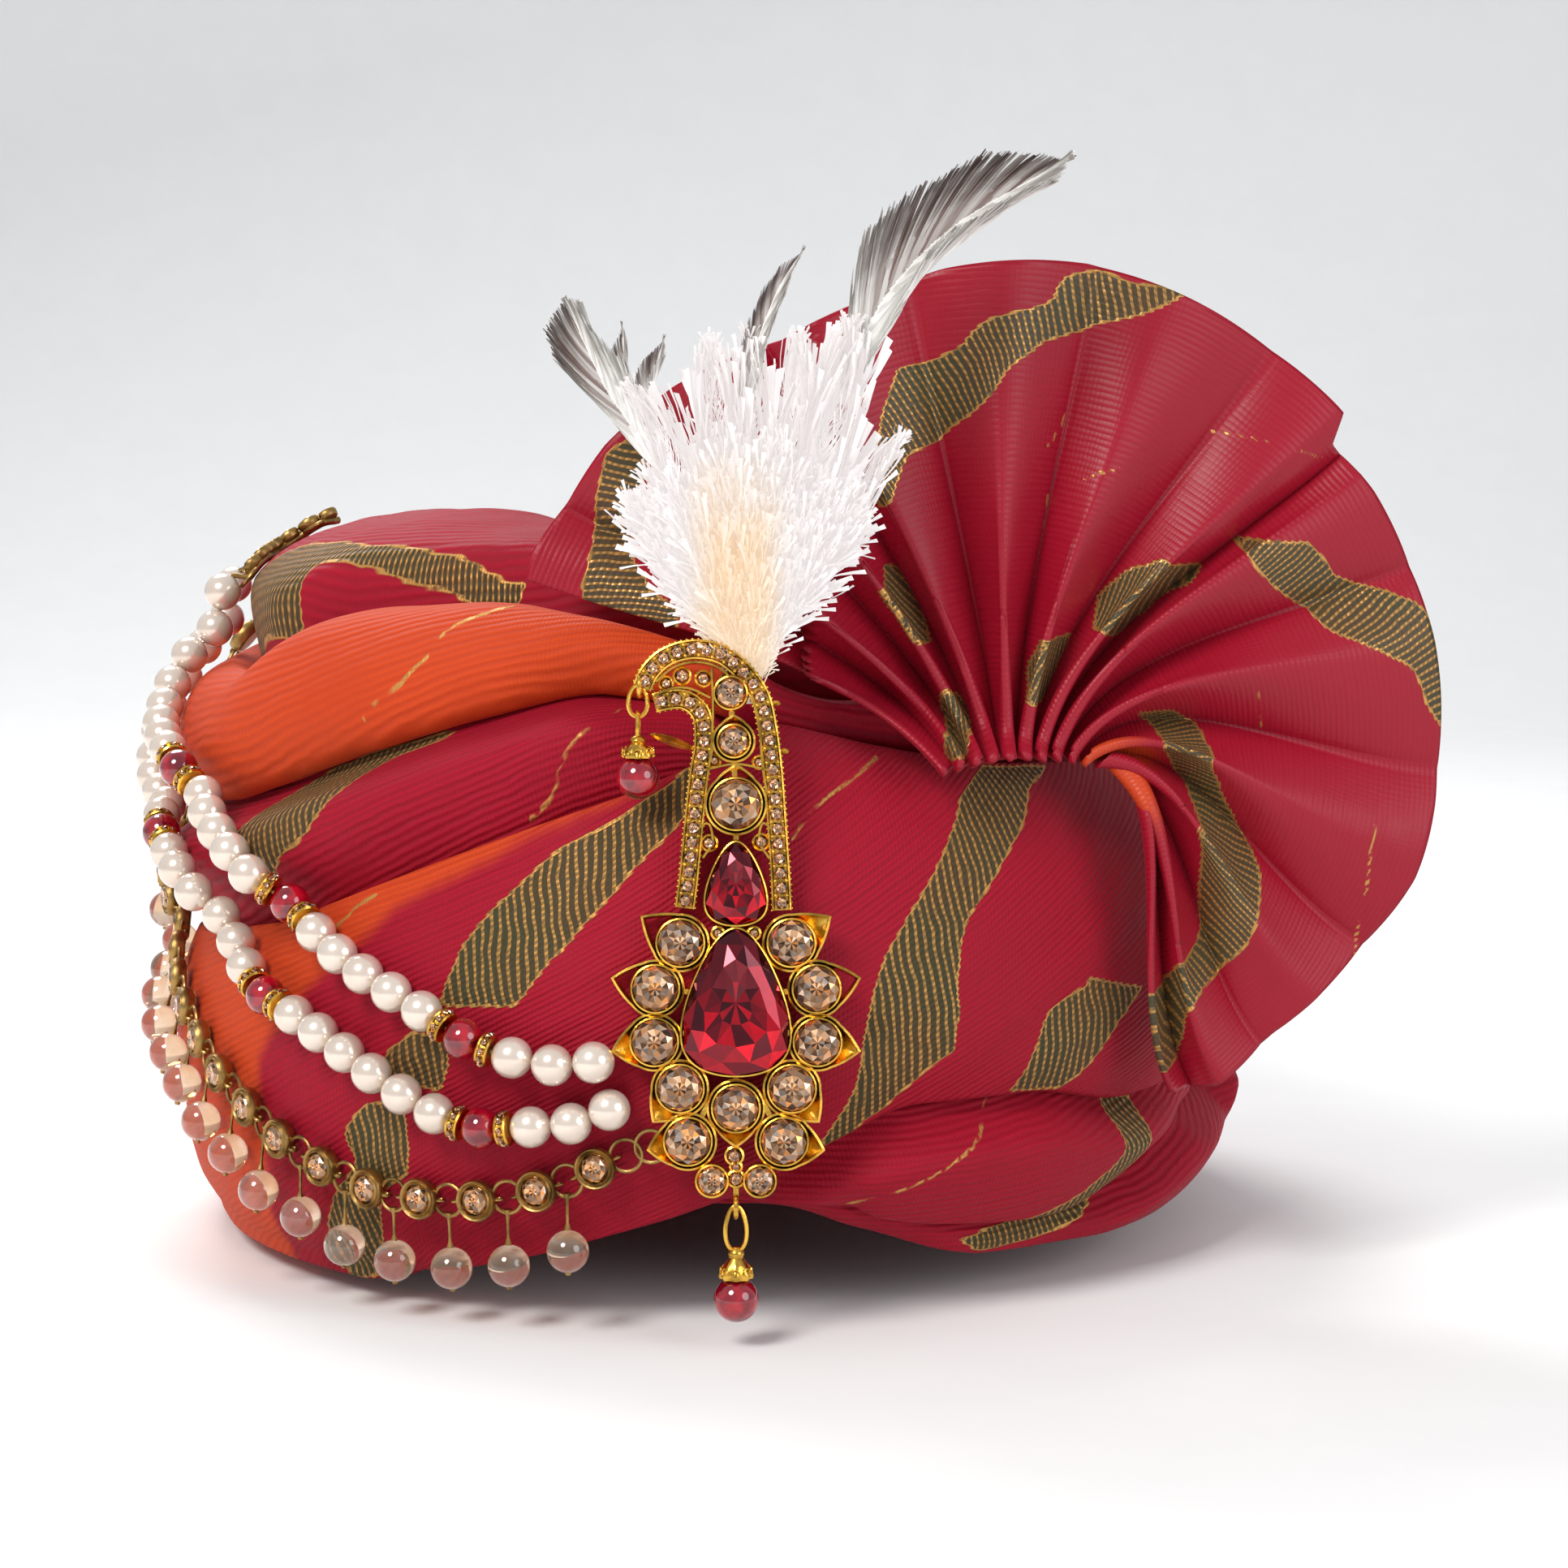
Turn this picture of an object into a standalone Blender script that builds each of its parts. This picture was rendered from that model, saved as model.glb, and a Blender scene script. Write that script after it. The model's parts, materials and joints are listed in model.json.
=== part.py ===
"""A tied turban pagri with a pleated fan, a plume, a paisley brooch and strings of beads.

Metres, +Z up. The front faces -Y and +X is to the right of someone who faces it.
The origin is the seat: the highest point inside the crown, where it rests on the head.
Cloth is laid by two measures: the angle round the head from the front, positive
towards +X, and the climb, which is the way up the crown's side from its rim.
"""
import math

import bmesh
import bpy
import numpy as np
from mathutils import Matrix, Vector

# The head's space and the wound under-turban round it
HEAD_WIDTH = 0.156
HEAD_LENGTH = 0.196
HEAD_DEPTH = 0.120
CROWN_SIDE = 0.010
CROWN_TOP = 0.006
CROWN_ROUND = 0.6

# The wraps of the sash
SASH_RISE = 0.026
FOLD_PUFF = 0.0025
EDGE_ROLL = 0.0035
TUCK_DEPTH = 0.0100
TUCK_RUN = 0.011
LEAST_RISE = 0.0025
EDGE_MARGIN = 0.0015
BOW_MARGIN = 1.2
WRAP_GAP = 0.0005

# The pleated fan
FAN_RADIUS = 0.095
FAN_CLOTH = 0.0022
FAN_PLEATS = 11
PLEAT_DEPTH = 0.0035
FAN_CLEARANCE = 0.0008
FAN_SWEEP_BACK = 0.22

# The plume
PLUME_HEIGHT = 0.100
PLUME_THICKNESS = 0.008
PLUME_STEM = 0.004

# The brooch
PLATE_THICKNESS = 0.0014
CUP_HEIGHT = 0.0022
CUP_WALL = 0.0007
STONE_GAP = 0.0003
BROOCH_LEAN = math.radians(6)
BROOCH_GAP = 0.0004
BROOCH_SIDE = 0.0063
BROOCH_REACH = 0.026
STEM_LENGTH = 0.050
RAIL_WIDTH = 0.0026
RAIL_HEIGHT = 0.0022
STRUT_WIDTH = 0.0020
STRUT_LIFT = 0.0001
PETAL_STONE = 0.0040
STEM_STONE = 0.0029
STEM_LOWER_STONE = 0.0047
FOOT_STONE = 0.0027
LARGE_PEAR_WIDTH = 0.0200
LARGE_PEAR_HEIGHT = 0.0268
SMALL_PEAR_WIDTH = 0.0112
SMALL_PEAR_HEIGHT = 0.0150
PEAR_STONE_RISE = 0.0030
PIN_DIAMETER = 0.0014
PIN_LENGTH = 0.024

# The drops
EYE_RADIUS = 0.0019
EYE_WIRE = 0.0005
LINK_WIRE = 0.00045
DROP_LINK_LENGTH = 0.0080
TIP_LINK_LENGTH = 0.0095
DROP_CAP_LENGTH = 0.0060
DROP_CAP_RADIUS = 0.0027
DROP_BEAD = 0.0084
TIP_CAP_LENGTH = 0.0042
TIP_BEAD = 0.0080
BEAD_SEAT_GAP = 0.0003

# The strings of beads
PEARL_DIAMETER = 0.0080
PEARL_WAIST = 0.0022
PEARL_SEAT = 0.0006
CHAIN_DIAMETER = 0.0070
CHAIN_SEAT = 0.0008
HOOK_WIRE = 0.0012
HOOK_SETTLE = 0.0004

# Columns of the cloth, closer together over the front
COLUMN_ANGLES = [*range(-114, 90, 8), *range(98, 240, 17)]

# How far the wraps stand out from the crown, as shares of SASH_RISE
# angle, flank, shoulder, crest
ENVELOPE = [
    (-180, 0.77, 0.92, 0.20),
    (-135, 0.96, 1.19, 0.35),
    (-90, 1.08, 1.50, 1.12),
    (-60, 1.00, 1.42, 1.12),
    (-30, 0.85, 1.23, 0.98),
    (0, 0.77, 0.92, 0.62),
    (30, 0.77, 0.69, 0.31),
    (60, 0.92, 0.69, 0.31),
    (90, 1.04, 0.69, 0.31),
    (135, 0.92, 0.77, 0.20),
    (180, 0.77, 0.92, 0.20),
]
# Climbs at which those hold, as shares of HEAD_DEPTH
FLANK_CLIMB = 0.37
SHOULDER_CLIMB = 0.92
CREST_CLIMB = 1.12
CENTRE_RISE = 0.12
RIM_DRAW = 0.84

# The rim's own line: the climb at which the cloth ends, as a share of HEAD_DEPTH
# angle, climb
RIM = [
    (-180, 0.03), (-135, 0.00), (-90, -0.01), (-57, -0.01), (-39, -0.01), (-30, 0.022),
    (-21, 0.058), (-10, 0.110), (0, 0.148), (8, 0.146), (19, 0.100), (33, 0.042),
    (44, 0.036), (64, 0.044), (83, 0.095), (120, 0.09), (180, 0.03),
]
CROWN_ABOVE_RIM = 0.035

# The wraps' lower and upper edges, as shares of HEAD_DEPTH
# angle, lower, upper
FRONT_WRAP = [
    (-180, 0.10, 0.66), (-135, 0.02, 0.55), (-90, -0.01, 0.46), (-50, -0.01, 0.535),
    (-41, -0.01, 0.578), (-31, 0.020, 0.630), (-19, 0.066, 0.692), (-9, 0.115, 0.742),
    (-1, 0.155, 0.790), (9, 0.225, 0.850), (14, 0.264, 0.842), (23, 0.308, 0.822),
    (37, 0.305, 0.794), (52, 0.267, 0.778), (76, 0.275, 0.740), (110, 0.27, 0.72),
    (145, 0.20, 0.71), (180, 0.10, 0.66),
]
LOWER_WRAP_INNER = [
    (-8, 0.125, 0.26), (4, 0.160, 0.30), (15, 0.158, 0.36), (19, 0.131, 0.38),
    (28, 0.108, 0.39), (41, 0.094, 0.38), (50, 0.125, 0.36), (58, 0.169, 0.35),
    (68, 0.21, 0.35), (82, 0.22, 0.34),
]
LOWER_WRAP_OUTER = [
    (-4, 0.147, 0.20), (8, 0.146, 0.21), (19, 0.100, 0.19), (33, 0.042, 0.16),
    (44, 0.036, 0.16), (54, 0.038, 0.20), (64, 0.044, 0.27), (83, 0.095, 0.34),
    (120, 0.09, 0.34), (180, 0.03, 0.19), (212, 0.01, 0.12),
]
LEFT_WRAP_3 = [
    (-180, 0.60, 0.84), (-135, 0.50, 0.80), (-90, 0.40, 0.74), (-67, 0.42, 0.745),
    (-54, 0.45, 0.785), (-40, 0.50, 0.845), (-25, 0.57, 0.91), (-12, 0.66, 0.945),
    (0, 0.72, 0.925), (20, 0.78, 0.90), (45, 0.72, 0.88), (90, 0.66, 0.86),
    (135, 0.64, 0.86), (180, 0.60, 0.84),
]
LEFT_WRAP_2 = [
    (-180, 0.76, 0.98), (-135, 0.72, 0.94), (-90, 0.66, 0.84), (-67, 0.685, 0.840),
    (-54, 0.725, 0.920), (-40, 0.783, 0.958), (-25, 0.842, 0.980), (-12, 0.888, 0.965),
    (0, 0.880, 0.940), (20, 0.83, 0.90), (45, 0.82, 0.90), (90, 0.80, 0.92),
    (135, 0.79, 0.96), (180, 0.76, 0.98),
]
LEFT_WRAP_1 = [
    (-180, 0.90, 1.30), (-135, 0.86, 1.36), (-90, 0.78, 1.34), (-67, 0.785, 1.34),
    (-54, 0.84, 1.36), (-40, 0.895, 1.36), (-25, 0.94, 1.34), (-12, 0.955, 1.30),
    (0, 0.94, 1.26), (20, 0.915, 1.24), (45, 0.90, 1.24), (90, 0.89, 1.26),
    (135, 0.89, 1.30), (180, 0.90, 1.30),
]

# The fan's outline round its gather: angle up from +X, share of FAN_RADIUS
FAN_OUTLINE = [
    (-63, 0.81), (-57, 0.85), (-46, 0.845), (-37, 0.865), (-28, 0.895), (-18, 0.93),
    (-8, 0.94), (13, 0.945), (34, 0.945), (42, 0.935), (44, 0.995), (56, 0.995),
    (80, 1.01), (97, 0.99), (107, 0.96), (118, 0.95), (132, 1.00), (142, 1.02),
    (150, 1.02), (157, 1.04), (160, 1.03),
]
# The gather's place: across as a share of HEAD_WIDTH, up from the rim of HEAD_DEPTH
FAN_GATHER = (0.367, 0.867)
FAN_RINGS = (0.07, 0.3, 0.56, 0.8, 1.0)
# The front roll beside the fan: height as a share of HEAD_DEPTH, rise of SASH_RISE
FRONT_ROLL = [(0.0, 1.0), (0.25, 1.05), (0.75, 1.0), (0.967, -0.3)]
ROLL_START = 0.23

# The plume's locks: side lean in degrees, length and width as shares of PLUME_HEIGHT
PLUME_LOCKS = [
    (-31, 0.82, 0.15), (-17, 0.72, 0.17), (-4, 0.74, 0.19), (7, 0.87, 0.18),
    (19, 0.74, 0.18), (31, 1.17, 0.13), (35, 0.62, 0.15),
]

# The leaf settings round the large pear, right side: angle round its middle, run past
# its cup as a share of PETAL_STONE, heading of the tip, reach of the tip in PETAL_STONE
PETALS = [
    (47, 0.20, 34, 2.25), (9.5, 0.37, 14, 2.13), (-26, 0.20, -12, 2.07),
    (-57, 0.12, -51, 2.05), (-71, 2.20, -12, 1.97),
]
CENTRE_PETAL_RUN = 0.30
# The stem's stones: runs between them going up, and side shifts, as shares of STEM_STONE
STEM_RUNS = (0.93, 1.45, 1.10)
STEM_SHIFTS = (-0.14, -0.34)
# The two foot stones: across, and down from the centre petal, as shares of FOOT_STONE
FOOT_SPREAD = 1.67
FOOT_RUN = 2.55
EYE_RUN = 1.85
# The curled stem's rails as shares of STEM_LENGTH from their foot: across, up
RAIL_FOOT = 0.67
OUTER_RAIL = [
    (-0.358, 0.856), (-0.300, 0.950), (-0.152, 1.000), (0.020, 0.920),
    (0.124, 0.780), (0.170, 0.600), (0.190, 0.310), (0.200, 0.000),
]
INNER_RAIL = [
    (-0.276, 0.824), (-0.220, 0.772), (-0.160, 0.752), (-0.124, 0.640),
    (-0.140, 0.500), (-0.174, 0.280), (-0.206, 0.000),
]
PLUME_ROOT = (0.044, 0.76)
BROOCH_CLIMB = 0.5

# Bead routes over the cloth: angle, climb as a share of HEAD_DEPTH, lift in pearls
UPPER_STRAND_ROUTE = [
    (-7.8, 0.395, 0), (-10, 0.388, 0), (-14, 0.383, 0), (-20.5, 0.403, 0),
    (-27, 0.450, 0), (-35, 0.498, 0), (-42.5, 0.553, 0), (-49.5, 0.611, 0),
    (-56, 0.653, 0), (-65, 0.706, 0), (-76, 0.744, 0), (-82, 0.785, 0),
    (-84, 0.830, 0), (-85, 0.880, 0), (-85, 0.915, 0),
]
LOWER_STRAND_ROUTE = [
    (-6.6, 0.330, 0), (-8.5, 0.320, 0), (-11.5, 0.300, 0), (-15.5, 0.291, 0),
    (-20.5, 0.284, 0), (-25, 0.298, 0), (-32, 0.350, 0), (-40, 0.406, 0),
    (-47.5, 0.442, 0), (-53.5, 0.500, 0), (-61, 0.578, 0), (-72, 0.630, 0),
    (-84, 0.675, 0.1), (-90, 0.730, 0.2), (-93, 0.785, 0.2), (-94, 0.840, 0.1),
    (-94, 0.895, 0), (-93, 0.915, 0),
]
CHAIN_ROUTE = [
    (-7.2, 0.250, 0), (-9, 0.238, 0), (-14, 0.200, 0), (-20, 0.172, 0),
    (-27, 0.161, 0), (-34, 0.164, 0), (-41, 0.194, 0), (-48, 0.236, 0),
    (-55.5, 0.292, 0), (-66, 0.372, 0), (-80, 0.456, 0.1), (-93, 0.530, 0.3),
    (-99, 0.600, 0.4), (-102, 0.680, 0.5), (-104, 0.760, 0.6), (-104, 0.840, 0.6),
    (-104, 0.900, 0.5), (-102, 0.960, 0.3), (-101, 0.985, 0.2),
]
HOOK_ROUTE = [
    (-87, 0.945, 0), (-90, 0.952, 0), (-94, 0.952, 0), (-97, 0.975, 0), (-98, 1.010, 0),
    (-101, 1.020, 0),
]
# Beads of the strings from the brooch on: p pearl, r red bead between two rondelles
UPPER_STRAND_BEADS = "ppprppppprppppprppp"
LOWER_STRAND_BEADS = "ppprpppppprpppppprppp"

BAND_ROWS = (-1.0, -0.82, -0.35, 0.35, 0.82, 1.0)
WIDE_ROWS = (-1.0, -0.88, -0.5, 0.0, 0.5, 0.88, 1.0)
BAND_BACK_ROWS = (0.9, 0.1, -0.9)
WIDE_BACK_ROWS = (0.94, 0.6, 0.1, -0.45, -0.94)


def clear_scene():
    for item in list(bpy.data.objects):
        bpy.data.objects.remove(item, do_unlink=True)


def finish(name, colour, roughness, metallic=0.0):
    material = bpy.data.materials.new(name)
    material.use_nodes = True
    shader = material.node_tree.nodes["Principled BSDF"]
    shader.inputs["Base Color"].default_value = (*colour, 1.0)
    shader.inputs["Roughness"].default_value = roughness
    shader.inputs["Metallic"].default_value = metallic
    return material


CRIMSON = (0.43, 0.010, 0.032)
ORANGE = (0.68, 0.09, 0.016)
GOLD = (0.78, 0.52, 0.16)
PEARL = (0.90, 0.86, 0.80)
RUBY = (0.42, 0.0, 0.02)
CHAMPAGNE = (0.75, 0.58, 0.42)
FEATHER = (0.88, 0.85, 0.78)


def make_object(name, bm, look):
    """A closed solid from a bmesh, with its faces turned out, shaded smooth."""
    bmesh.ops.recalc_face_normals(bm, faces=bm.faces[:])
    mesh = bpy.data.meshes.new(name)
    bm.to_mesh(mesh)
    bm.free()
    mesh.shade_smooth()
    mesh.set_sharp_from_angle(angle=math.radians(40))
    item = bpy.data.objects.new(name, mesh)
    bpy.context.scene.collection.objects.link(item)
    if look:
        mesh.materials.append(finish(name, *look))
    return item


def bridge_sections(bm, sections, closed):
    """Join loops of equal length, one after the other; open runs get end faces."""
    loops = [[bm.verts.new(point) for point in section] for section in sections]
    count = len(loops[0])
    pairs = list(zip(loops, loops[1:]))
    if closed:
        pairs.append((loops[-1], loops[0]))
    for first, second in pairs:
        for i in range(count):
            j = (i + 1) % count
            bm.faces.new((first[i], first[j], second[j], second[i]))
    if not closed:
        bm.faces.new(loops[0])
        bm.faces.new(list(reversed(loops[-1])))


def fuse(name, pieces, look):
    """One body from overlapping solids: a Boolean union, applied."""
    base, rest = pieces[0], pieces[1:]
    group = bpy.data.collections.new(name + "_parts")
    for piece in rest:
        group.objects.link(piece)
    union = base.modifiers.new("union", "BOOLEAN")
    union.operation = "UNION"
    union.operand_type = "COLLECTION"
    union.collection = group
    evaluated = base.evaluated_get(bpy.context.evaluated_depsgraph_get())
    bm = bmesh.new()
    bm.from_mesh(evaluated.to_mesh())
    evaluated.to_mesh_clear()
    for piece in pieces:
        bpy.data.objects.remove(piece, do_unlink=True)
    bpy.data.collections.remove(group)
    bmesh.ops.remove_doubles(bm, verts=bm.verts[:], dist=0.000002)
    return make_object(name, bm, look)


# The crown's surface

def crown_curve(half_width, half_length, height):
    """The side's profile by arc length: rho is the share of the half axes, rise of the height."""
    turn = np.linspace(0, math.pi / 2, 300)
    rho = np.cos(turn) ** CROWN_ROUND
    rise = np.sin(turn) ** CROWN_ROUND
    radius = (half_width + half_length) / 2
    steps = np.hypot(np.diff(rho) * radius, np.diff(rise) * height)
    return np.concatenate([[0.0], np.cumsum(steps)]), turn


HALF_WIDTH = HEAD_WIDTH / 2 + CROWN_SIDE
HALF_LENGTH = HEAD_LENGTH / 2 + CROWN_SIDE
CROWN_HEIGHT = HEAD_DEPTH + CROWN_TOP
CLIMB_STEPS, CLIMB_TURNS = crown_curve(HALF_WIDTH, HALF_LENGTH, CROWN_HEIGHT)
TOP_CLIMB = CLIMB_STEPS[-1]


def crown_frame(angle, climb):
    """The point of the crown at an angle in degrees and a climb, and its outward normal."""
    turn = np.interp(climb, CLIMB_STEPS, CLIMB_TURNS)
    rho, rise = math.cos(turn) ** CROWN_ROUND, math.sin(turn) ** CROWN_ROUND
    side, front = math.sin(math.radians(angle)), -math.cos(math.radians(angle))
    point = Vector((
        HALF_WIDTH * rho * side,
        HALF_LENGTH * rho * front,
        CROWN_HEIGHT * rise + min(climb, 0.0) - HEAD_DEPTH,
    ))
    power = 2 / CROWN_ROUND - 1
    normal = Vector((
        rho ** power * side / HALF_WIDTH,
        rho ** power * front / HALF_LENGTH,
        rise ** power / CROWN_HEIGHT,
    ))
    return point, normal.normalized()


def raised(angle, climb, height):
    point, normal = crown_frame(angle, climb)
    return point + normal * height


def crown_bow(angle, high, low):
    """How far the crown bows out past a straight line between two climbs."""
    top, _ = crown_frame(angle, high)
    bottom, _ = crown_frame(angle, low)
    middle, normal = crown_frame(angle, (high + low) / 2)
    return max(0.0, (middle - (top + bottom) / 2).dot(normal))


def table_column(rows, column, angle):
    return float(np.interp(angle, [row[0] for row in rows], [row[column] for row in rows]))


def folded_angle(angle):
    """The same angle between -180 and 180."""
    return (angle + 180) % 360 - 180


def envelope(angle, climb):
    """How far the wraps stand out from the crown."""
    angle = folded_angle(angle)
    flank, shoulder, crest = (SASH_RISE * table_column(ENVELOPE, i, angle) for i in (1, 2, 3))
    stations = [
        0.0,
        FLANK_CLIMB * HEAD_DEPTH,
        SHOULDER_CLIMB * HEAD_DEPTH,
        CREST_CLIMB * HEAD_DEPTH,
        TOP_CLIMB,
    ]
    rises = [flank * RIM_DRAW, flank, shoulder, crest, CENTRE_RISE * SASH_RISE]
    return float(np.interp(climb, stations, rises))


class Wrap:
    """One band of cloth: its edges, its rows at each column, and what lies over it."""

    def __init__(self, rows, closed, wide=False):
        self.rows, self.closed, self.over = rows, closed, []
        self.outer = WIDE_ROWS if wide else BAND_ROWS
        self.back = WIDE_BACK_ROWS if wide else BAND_BACK_ROWS
        if closed:
            self.columns = list(COLUMN_ANGLES)
        else:
            self.columns = [a for a in COLUMN_ANGLES if rows[0][0] <= a <= rows[-1][0]]

    def angle_in_table(self, angle):
        if self.closed or angle > self.rows[-1][0]:
            return folded_angle(angle)
        return angle

    def covers(self, angle):
        spot = self.angle_in_table(angle)
        return self.closed or self.columns[0] - 1 <= spot <= self.columns[-1] + 1

    def climb(self, angle, share):
        """The climb at a share across the band: -1 is the lower edge and 1 the upper."""
        spot = self.angle_in_table(angle)
        low = table_column(self.rows, 1, spot) * HEAD_DEPTH
        high = table_column(self.rows, 2, spot) * HEAD_DEPTH
        return low + (high - low) * (share + 1) / 2

    def cover(self, angle, climb):
        """1 where this band lies over a spot, falling to 0 a short way outside its edges."""
        if not self.covers(angle):
            return 0.0
        outside = max(self.climb(angle, -1) - climb, climb - self.climb(angle, 1), 0.0)
        near = max(0.0, 1 - outside / TUCK_RUN)
        return near * near * (3 - 2 * near)

    def height(self, angle, share):
        """The outer surface: puffed along the middle, rolled at the edges, and sunk
        where other bands lie over it."""
        climb = self.climb(angle, share)
        rise = envelope(angle, climb) + FOLD_PUFF * (1 - share * share)
        bend = max(0.0, (abs(share) - 0.35) / 0.65)
        rise -= EDGE_ROLL * bend * bend
        rise -= TUCK_DEPTH * sum(wrap.cover(angle, climb) for wrap in self.over)
        return max(rise, LEAST_RISE)

    def top_near(self, angle, low, high):
        """The highest outer point between two climbs, or none where the band is absent."""
        if not self.covers(angle):
            return None
        climbs = [self.climb(angle, share) for share in self.outer]
        if high < climbs[0] - EDGE_MARGIN or low > climbs[-1] + EDGE_MARGIN:
            return None
        heights = [self.height(angle, share) for share in self.outer]
        spots = np.clip(np.linspace(low, high, 9), climbs[0], climbs[-1])
        return float(max(np.interp(spots, climbs, heights)))

    def back_height(self, index, k, under):
        """The inner surface at one point: clear of everything beneath, seen from all sides."""
        count = len(self.columns)
        ends = (1.0,) + self.back + (-1.0,)
        highest = 0.0
        for column in (index - 1, index, index + 1):
            if not self.closed and not 0 <= column < count:
                continue
            angle = self.columns[column % count]
            low, high = self.climb(angle, ends[k + 2]), self.climb(angle, ends[k])
            for wrap in under:
                highest = max(highest, wrap.top_near(angle, low, high) or 0.0)
        own = self.columns[index]
        climbs = [self.climb(own, ends[j]) for j in (k, k + 1, k + 2)]
        flattening = max(crown_bow(own, climbs[0], climbs[1]), crown_bow(own, climbs[1], climbs[2]))
        return highest + WRAP_GAP + BOW_MARGIN * flattening

    def section(self, index, under):
        angle = self.columns[index]
        heights = [self.height(angle, share) for share in self.outer]
        loop = [
            raised(angle, self.climb(angle, share), height)
            for share, height in zip(self.outer, heights)
        ]
        for k, share in enumerate(self.back):
            height = self.back_height(index, k, under)
            loop.append(raised(angle, self.climb(angle, share), height))
        return loop

    def build(self, name, under, colour):
        bm = bmesh.new()
        sections = [self.section(i, under) for i in range(len(self.columns))]
        bridge_sections(bm, sections, self.closed)
        return make_object(name, bm, (colour, 0.75))


FRONT = Wrap(FRONT_WRAP, True, wide=True)
LOWER_INNER = Wrap(LOWER_WRAP_INNER, False)
LOWER_OUTER = Wrap(LOWER_WRAP_OUTER, False)
LEFT_3 = Wrap(LEFT_WRAP_3, True)
LEFT_2 = Wrap(LEFT_WRAP_2, True)
LEFT_1 = Wrap(LEFT_WRAP_1, True, wide=True)
LOWER_INNER.over = LEFT_2.over = [FRONT]
LOWER_OUTER.over = [FRONT, LOWER_INNER]
LEFT_3.over = LEFT_1.over = [FRONT, LEFT_2]
ALL_WRAPS = [FRONT, LOWER_INNER, LOWER_OUTER, LEFT_3, LEFT_2, LEFT_1]


def cloth_height(angle, climb, reach):
    """The top of the cloth near a spot, within a reach up, down and to both sides."""
    tops = [0.0]
    spread = math.degrees(reach / HALF_LENGTH)
    for turn in (-spread, 0.0, spread):
        for wrap in ALL_WRAPS:
            tops.append(wrap.top_near(angle + turn, climb - reach, climb + reach) or 0.0)
    return max(tops)


def build_crown():
    """The wound cap: an outer skin, a rim face and the head's hollow."""
    bm = bmesh.new()
    outer_shares = (0.0, 0.2, 0.45, 0.65, 0.85)
    inner_turns = [math.radians(a) for a in (76, 56, 34, 12)]
    sections = []
    for angle in COLUMN_ANGLES:
        rim = table_column(RIM, 1, folded_angle(angle)) + CROWN_ABOVE_RIM
        start = rim * HEAD_DEPTH
        loop = [
            raised(angle, start + (TOP_CLIMB - start) * share, 0.0) for share in outer_shares
        ]
        side, front = math.sin(math.radians(angle)), -math.cos(math.radians(angle))
        for turn in inner_turns:
            rho, rise = math.cos(turn) ** CROWN_ROUND, math.sin(turn) ** CROWN_ROUND
            loop.append(Vector((
                HEAD_WIDTH / 2 * rho * side,
                HEAD_LENGTH / 2 * rho * front,
                HEAD_DEPTH * (rise - 1),
            )))
        loop.append(Vector((
            HEAD_WIDTH / 2 * side,
            HEAD_LENGTH / 2 * front,
            loop[0].z,
        )))
        sections.append(loop)
    rows = [[bm.verts.new(section[i]) for section in sections] for i in range(len(sections[0]))]
    outer_count = len(outer_shares)
    count = len(rows[0])
    order = list(range(outer_count - 1, -1, -1)) + list(range(len(rows) - 1, outer_count - 1, -1))
    for first, second in zip(order, order[1:]):
        for i in range(count):
            j = (i + 1) % count
            bm.faces.new((rows[first][i], rows[first][j], rows[second][j], rows[second][i]))
    for row, top in ((rows[outer_count - 1], CROWN_TOP), (rows[outer_count], 0.0)):
        pole = bm.verts.new((0.0, 0.0, top))
        for i in range(count):
            bm.faces.new((row[i], row[(i + 1) % count], pole))
    return make_object("crown", bm, (CRIMSON, 0.85))


# The fan

def roll_front(across, height):
    """How far forward the front roll's face lies at a place on the fan's lower right."""
    rise = table_column(FRONT_ROLL, 1, height / HEAD_DEPTH) * SASH_RISE
    half_width, half_length = HALF_WIDTH + rise, HALF_LENGTH + rise
    share = min(0.999, abs(across) / half_width)
    return half_length * math.sqrt(1 - share * share)


def fan_point(angle, radius, face):
    gather = FAN_GATHER[0] * HEAD_WIDTH
    across = gather + radius * math.cos(math.radians(angle))
    height = FAN_GATHER[1] * HEAD_DEPTH + radius * math.sin(math.radians(angle))
    plane = 0.76 * HALF_LENGTH + SASH_RISE / 2
    plane -= FAN_SWEEP_BACK * max(0.0, across - gather)
    first, last = FAN_OUTLINE[0][0], FAN_OUTLINE[-1][0]
    phase = FAN_PLEATS * (angle - first) / (last - first)
    pleat = PLEAT_DEPTH * math.sin(2 * math.pi * phase) * min(1.0, radius / FAN_RADIUS)
    forward = plane
    if across > ROLL_START * HALF_WIDTH:
        forward = max(plane, roll_front(across, height) + PLEAT_DEPTH + FAN_CLEARANCE)
    depth = forward + pleat + face * FAN_CLOTH / 2
    return Vector((across, -depth, height - HEAD_DEPTH))


def build_fan():
    first, last = FAN_OUTLINE[0][0], FAN_OUTLINE[-1][0]
    steps = FAN_PLEATS * 4
    bm = bmesh.new()
    sections = []
    for i in range(steps + 1):
        angle = first + (last - first) * i / steps
        reach = FAN_RADIUS * table_column(FAN_OUTLINE, 1, angle)
        front = [fan_point(angle, reach * share, 1) for share in FAN_RINGS]
        back = [fan_point(angle, reach * share, -1) for share in reversed(FAN_RINGS)]
        sections.append(front + back)
    bridge_sections(bm, sections, False)
    return make_object("fan", bm, (CRIMSON, 0.45))


# The brooch, drawn flat and then leaned back against the cloth

def brooch_axes():
    up = Vector((0, math.sin(BROOCH_LEAN), math.cos(BROOCH_LEAN)))
    out = Vector((0, -math.cos(BROOCH_LEAN), math.sin(BROOCH_LEAN)))
    return up, out


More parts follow.
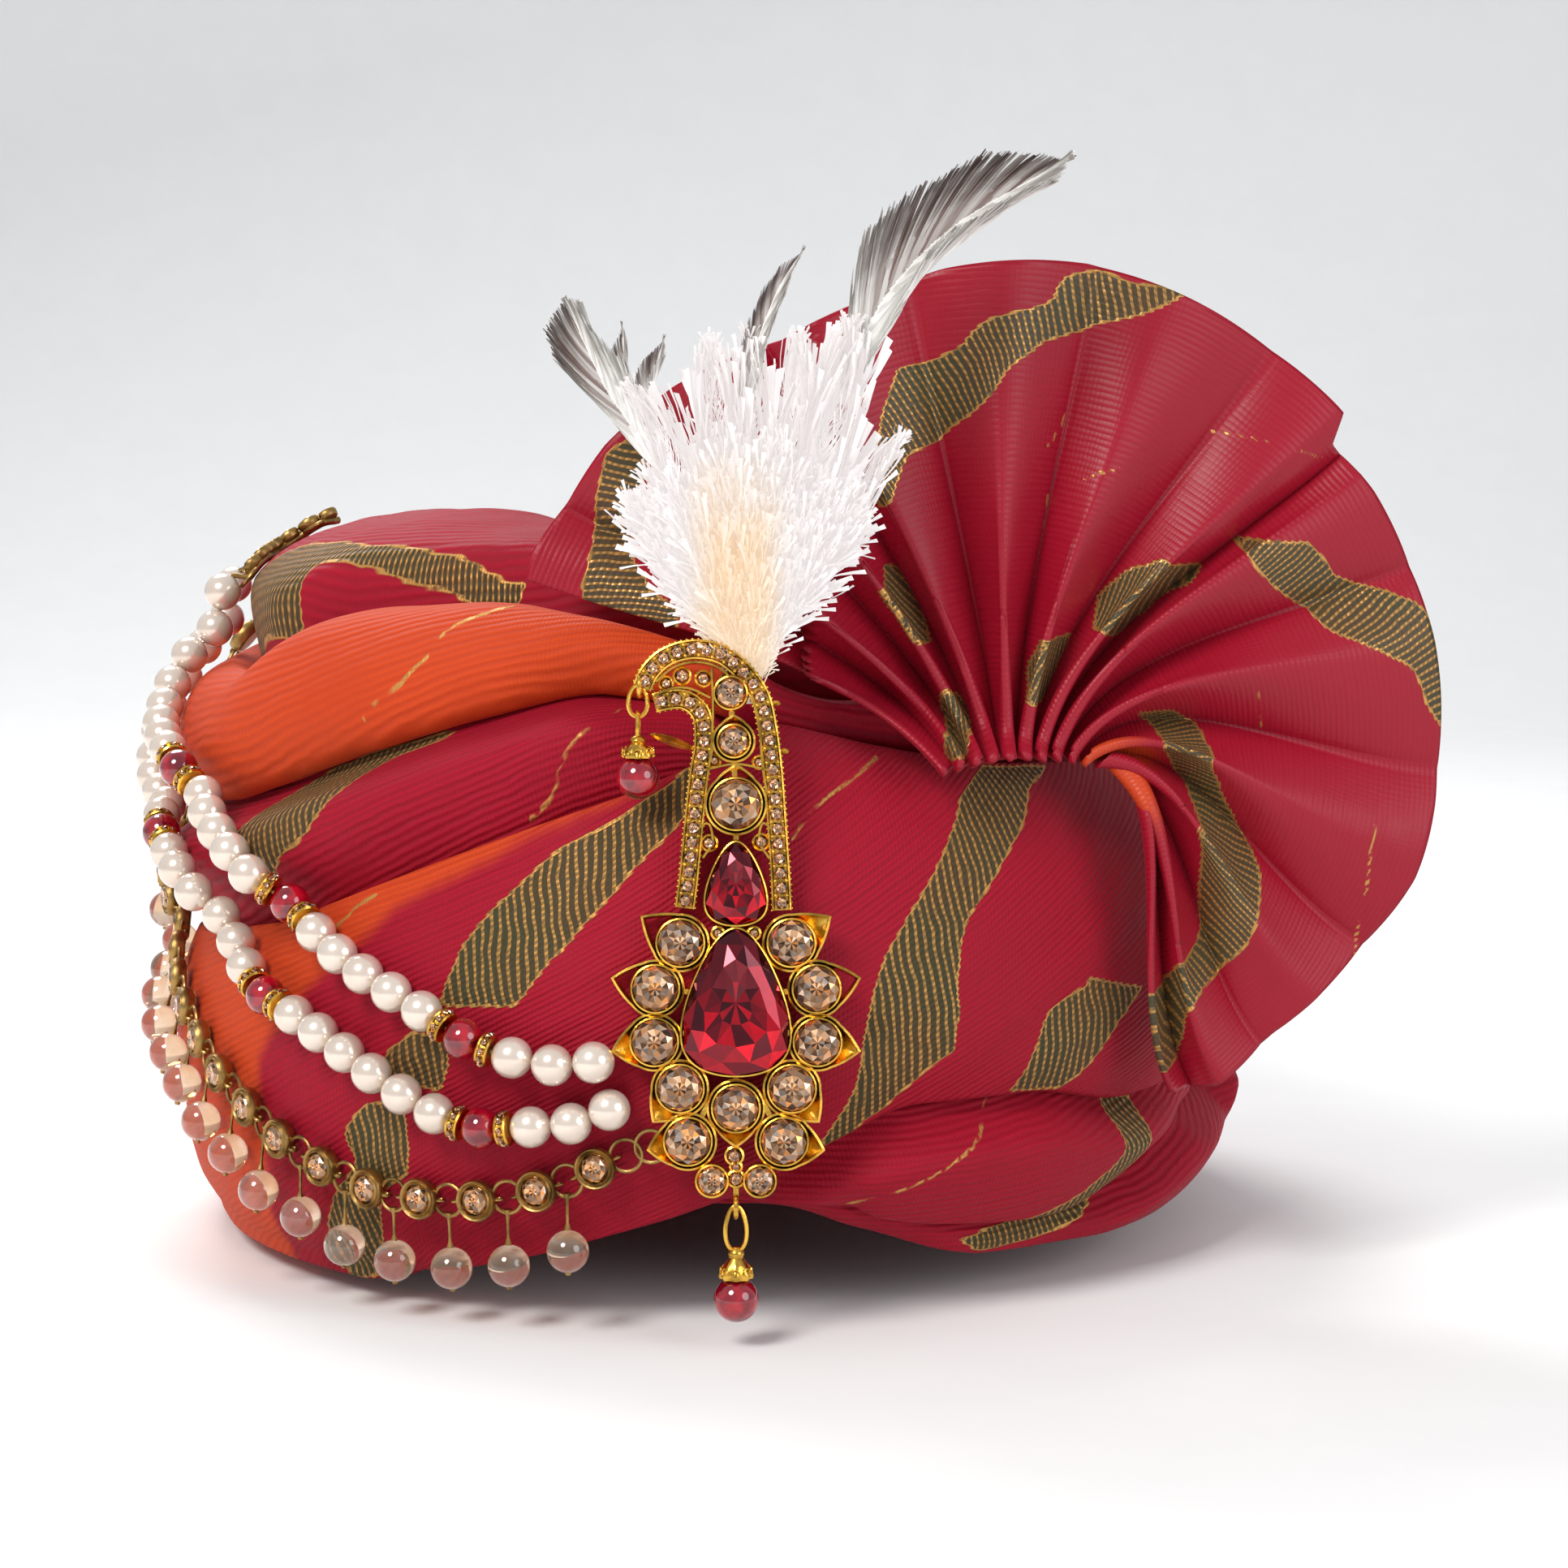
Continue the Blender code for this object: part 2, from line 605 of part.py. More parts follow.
def brooch_seat():
    """The middle of the brooch's back, just far enough out to clear the cloth behind it."""
    _, out = brooch_axes()
    middle = Vector((BROOCH_SIDE, 0, (BROOCH_CLIMB - 1) * HEAD_DEPTH))
    farthest = 0.0
    for angle in range(-16, 21, 4):
        for climb in np.linspace(0.15, 0.9, 16) * HEAD_DEPTH:
            point = raised(angle, climb, cloth_height(angle, climb, 0.001))
            if abs(point.x - BROOCH_SIDE) < BROOCH_REACH:
                farthest = max(farthest, (point - middle).dot(out))
    middle.y = -(farthest + BROOCH_GAP) / math.cos(BROOCH_LEAN)
    return middle


def brooch_matrix():
    up, out = brooch_axes()
    axes = Matrix((Vector((1, 0, 0)), up, out)).transposed().to_4x4()
    return Matrix.Translation(brooch_seat()) @ axes


def place(bm, matrix):
    bmesh.ops.transform(bm, matrix=matrix, verts=bm.verts[:])


def round_outline(radius, sides, turn=0.0):
    return [
        (radius * math.cos(turn + 2 * math.pi * i / sides),
         radius * math.sin(turn + 2 * math.pi * i / sides))
        for i in range(sides)
    ]


def pear_outline(width, height, sides, grow=0.0):
    """A pear with its narrow end up, middle at the origin."""
    points = []
    for i in range(sides):
        turn = 2 * math.pi * i / sides + math.pi / 2
        squeeze = 1 - 0.42 * (1 + math.sin(turn)) / 2
        lower = 0.10 * height * math.cos(turn) ** 2
        across = (width / 2 + grow) * math.cos(turn) * squeeze / 0.83
        up = (height / 2 + grow) * math.sin(turn) - lower
        points.append((across, up))
    return points


def leaf_outline(radius, tip, sides):
    """A round that runs out into a pointed tip at a distance and a direction."""
    reach = math.hypot(*tip)
    heading = math.atan2(tip[1], tip[0])
    spread = math.acos(radius / reach)
    points = [(tip[0], tip[1])]
    for i in range(sides - 1):
        turn = heading + spread + (2 * math.pi - 2 * spread) * i / (sides - 2)
        points.append((radius * math.cos(turn), radius * math.sin(turn)))
    return points


def pear_reach(angle):
    """How far the large pear reaches from its middle in a direction in degrees."""
    outline = pear_outline(LARGE_PEAR_WIDTH, LARGE_PEAR_HEIGHT, 240)
    turns = [math.degrees(math.atan2(y, x)) for x, y in outline]
    reaches = [math.hypot(x, y) for x, y in outline]
    turns, reaches = zip(*sorted(zip(turns, reaches)))
    return float(np.interp(angle, turns, reaches))


# The clear distance between the stones of two settings that share a wall
SHARED_WALL = CUP_WALL + 2 * STONE_GAP


def petal_spot(angle, run):
    reach = pear_reach(angle) + SHARED_WALL + PETAL_STONE * (1 + run)
    return (reach * math.cos(math.radians(angle)), reach * math.sin(math.radians(angle)))


def rail_points(rail):
    foot = RAIL_FOOT * LARGE_PEAR_HEIGHT
    return [(x * STEM_LENGTH, foot + y * STEM_LENGTH) for x, y in rail]


def stem_spots():
    """The small pear, the stem's lower stone and its two small stones, going up."""
    up = LARGE_PEAR_HEIGHT / 2 + SHARED_WALL + SMALL_PEAR_HEIGHT / 2
    spots = [(0.0, up)]
    radii = (SMALL_PEAR_HEIGHT / 2, STEM_LOWER_STONE, STEM_STONE, STEM_STONE)
    shifts = (0.0,) + STEM_SHIFTS
    for first, second, run, shift in zip(radii, radii[1:], STEM_RUNS, shifts):
        up += first + second + run * STEM_STONE
        spots.append((shift * STEM_STONE, up))
    return spots


RIGHT_PETALS = [petal_spot(angle, run) for angle, run, _, _ in PETALS]
PETAL_PLACES = [(side * x, y) for x, y in RIGHT_PETALS for side in (-1, 1)]
CENTRE_PETAL = petal_spot(-90, CENTRE_PETAL_RUN)
LARGE_PEAR_PLACE = (0.0, 0.0)
SMALL_PEAR_PLACE, STEM_LOWER_PLACE, *STEM_PLACES = stem_spots()
FOOT_HEIGHT = CENTRE_PETAL[1] - PETAL_STONE - FOOT_STONE * (1 + FOOT_RUN)
FOOT_PLACES = [(side * FOOT_SPREAD * FOOT_STONE, FOOT_HEIGHT) for side in (-1, 1)]
EYE_HEIGHT = FOOT_HEIGHT - EYE_RUN * FOOT_STONE
OUTER_LINE = rail_points(OUTER_RAIL)
INNER_LINE = rail_points(INNER_RAIL)
PLUME_PLACE = rail_points([PLUME_ROOT])[0]


def cup(centre, outer, inner, matrix):
    """A setting: a solid of one outline with a recess of another, open to the front."""
    top = PLATE_THICKNESS + CUP_HEIGHT
    rows = ((outer, 0.0), (outer, top), (inner, top), (inner, PLATE_THICKNESS))
    loops = [
        [(centre[0] + x, centre[1] + y, height) for x, y in points] for points, height in rows
    ]
    bm = bmesh.new()
    bridge_sections(bm, loops, False)
    place(bm, matrix)
    return make_object("cup", bm, None)


def petal_cup(spot, heading, reach, matrix, sides=10):
    radius = PETAL_STONE + STONE_GAP
    heading = math.radians(heading)
    tip = (reach * PETAL_STONE * math.cos(heading), reach * PETAL_STONE * math.sin(heading))
    outer = leaf_outline(radius + CUP_WALL, tip, sides)
    return cup(spot, outer, round_outline(radius, sides, heading), matrix)


def round_cup(centre, stone_radius, matrix, sides=10):
    radius = stone_radius + STONE_GAP
    outer = round_outline(radius + CUP_WALL, sides)
    return cup(centre, outer, round_outline(radius, sides), matrix)


def pear_cup(centre, width, height, matrix, sides):
    outer = pear_outline(width, height, sides, STONE_GAP + CUP_WALL)
    inner = pear_outline(width, height, sides, STONE_GAP)
    return cup(centre, outer, inner, matrix)


def bar(points, width, height, matrix):
    """A flat rib of rectangular section along a line of points in the brooch's plane."""
    bm = bmesh.new()
    sections = []
    for i, (x, y) in enumerate(points):
        before = points[max(0, i - 1)]
        after = points[min(len(points) - 1, i + 1)]
        along = Vector((after[0] - before[0], after[1] - before[1])).normalized()
        side = Vector((-along.y, along.x)) * width / 2
        sections.append([
            (x - side.x, y - side.y, STRUT_LIFT), (x + side.x, y + side.y, STRUT_LIFT),
            (x + side.x, y + side.y, height), (x - side.x, y - side.y, height),
        ])
    bridge_sections(bm, sections, False)
    place(bm, matrix)
    return make_object("bar", bm, None)


def wire_ring(centre, radius, wire, across, along, matrix, sides=10):
    """A closed ring of round wire in the plane of two axes, drawn by its centre line."""
    bm = bmesh.new()
    normal = across.cross(along)
    sections = []
    for i in range(sides):
        turn = 2 * math.pi * i / sides
        spoke = across * math.cos(turn) + along * math.sin(turn)
        sections.append([
            centre + spoke * radius
            + (spoke * math.cos(2 * math.pi * j / 6) + normal * math.sin(2 * math.pi * j / 6)) * wire
            for j in range(6)
        ])
    bridge_sections(bm, sections, True)
    place(bm, matrix)
    return make_object("ring", bm, None)


def eye_centre():
    """The middle of the eye on which the main drop hangs, in the brooch's own frame."""
    return Vector((0.0, EYE_HEIGHT, PLATE_THICKNESS))


def tip_eye_centre():
    x, y = OUTER_LINE[0]
    return Vector((x - EYE_WIRE, y - EYE_RADIUS + EYE_WIRE / 3, PLATE_THICKNESS))


def build_brooch_frame(matrix):
    """Cups, rails and struts, soldered into one casting. Each strut has its own height,
    so that no two of them share a plane."""
    pieces = [pear_cup(LARGE_PEAR_PLACE, LARGE_PEAR_WIDTH, LARGE_PEAR_HEIGHT, matrix, 14)]
    for (x, y), (_, _, heading, reach) in zip(RIGHT_PETALS, PETALS):
        pieces.append(petal_cup((x, y), heading, reach, matrix))
        pieces.append(petal_cup((-x, y), 180 - heading, reach, matrix))
    pieces.append(round_cup(CENTRE_PETAL, PETAL_STONE, matrix))
    pieces.append(pear_cup(SMALL_PEAR_PLACE, SMALL_PEAR_WIDTH, SMALL_PEAR_HEIGHT, matrix, 12))
    pieces.append(round_cup(STEM_LOWER_PLACE, STEM_LOWER_STONE, matrix))
    pieces += [round_cup(spot, STEM_STONE, matrix) for spot in STEM_PLACES]
    pieces += [round_cup(spot, FOOT_STONE, matrix) for spot in FOOT_PLACES]
    pieces.append(bar(OUTER_LINE, RAIL_WIDTH, RAIL_HEIGHT, matrix))
    pieces.append(bar(INNER_LINE, RAIL_WIDTH, RAIL_HEIGHT * 0.96, matrix))
    spine = [(0.0, EYE_HEIGHT + EYE_RADIUS), CENTRE_PETAL, STEM_LOWER_PLACE, STEM_PLACES[-1]]
    lines = [spine]
    for x, y in [SMALL_PEAR_PLACE, STEM_LOWER_PLACE, *STEM_PLACES]:
        left = table_column(sorted((row[1], row[0]) for row in INNER_LINE), 1, y)
        right = table_column(sorted((row[1], row[0]) for row in OUTER_LINE[4:]), 1, y)
        lines.append([(left, y), (right, y + STRUT_LIFT)])
    for x, y in RIGHT_PETALS:
        lines.append([(-x, y), (0.0, y + STRUT_LIFT), (x, y)])
    height = PLATE_THICKNESS * 0.9
    for line in lines:
        pieces.append(bar(line, STRUT_WIDTH, height, matrix))
        height *= 0.96
    y_axis, z_axis = Vector((0, 1, 0)), Vector((0, 0, 1))
    pieces.append(wire_ring(eye_centre(), EYE_RADIUS, EYE_WIRE, y_axis, z_axis, matrix))
    pieces.append(wire_ring(tip_eye_centre(), EYE_RADIUS, EYE_WIRE, y_axis, z_axis, matrix))
    return fuse("brooch_frame", pieces, (GOLD, 0.25, 1.0))


def cut_stone(name, centre, outline, rise, matrix, colour):
    """A foil-backed stone: a flat back, a girdle, a ring of facets and a table."""
    bm = bmesh.new()
    base = PLATE_THICKNESS + STONE_GAP
    levels = ((0.80, base), (1.0, base + rise * 0.45), (0.56, base + rise))
    loops = [
        [(centre[0] + x * share, centre[1] + y * share, height) for x, y in outline]
        for share, height in levels
    ]
    bridge_sections(bm, loops, False)
    place(bm, matrix)
    return make_object(name, bm, (colour, 0.08))


def build_stones(matrix):
    pears = (
        ("large", LARGE_PEAR_PLACE, LARGE_PEAR_WIDTH, LARGE_PEAR_HEIGHT, 14, PEAR_STONE_RISE),
        ("small", SMALL_PEAR_PLACE, SMALL_PEAR_WIDTH, SMALL_PEAR_HEIGHT, 12, PEAR_STONE_RISE),
    )
    for size, spot, width, height, sides, rise in pears:
        outline = pear_outline(width, height, sides)
        cut_stone("pear_stone_" + size, spot, outline, rise, matrix, RUBY)
    groups = (
        ("petal_stone", [*PETAL_PLACES, CENTRE_PETAL], PETAL_STONE),
        ("stem_stone", STEM_PLACES, STEM_STONE),
        ("stem_stone_lower", [STEM_LOWER_PLACE], STEM_LOWER_STONE),
        ("foot_stone", FOOT_PLACES, FOOT_STONE),
    )
    for name, places, radius in groups:
        for number, spot in enumerate(places, 1):
            outline = round_outline(radius, 8, math.pi / 8)
            cut_stone(f"{name}_{number}", spot, outline, radius * 0.62, matrix, CHAMPAGNE)


def build_pin(matrix):
    """A plain pin behind the stem, across the back of the brooch."""
    bm = bmesh.new()
    radius = PIN_DIAMETER / 2
    turn = Matrix.Rotation(math.pi / 2, 4, "Y")
    shift = Matrix.Translation((0, STEM_LOWER_PLACE[1], -radius - STONE_GAP))
    bmesh.ops.create_cone(
        bm, cap_ends=True, segments=8, radius1=radius, radius2=radius, depth=PIN_LENGTH,
        matrix=shift @ turn,
    )
    place(bm, matrix)
    return make_object("brooch_pin", bm, (GOLD, 0.3, 1.0))


def build_plume(matrix):
    """Flat tapered locks that spread from one stem behind the brooch's head."""
    depth = -PLUME_STEM / 2 - STONE_GAP
    root = Vector((PLUME_PLACE[0], PLUME_PLACE[1], depth))
    bm = bmesh.new()
    stem = [
        [root + Vector((x, height, y)) for x, y in round_outline(radius, 8)]
        for radius, height in (
            (PLUME_STEM * 0.4, -PLUME_STEM * 2), (PLUME_STEM * 0.5, 0.0),
            (PLUME_STEM * 0.45, PLUME_STEM * 1.5),
        )
    ]
    bridge_sections(bm, stem, False)
    place(bm, matrix)
    pieces = [make_object("stem", bm, None)]
    spread = ((0.0, 0.20, 0.45), (0.22, 0.75, 0.8), (0.5, 1.0, 1.0), (0.78, 0.8, 0.8),
              (1.0, 0.22, 0.3))
    for number, (lean, length, width) in enumerate(PLUME_LOCKS):
        bm = bmesh.new()
        sections = []
        for share, wide, thick in spread:
            turn = math.radians(lean) * (0.55 + 0.45 * share)
            along = Vector((math.sin(turn), math.cos(turn), 0))
            across = Vector((along.y, -along.x, 0))
            middle = root + along * PLUME_HEIGHT * length * share
            middle.z += depth * 0.1 * (number % 3)
            half_width = PLUME_HEIGHT * width * wide / 2
            half_depth = PLUME_THICKNESS * thick / 2 * (0.8 + 0.1 * (number % 3))
            sections.append([
                middle + across * half_width * x + Vector((0, 0, 1)) * half_depth * y
                for x, y in round_outline(1.0, 6)
            ])
        bridge_sections(bm, sections, False)
        place(bm, matrix)
        pieces.append(make_object("lock", bm, None))
    return fuse("plume", pieces, (FEATHER, 0.9))


def turned(bm, profile, sides, centre):
    """A turned solid about the vertical: profile rows are radius and height."""
    loops = []
    for radius, height in profile:
        loops.append([
            centre + Vector((x, y, height)) for x, y in round_outline(radius, sides)
        ])
    bridge_sections(bm, loops, False)


def bead_profile(diameter, rings):
    """Rows of radius and height from the bottom to the top of a round bead."""
    rows = []
    for i in range(rings):
        turn = math.pi * (i + 0.6) / (rings + 0.2)
        rows.append((diameter / 2 * math.sin(turn), -diameter / 2 * math.cos(turn)))
    return rows


def build_drop(kind, hang, link_length, cap_length, cap_radius, bead):
    """A link, the cap soldered to it, and the bead under the cap. Hang is the link's top."""
    half = EYE_RADIUS * 0.9
    bm = bmesh.new()
    sections = []
    for i in range(14):
        turn = 2 * math.pi * i / 14
        across = half * math.sin(turn) * (1.0 if math.cos(turn) > 0 else 1.12)
        drop = -(link_length / 2) * (1 - math.cos(turn))
        if drop > -half:
            across = math.copysign(math.sqrt(max(0.0, half ** 2 - (half + drop) ** 2)), across)
        spoke = Vector((math.sin(turn), 0, math.cos(turn)))
        middle = hang + Vector((across, 0, drop))
        sections.append([
            middle + (spoke * math.cos(2 * math.pi * j / 6)
                      + Vector((0, 1, 0)) * math.sin(2 * math.pi * j / 6)) * LINK_WIRE
            for j in range(6)
        ])
    bridge_sections(bm, sections, True)
    ring = make_object("ring", bm, None)
    bm = bmesh.new()
    top = hang - Vector((0, 0, link_length - LINK_WIRE))
    profile = [
        (cap_radius * 0.92, -cap_length), (cap_radius, -cap_length * 0.78),
        (cap_radius * 0.62, -cap_length * 0.35), (cap_radius * 0.30, 0.0),
    ]
    turned(bm, profile, 10, top)
    cap = make_object("cap", bm, None)
    fuse(kind + "_link", [cap, ring], (GOLD, 0.25, 1.0))
    bm = bmesh.new()
    centre = top - Vector((0, 0, cap_length + BEAD_SEAT_GAP + bead * 0.47))
    turned(bm, bead_profile(bead, 6), 12, centre)
    make_object(kind + "_bead", bm, (RUBY, 0.15))


# The strings of beads

def smooth_route(points, count):
    """A smooth curve through points, read at even distances."""
    points = [Vector(p) for p in points]
    ends = [points[0] * 2 - points[1]] + points + [points[-1] * 2 - points[-2]]
    fine = []
    for a, b, c, d in zip(ends, ends[1:], ends[2:], ends[3:]):
        for i in range(16):
            t = i / 16
            fine.append(0.5 * ((2 * b) + (c - a) * t + (2 * a - 5 * b + 4 * c - d) * t * t
                               + (3 * b - a - 3 * c + d) * t ** 3))
    fine.append(points[-1])
    steps = [0.0]
    for first, second in zip(fine, fine[1:]):
        steps.append(steps[-1] + (second - first).length)
    spots = np.linspace(0, steps[-1], count)
    return [Vector([np.interp(s, steps, [p[i] for p in fine]) for i in range(3)]) for s in spots]


def cloth_route(route, radius, seat):
    """Points over the cloth: each clears what lies under a bead by the seat."""
    points = []
    for angle, climb, lift in route:
        height = cloth_height(angle, climb * HEAD_DEPTH, radius * 0.8)
        height += radius + seat + lift * PEARL_DIAMETER
        points.append(raised(angle, climb * HEAD_DEPTH, height))
    return points


def swept(name, path, radii, sides, look):
    bm = bmesh.new()
    side = Vector((0, 0, 1))
    sections = []
    for i, point in enumerate(path):
        along = (path[min(i + 1, len(path) - 1)] - path[max(i - 1, 0)]).normalized()
        side = (side - along * side.dot(along)).normalized()
        other = along.cross(side)
        sections.append([
            point + (side * math.cos(2 * math.pi * j / sides)
                     + other * math.sin(2 * math.pi * j / sides)) * radii[i]
            for j in range(sides)
        ])
    bridge_sections(bm, sections, False)
    return make_object(name, bm, look)


def build_strand(name, route, beads):
    """A whole string as one solid: a round for each bead, and a waist between two."""
    count = len(beads)
    path = smooth_route(cloth_route(route, PEARL_DIAMETER / 2, PEARL_SEAT), 3 * count + 1)
    radii = []
    for i in range(3 * count + 1):
        radii.append(PEARL_WAIST / 2 if i % 3 == 0 else PEARL_DIAMETER / 2)
    return swept(name, path, radii, 10, (PEARL, 0.2))


def build_chain():
    points = smooth_route(cloth_route(CHAIN_ROUTE, CHAIN_DIAMETER / 2, CHAIN_SEAT), 22)
    curve = bpy.data.curves.new("kundan_chain", "CURVE")
    curve.dimensions = "3D"
    curve.bevel_depth = CHAIN_DIAMETER / 2
    curve.bevel_resolution = 3
    curve.use_fill_caps = True
    spline = curve.splines.new("POLY")
    spline.points.add(len(points) - 1)
    for spot, point in zip(spline.points, points):
        spot.co = (*point, 1.0)
    curve.materials.append(finish("kundan_chain", GOLD, 0.3, 1.0))
    item = bpy.data.objects.new("kundan_chain", curve)
    bpy.context.scene.collection.objects.link(item)
    return item


def build_hook():
    """The fitting that both strings and the chain end on."""
    path = smooth_route(cloth_route(HOOK_ROUTE, HOOK_WIRE, -HOOK_SETTLE), 12)
    return swept("strand_hook", path, [HOOK_WIRE] * len(path), 8, (GOLD, 0.3, 1.0))


def main():
    clear_scene()
    build_crown()
    LOWER_OUTER.build("lower_wrap_outer", [], CRIMSON)
    LEFT_3.build("left_wrap_3", [], CRIMSON)
    LEFT_1.build("left_wrap_1", [], CRIMSON)
    LOWER_INNER.build("lower_wrap_inner", [LOWER_OUTER], CRIMSON)
    LEFT_2.build("left_wrap_2", [LEFT_3, LEFT_1], ORANGE)
    FRONT.build("front_wrap", [LOWER_OUTER, LOWER_INNER, LEFT_3, LEFT_2, LEFT_1], CRIMSON)
    build_fan()
    matrix = brooch_matrix()
    build_brooch_frame(matrix)
    build_stones(matrix)
    build_pin(matrix)
    build_plume(matrix)
    build_drop("drop", matrix @ eye_centre(), DROP_LINK_LENGTH, DROP_CAP_LENGTH,
               DROP_CAP_RADIUS, DROP_BEAD)
    build_drop("tip_drop", matrix @ tip_eye_centre(), TIP_LINK_LENGTH, TIP_CAP_LENGTH,
               DROP_CAP_RADIUS, TIP_BEAD)
    build_strand("pearl_strand_upper", UPPER_STRAND_ROUTE, UPPER_STRAND_BEADS)
    build_strand("pearl_strand_lower", LOWER_STRAND_ROUTE, LOWER_STRAND_BEADS)
    build_chain()
    build_hook()


main()
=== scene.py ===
"""A tied turban with its fan, plume, brooch and strings of beads, dressed over its frame."""
import json
import math

import bmesh
import bpy
import numpy as np
from mathutils import Euler, Matrix, Vector


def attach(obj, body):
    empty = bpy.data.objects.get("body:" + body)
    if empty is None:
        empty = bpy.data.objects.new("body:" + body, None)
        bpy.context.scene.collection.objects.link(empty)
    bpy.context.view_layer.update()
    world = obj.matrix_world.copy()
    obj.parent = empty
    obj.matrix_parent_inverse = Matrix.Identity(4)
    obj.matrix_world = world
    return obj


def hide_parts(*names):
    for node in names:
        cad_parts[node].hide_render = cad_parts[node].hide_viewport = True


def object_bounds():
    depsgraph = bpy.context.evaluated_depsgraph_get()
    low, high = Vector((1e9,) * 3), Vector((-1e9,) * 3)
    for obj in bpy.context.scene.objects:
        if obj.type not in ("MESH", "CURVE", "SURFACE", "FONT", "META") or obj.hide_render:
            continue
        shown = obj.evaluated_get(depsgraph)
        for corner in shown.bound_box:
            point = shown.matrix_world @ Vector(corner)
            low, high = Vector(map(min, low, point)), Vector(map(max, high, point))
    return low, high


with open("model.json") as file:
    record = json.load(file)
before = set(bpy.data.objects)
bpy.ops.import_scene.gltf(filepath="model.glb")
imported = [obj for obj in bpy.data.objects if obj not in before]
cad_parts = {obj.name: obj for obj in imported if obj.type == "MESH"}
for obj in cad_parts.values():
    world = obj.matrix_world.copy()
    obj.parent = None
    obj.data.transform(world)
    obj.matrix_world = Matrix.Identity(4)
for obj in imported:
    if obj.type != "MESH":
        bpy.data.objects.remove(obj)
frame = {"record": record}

cad_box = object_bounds()


# The view, the floor and the light
# The turban is seen from the front, a little above its brow.
# It hangs just over a pale paper sweep, under one broad lamp and two softer ones.

RIM_HEIGHT = -0.120
LOOK_AT = Vector((0.0153, 0.0, RIM_HEIGHT + 0.0875))
VIEW_RANGE = 0.862
VIEW_RISE = math.radians(6)
FLOOR_HEIGHT = cad_box[0][2] - 0.004


class Socket:
    """One output of a node. Sums, differences, products and quotients add Math nodes."""

    def __init__(self, tree, output):
        self.tree, self.output = tree, output


def math_method(operation, turned):
    """A method of Socket that adds a Math node, with its two sides turned about or not."""
    def add_node(self, other):
        first, second = (other, self) if turned else (self, other)
        return self.tree.node("ShaderNodeMath", {"operation": operation}, {0: first, 1: second})
    return add_node


for sign, operation in (("add", "ADD"), ("sub", "SUBTRACT"), ("mul", "MULTIPLY"), ("truediv", "DIVIDE")):
    setattr(Socket, f"__{sign}__", math_method(operation, False))
    setattr(Socket, f"__r{sign}__", math_method(operation, True))


class Tree:
    """A node tree under construction: every node comes from its one method."""

    def __init__(self, tree):
        self.tree = tree

    def node(self, kind, settings=None, sockets=None, output=0):
        node = self.tree.nodes.new(kind)
        for key, value in (settings or {}).items():
            if key == "stops":
                ramp = node.color_ramp.elements
                while len(ramp) < len(value):
                    ramp.new(1.0)
                for stop, (place, colour) in zip(ramp, value):
                    stop.position, stop.color = place, (*colour, 1.0)
            else:
                setattr(node, key, value)
        for key, value in (sockets or {}).items():
            self.feed(node.inputs[key], value)
        return Socket(self, node.outputs[output])

    def feed(self, entry, value):
        if isinstance(value, Socket):
            self.tree.links.new(value.output, entry)
        elif entry.type == "RGBA" and len(value) == 3:
            entry.default_value = (*value, 1.0)
        else:
            entry.default_value = value


class Finish(Tree):
    """A material with one Principled surface, whose changing parts are fed by name."""

    def __init__(self, name, **fixed):
        self.material = bpy.data.materials.new(name)
        self.material.use_nodes = True
        super().__init__(self.material.node_tree)
        self.surface = self.tree.nodes["Principled BSDF"]
        self.set(**fixed)

    def set(self, **parts):
        for key, value in parts.items():
            self.feed(self.surface.inputs[key.replace("_", " ")], value)

    def place(self):
        return self.node("ShaderNodeTexCoord", output="Object")

    def read(self, name):
        return self.node("ShaderNodeAttribute", {"attribute_name": name}, output="Fac")

    def part(self, vector, axis):
        return self.node("ShaderNodeSeparateXYZ", None, {0: vector}, output=axis)

    def noise(self, scale, detail=3.0):
        sockets = {"Vector": self.place(), "Scale": scale, "Detail": detail, "Roughness": 0.55}
        return self.node("ShaderNodeTexNoise", None, sockets)

    def mix(self, share, first, second):
        return self.node("ShaderNodeMix", {"data_type": "RGBA"}, {0: share, 6: first, 7: second}, output=2)

    def larger(self, first, second):
        settings = {"operation": "MAXIMUM", "use_clamp": True}
        return self.node("ShaderNodeMath", settings, {0: first, 1: second})

    def step(self, value, low, high):
        """0 below low and 1 above high, eased between."""
        settings = {"interpolation_type": "SMOOTHSTEP"}
        return self.node("ShaderNodeMapRange", settings, {0: value, 1: low, 2: high})

    def wave(self, value):
        """A sine of a value in turns, between 0 and 1."""
        turn = self.node("ShaderNodeMath", {"operation": "SINE"}, {0: value * math.tau})
        return turn * 0.5 + 0.5

    def bump(self, height, distance, strength=1.0, under=None):
        sockets = {"Height": height, "Distance": distance, "Strength": strength}
        if under is not None:
            sockets["Normal"] = under
        return self.node("ShaderNodeBump", None, sockets)


def add_object(name, data):
    item = bpy.data.objects.new(name, data)
    bpy.context.scene.collection.objects.link(item)
    return item


camera = add_object("camera", bpy.data.cameras.new("camera"))
camera.data.lens, camera.data.sensor_width = 90, 36
camera.location = LOOK_AT + VIEW_RANGE * Vector((0, -math.cos(VIEW_RISE), math.sin(VIEW_RISE)))
camera.rotation_euler = (math.pi / 2 - VIEW_RISE, 0, 0)
bpy.context.scene.camera = camera

paper = Finish("pale_paper", Roughness=0.95)
paper.set(Base_Color=paper.mix(paper.noise(40.0), (0.86, 0.86, 0.85), (0.90, 0.90, 0.89)))

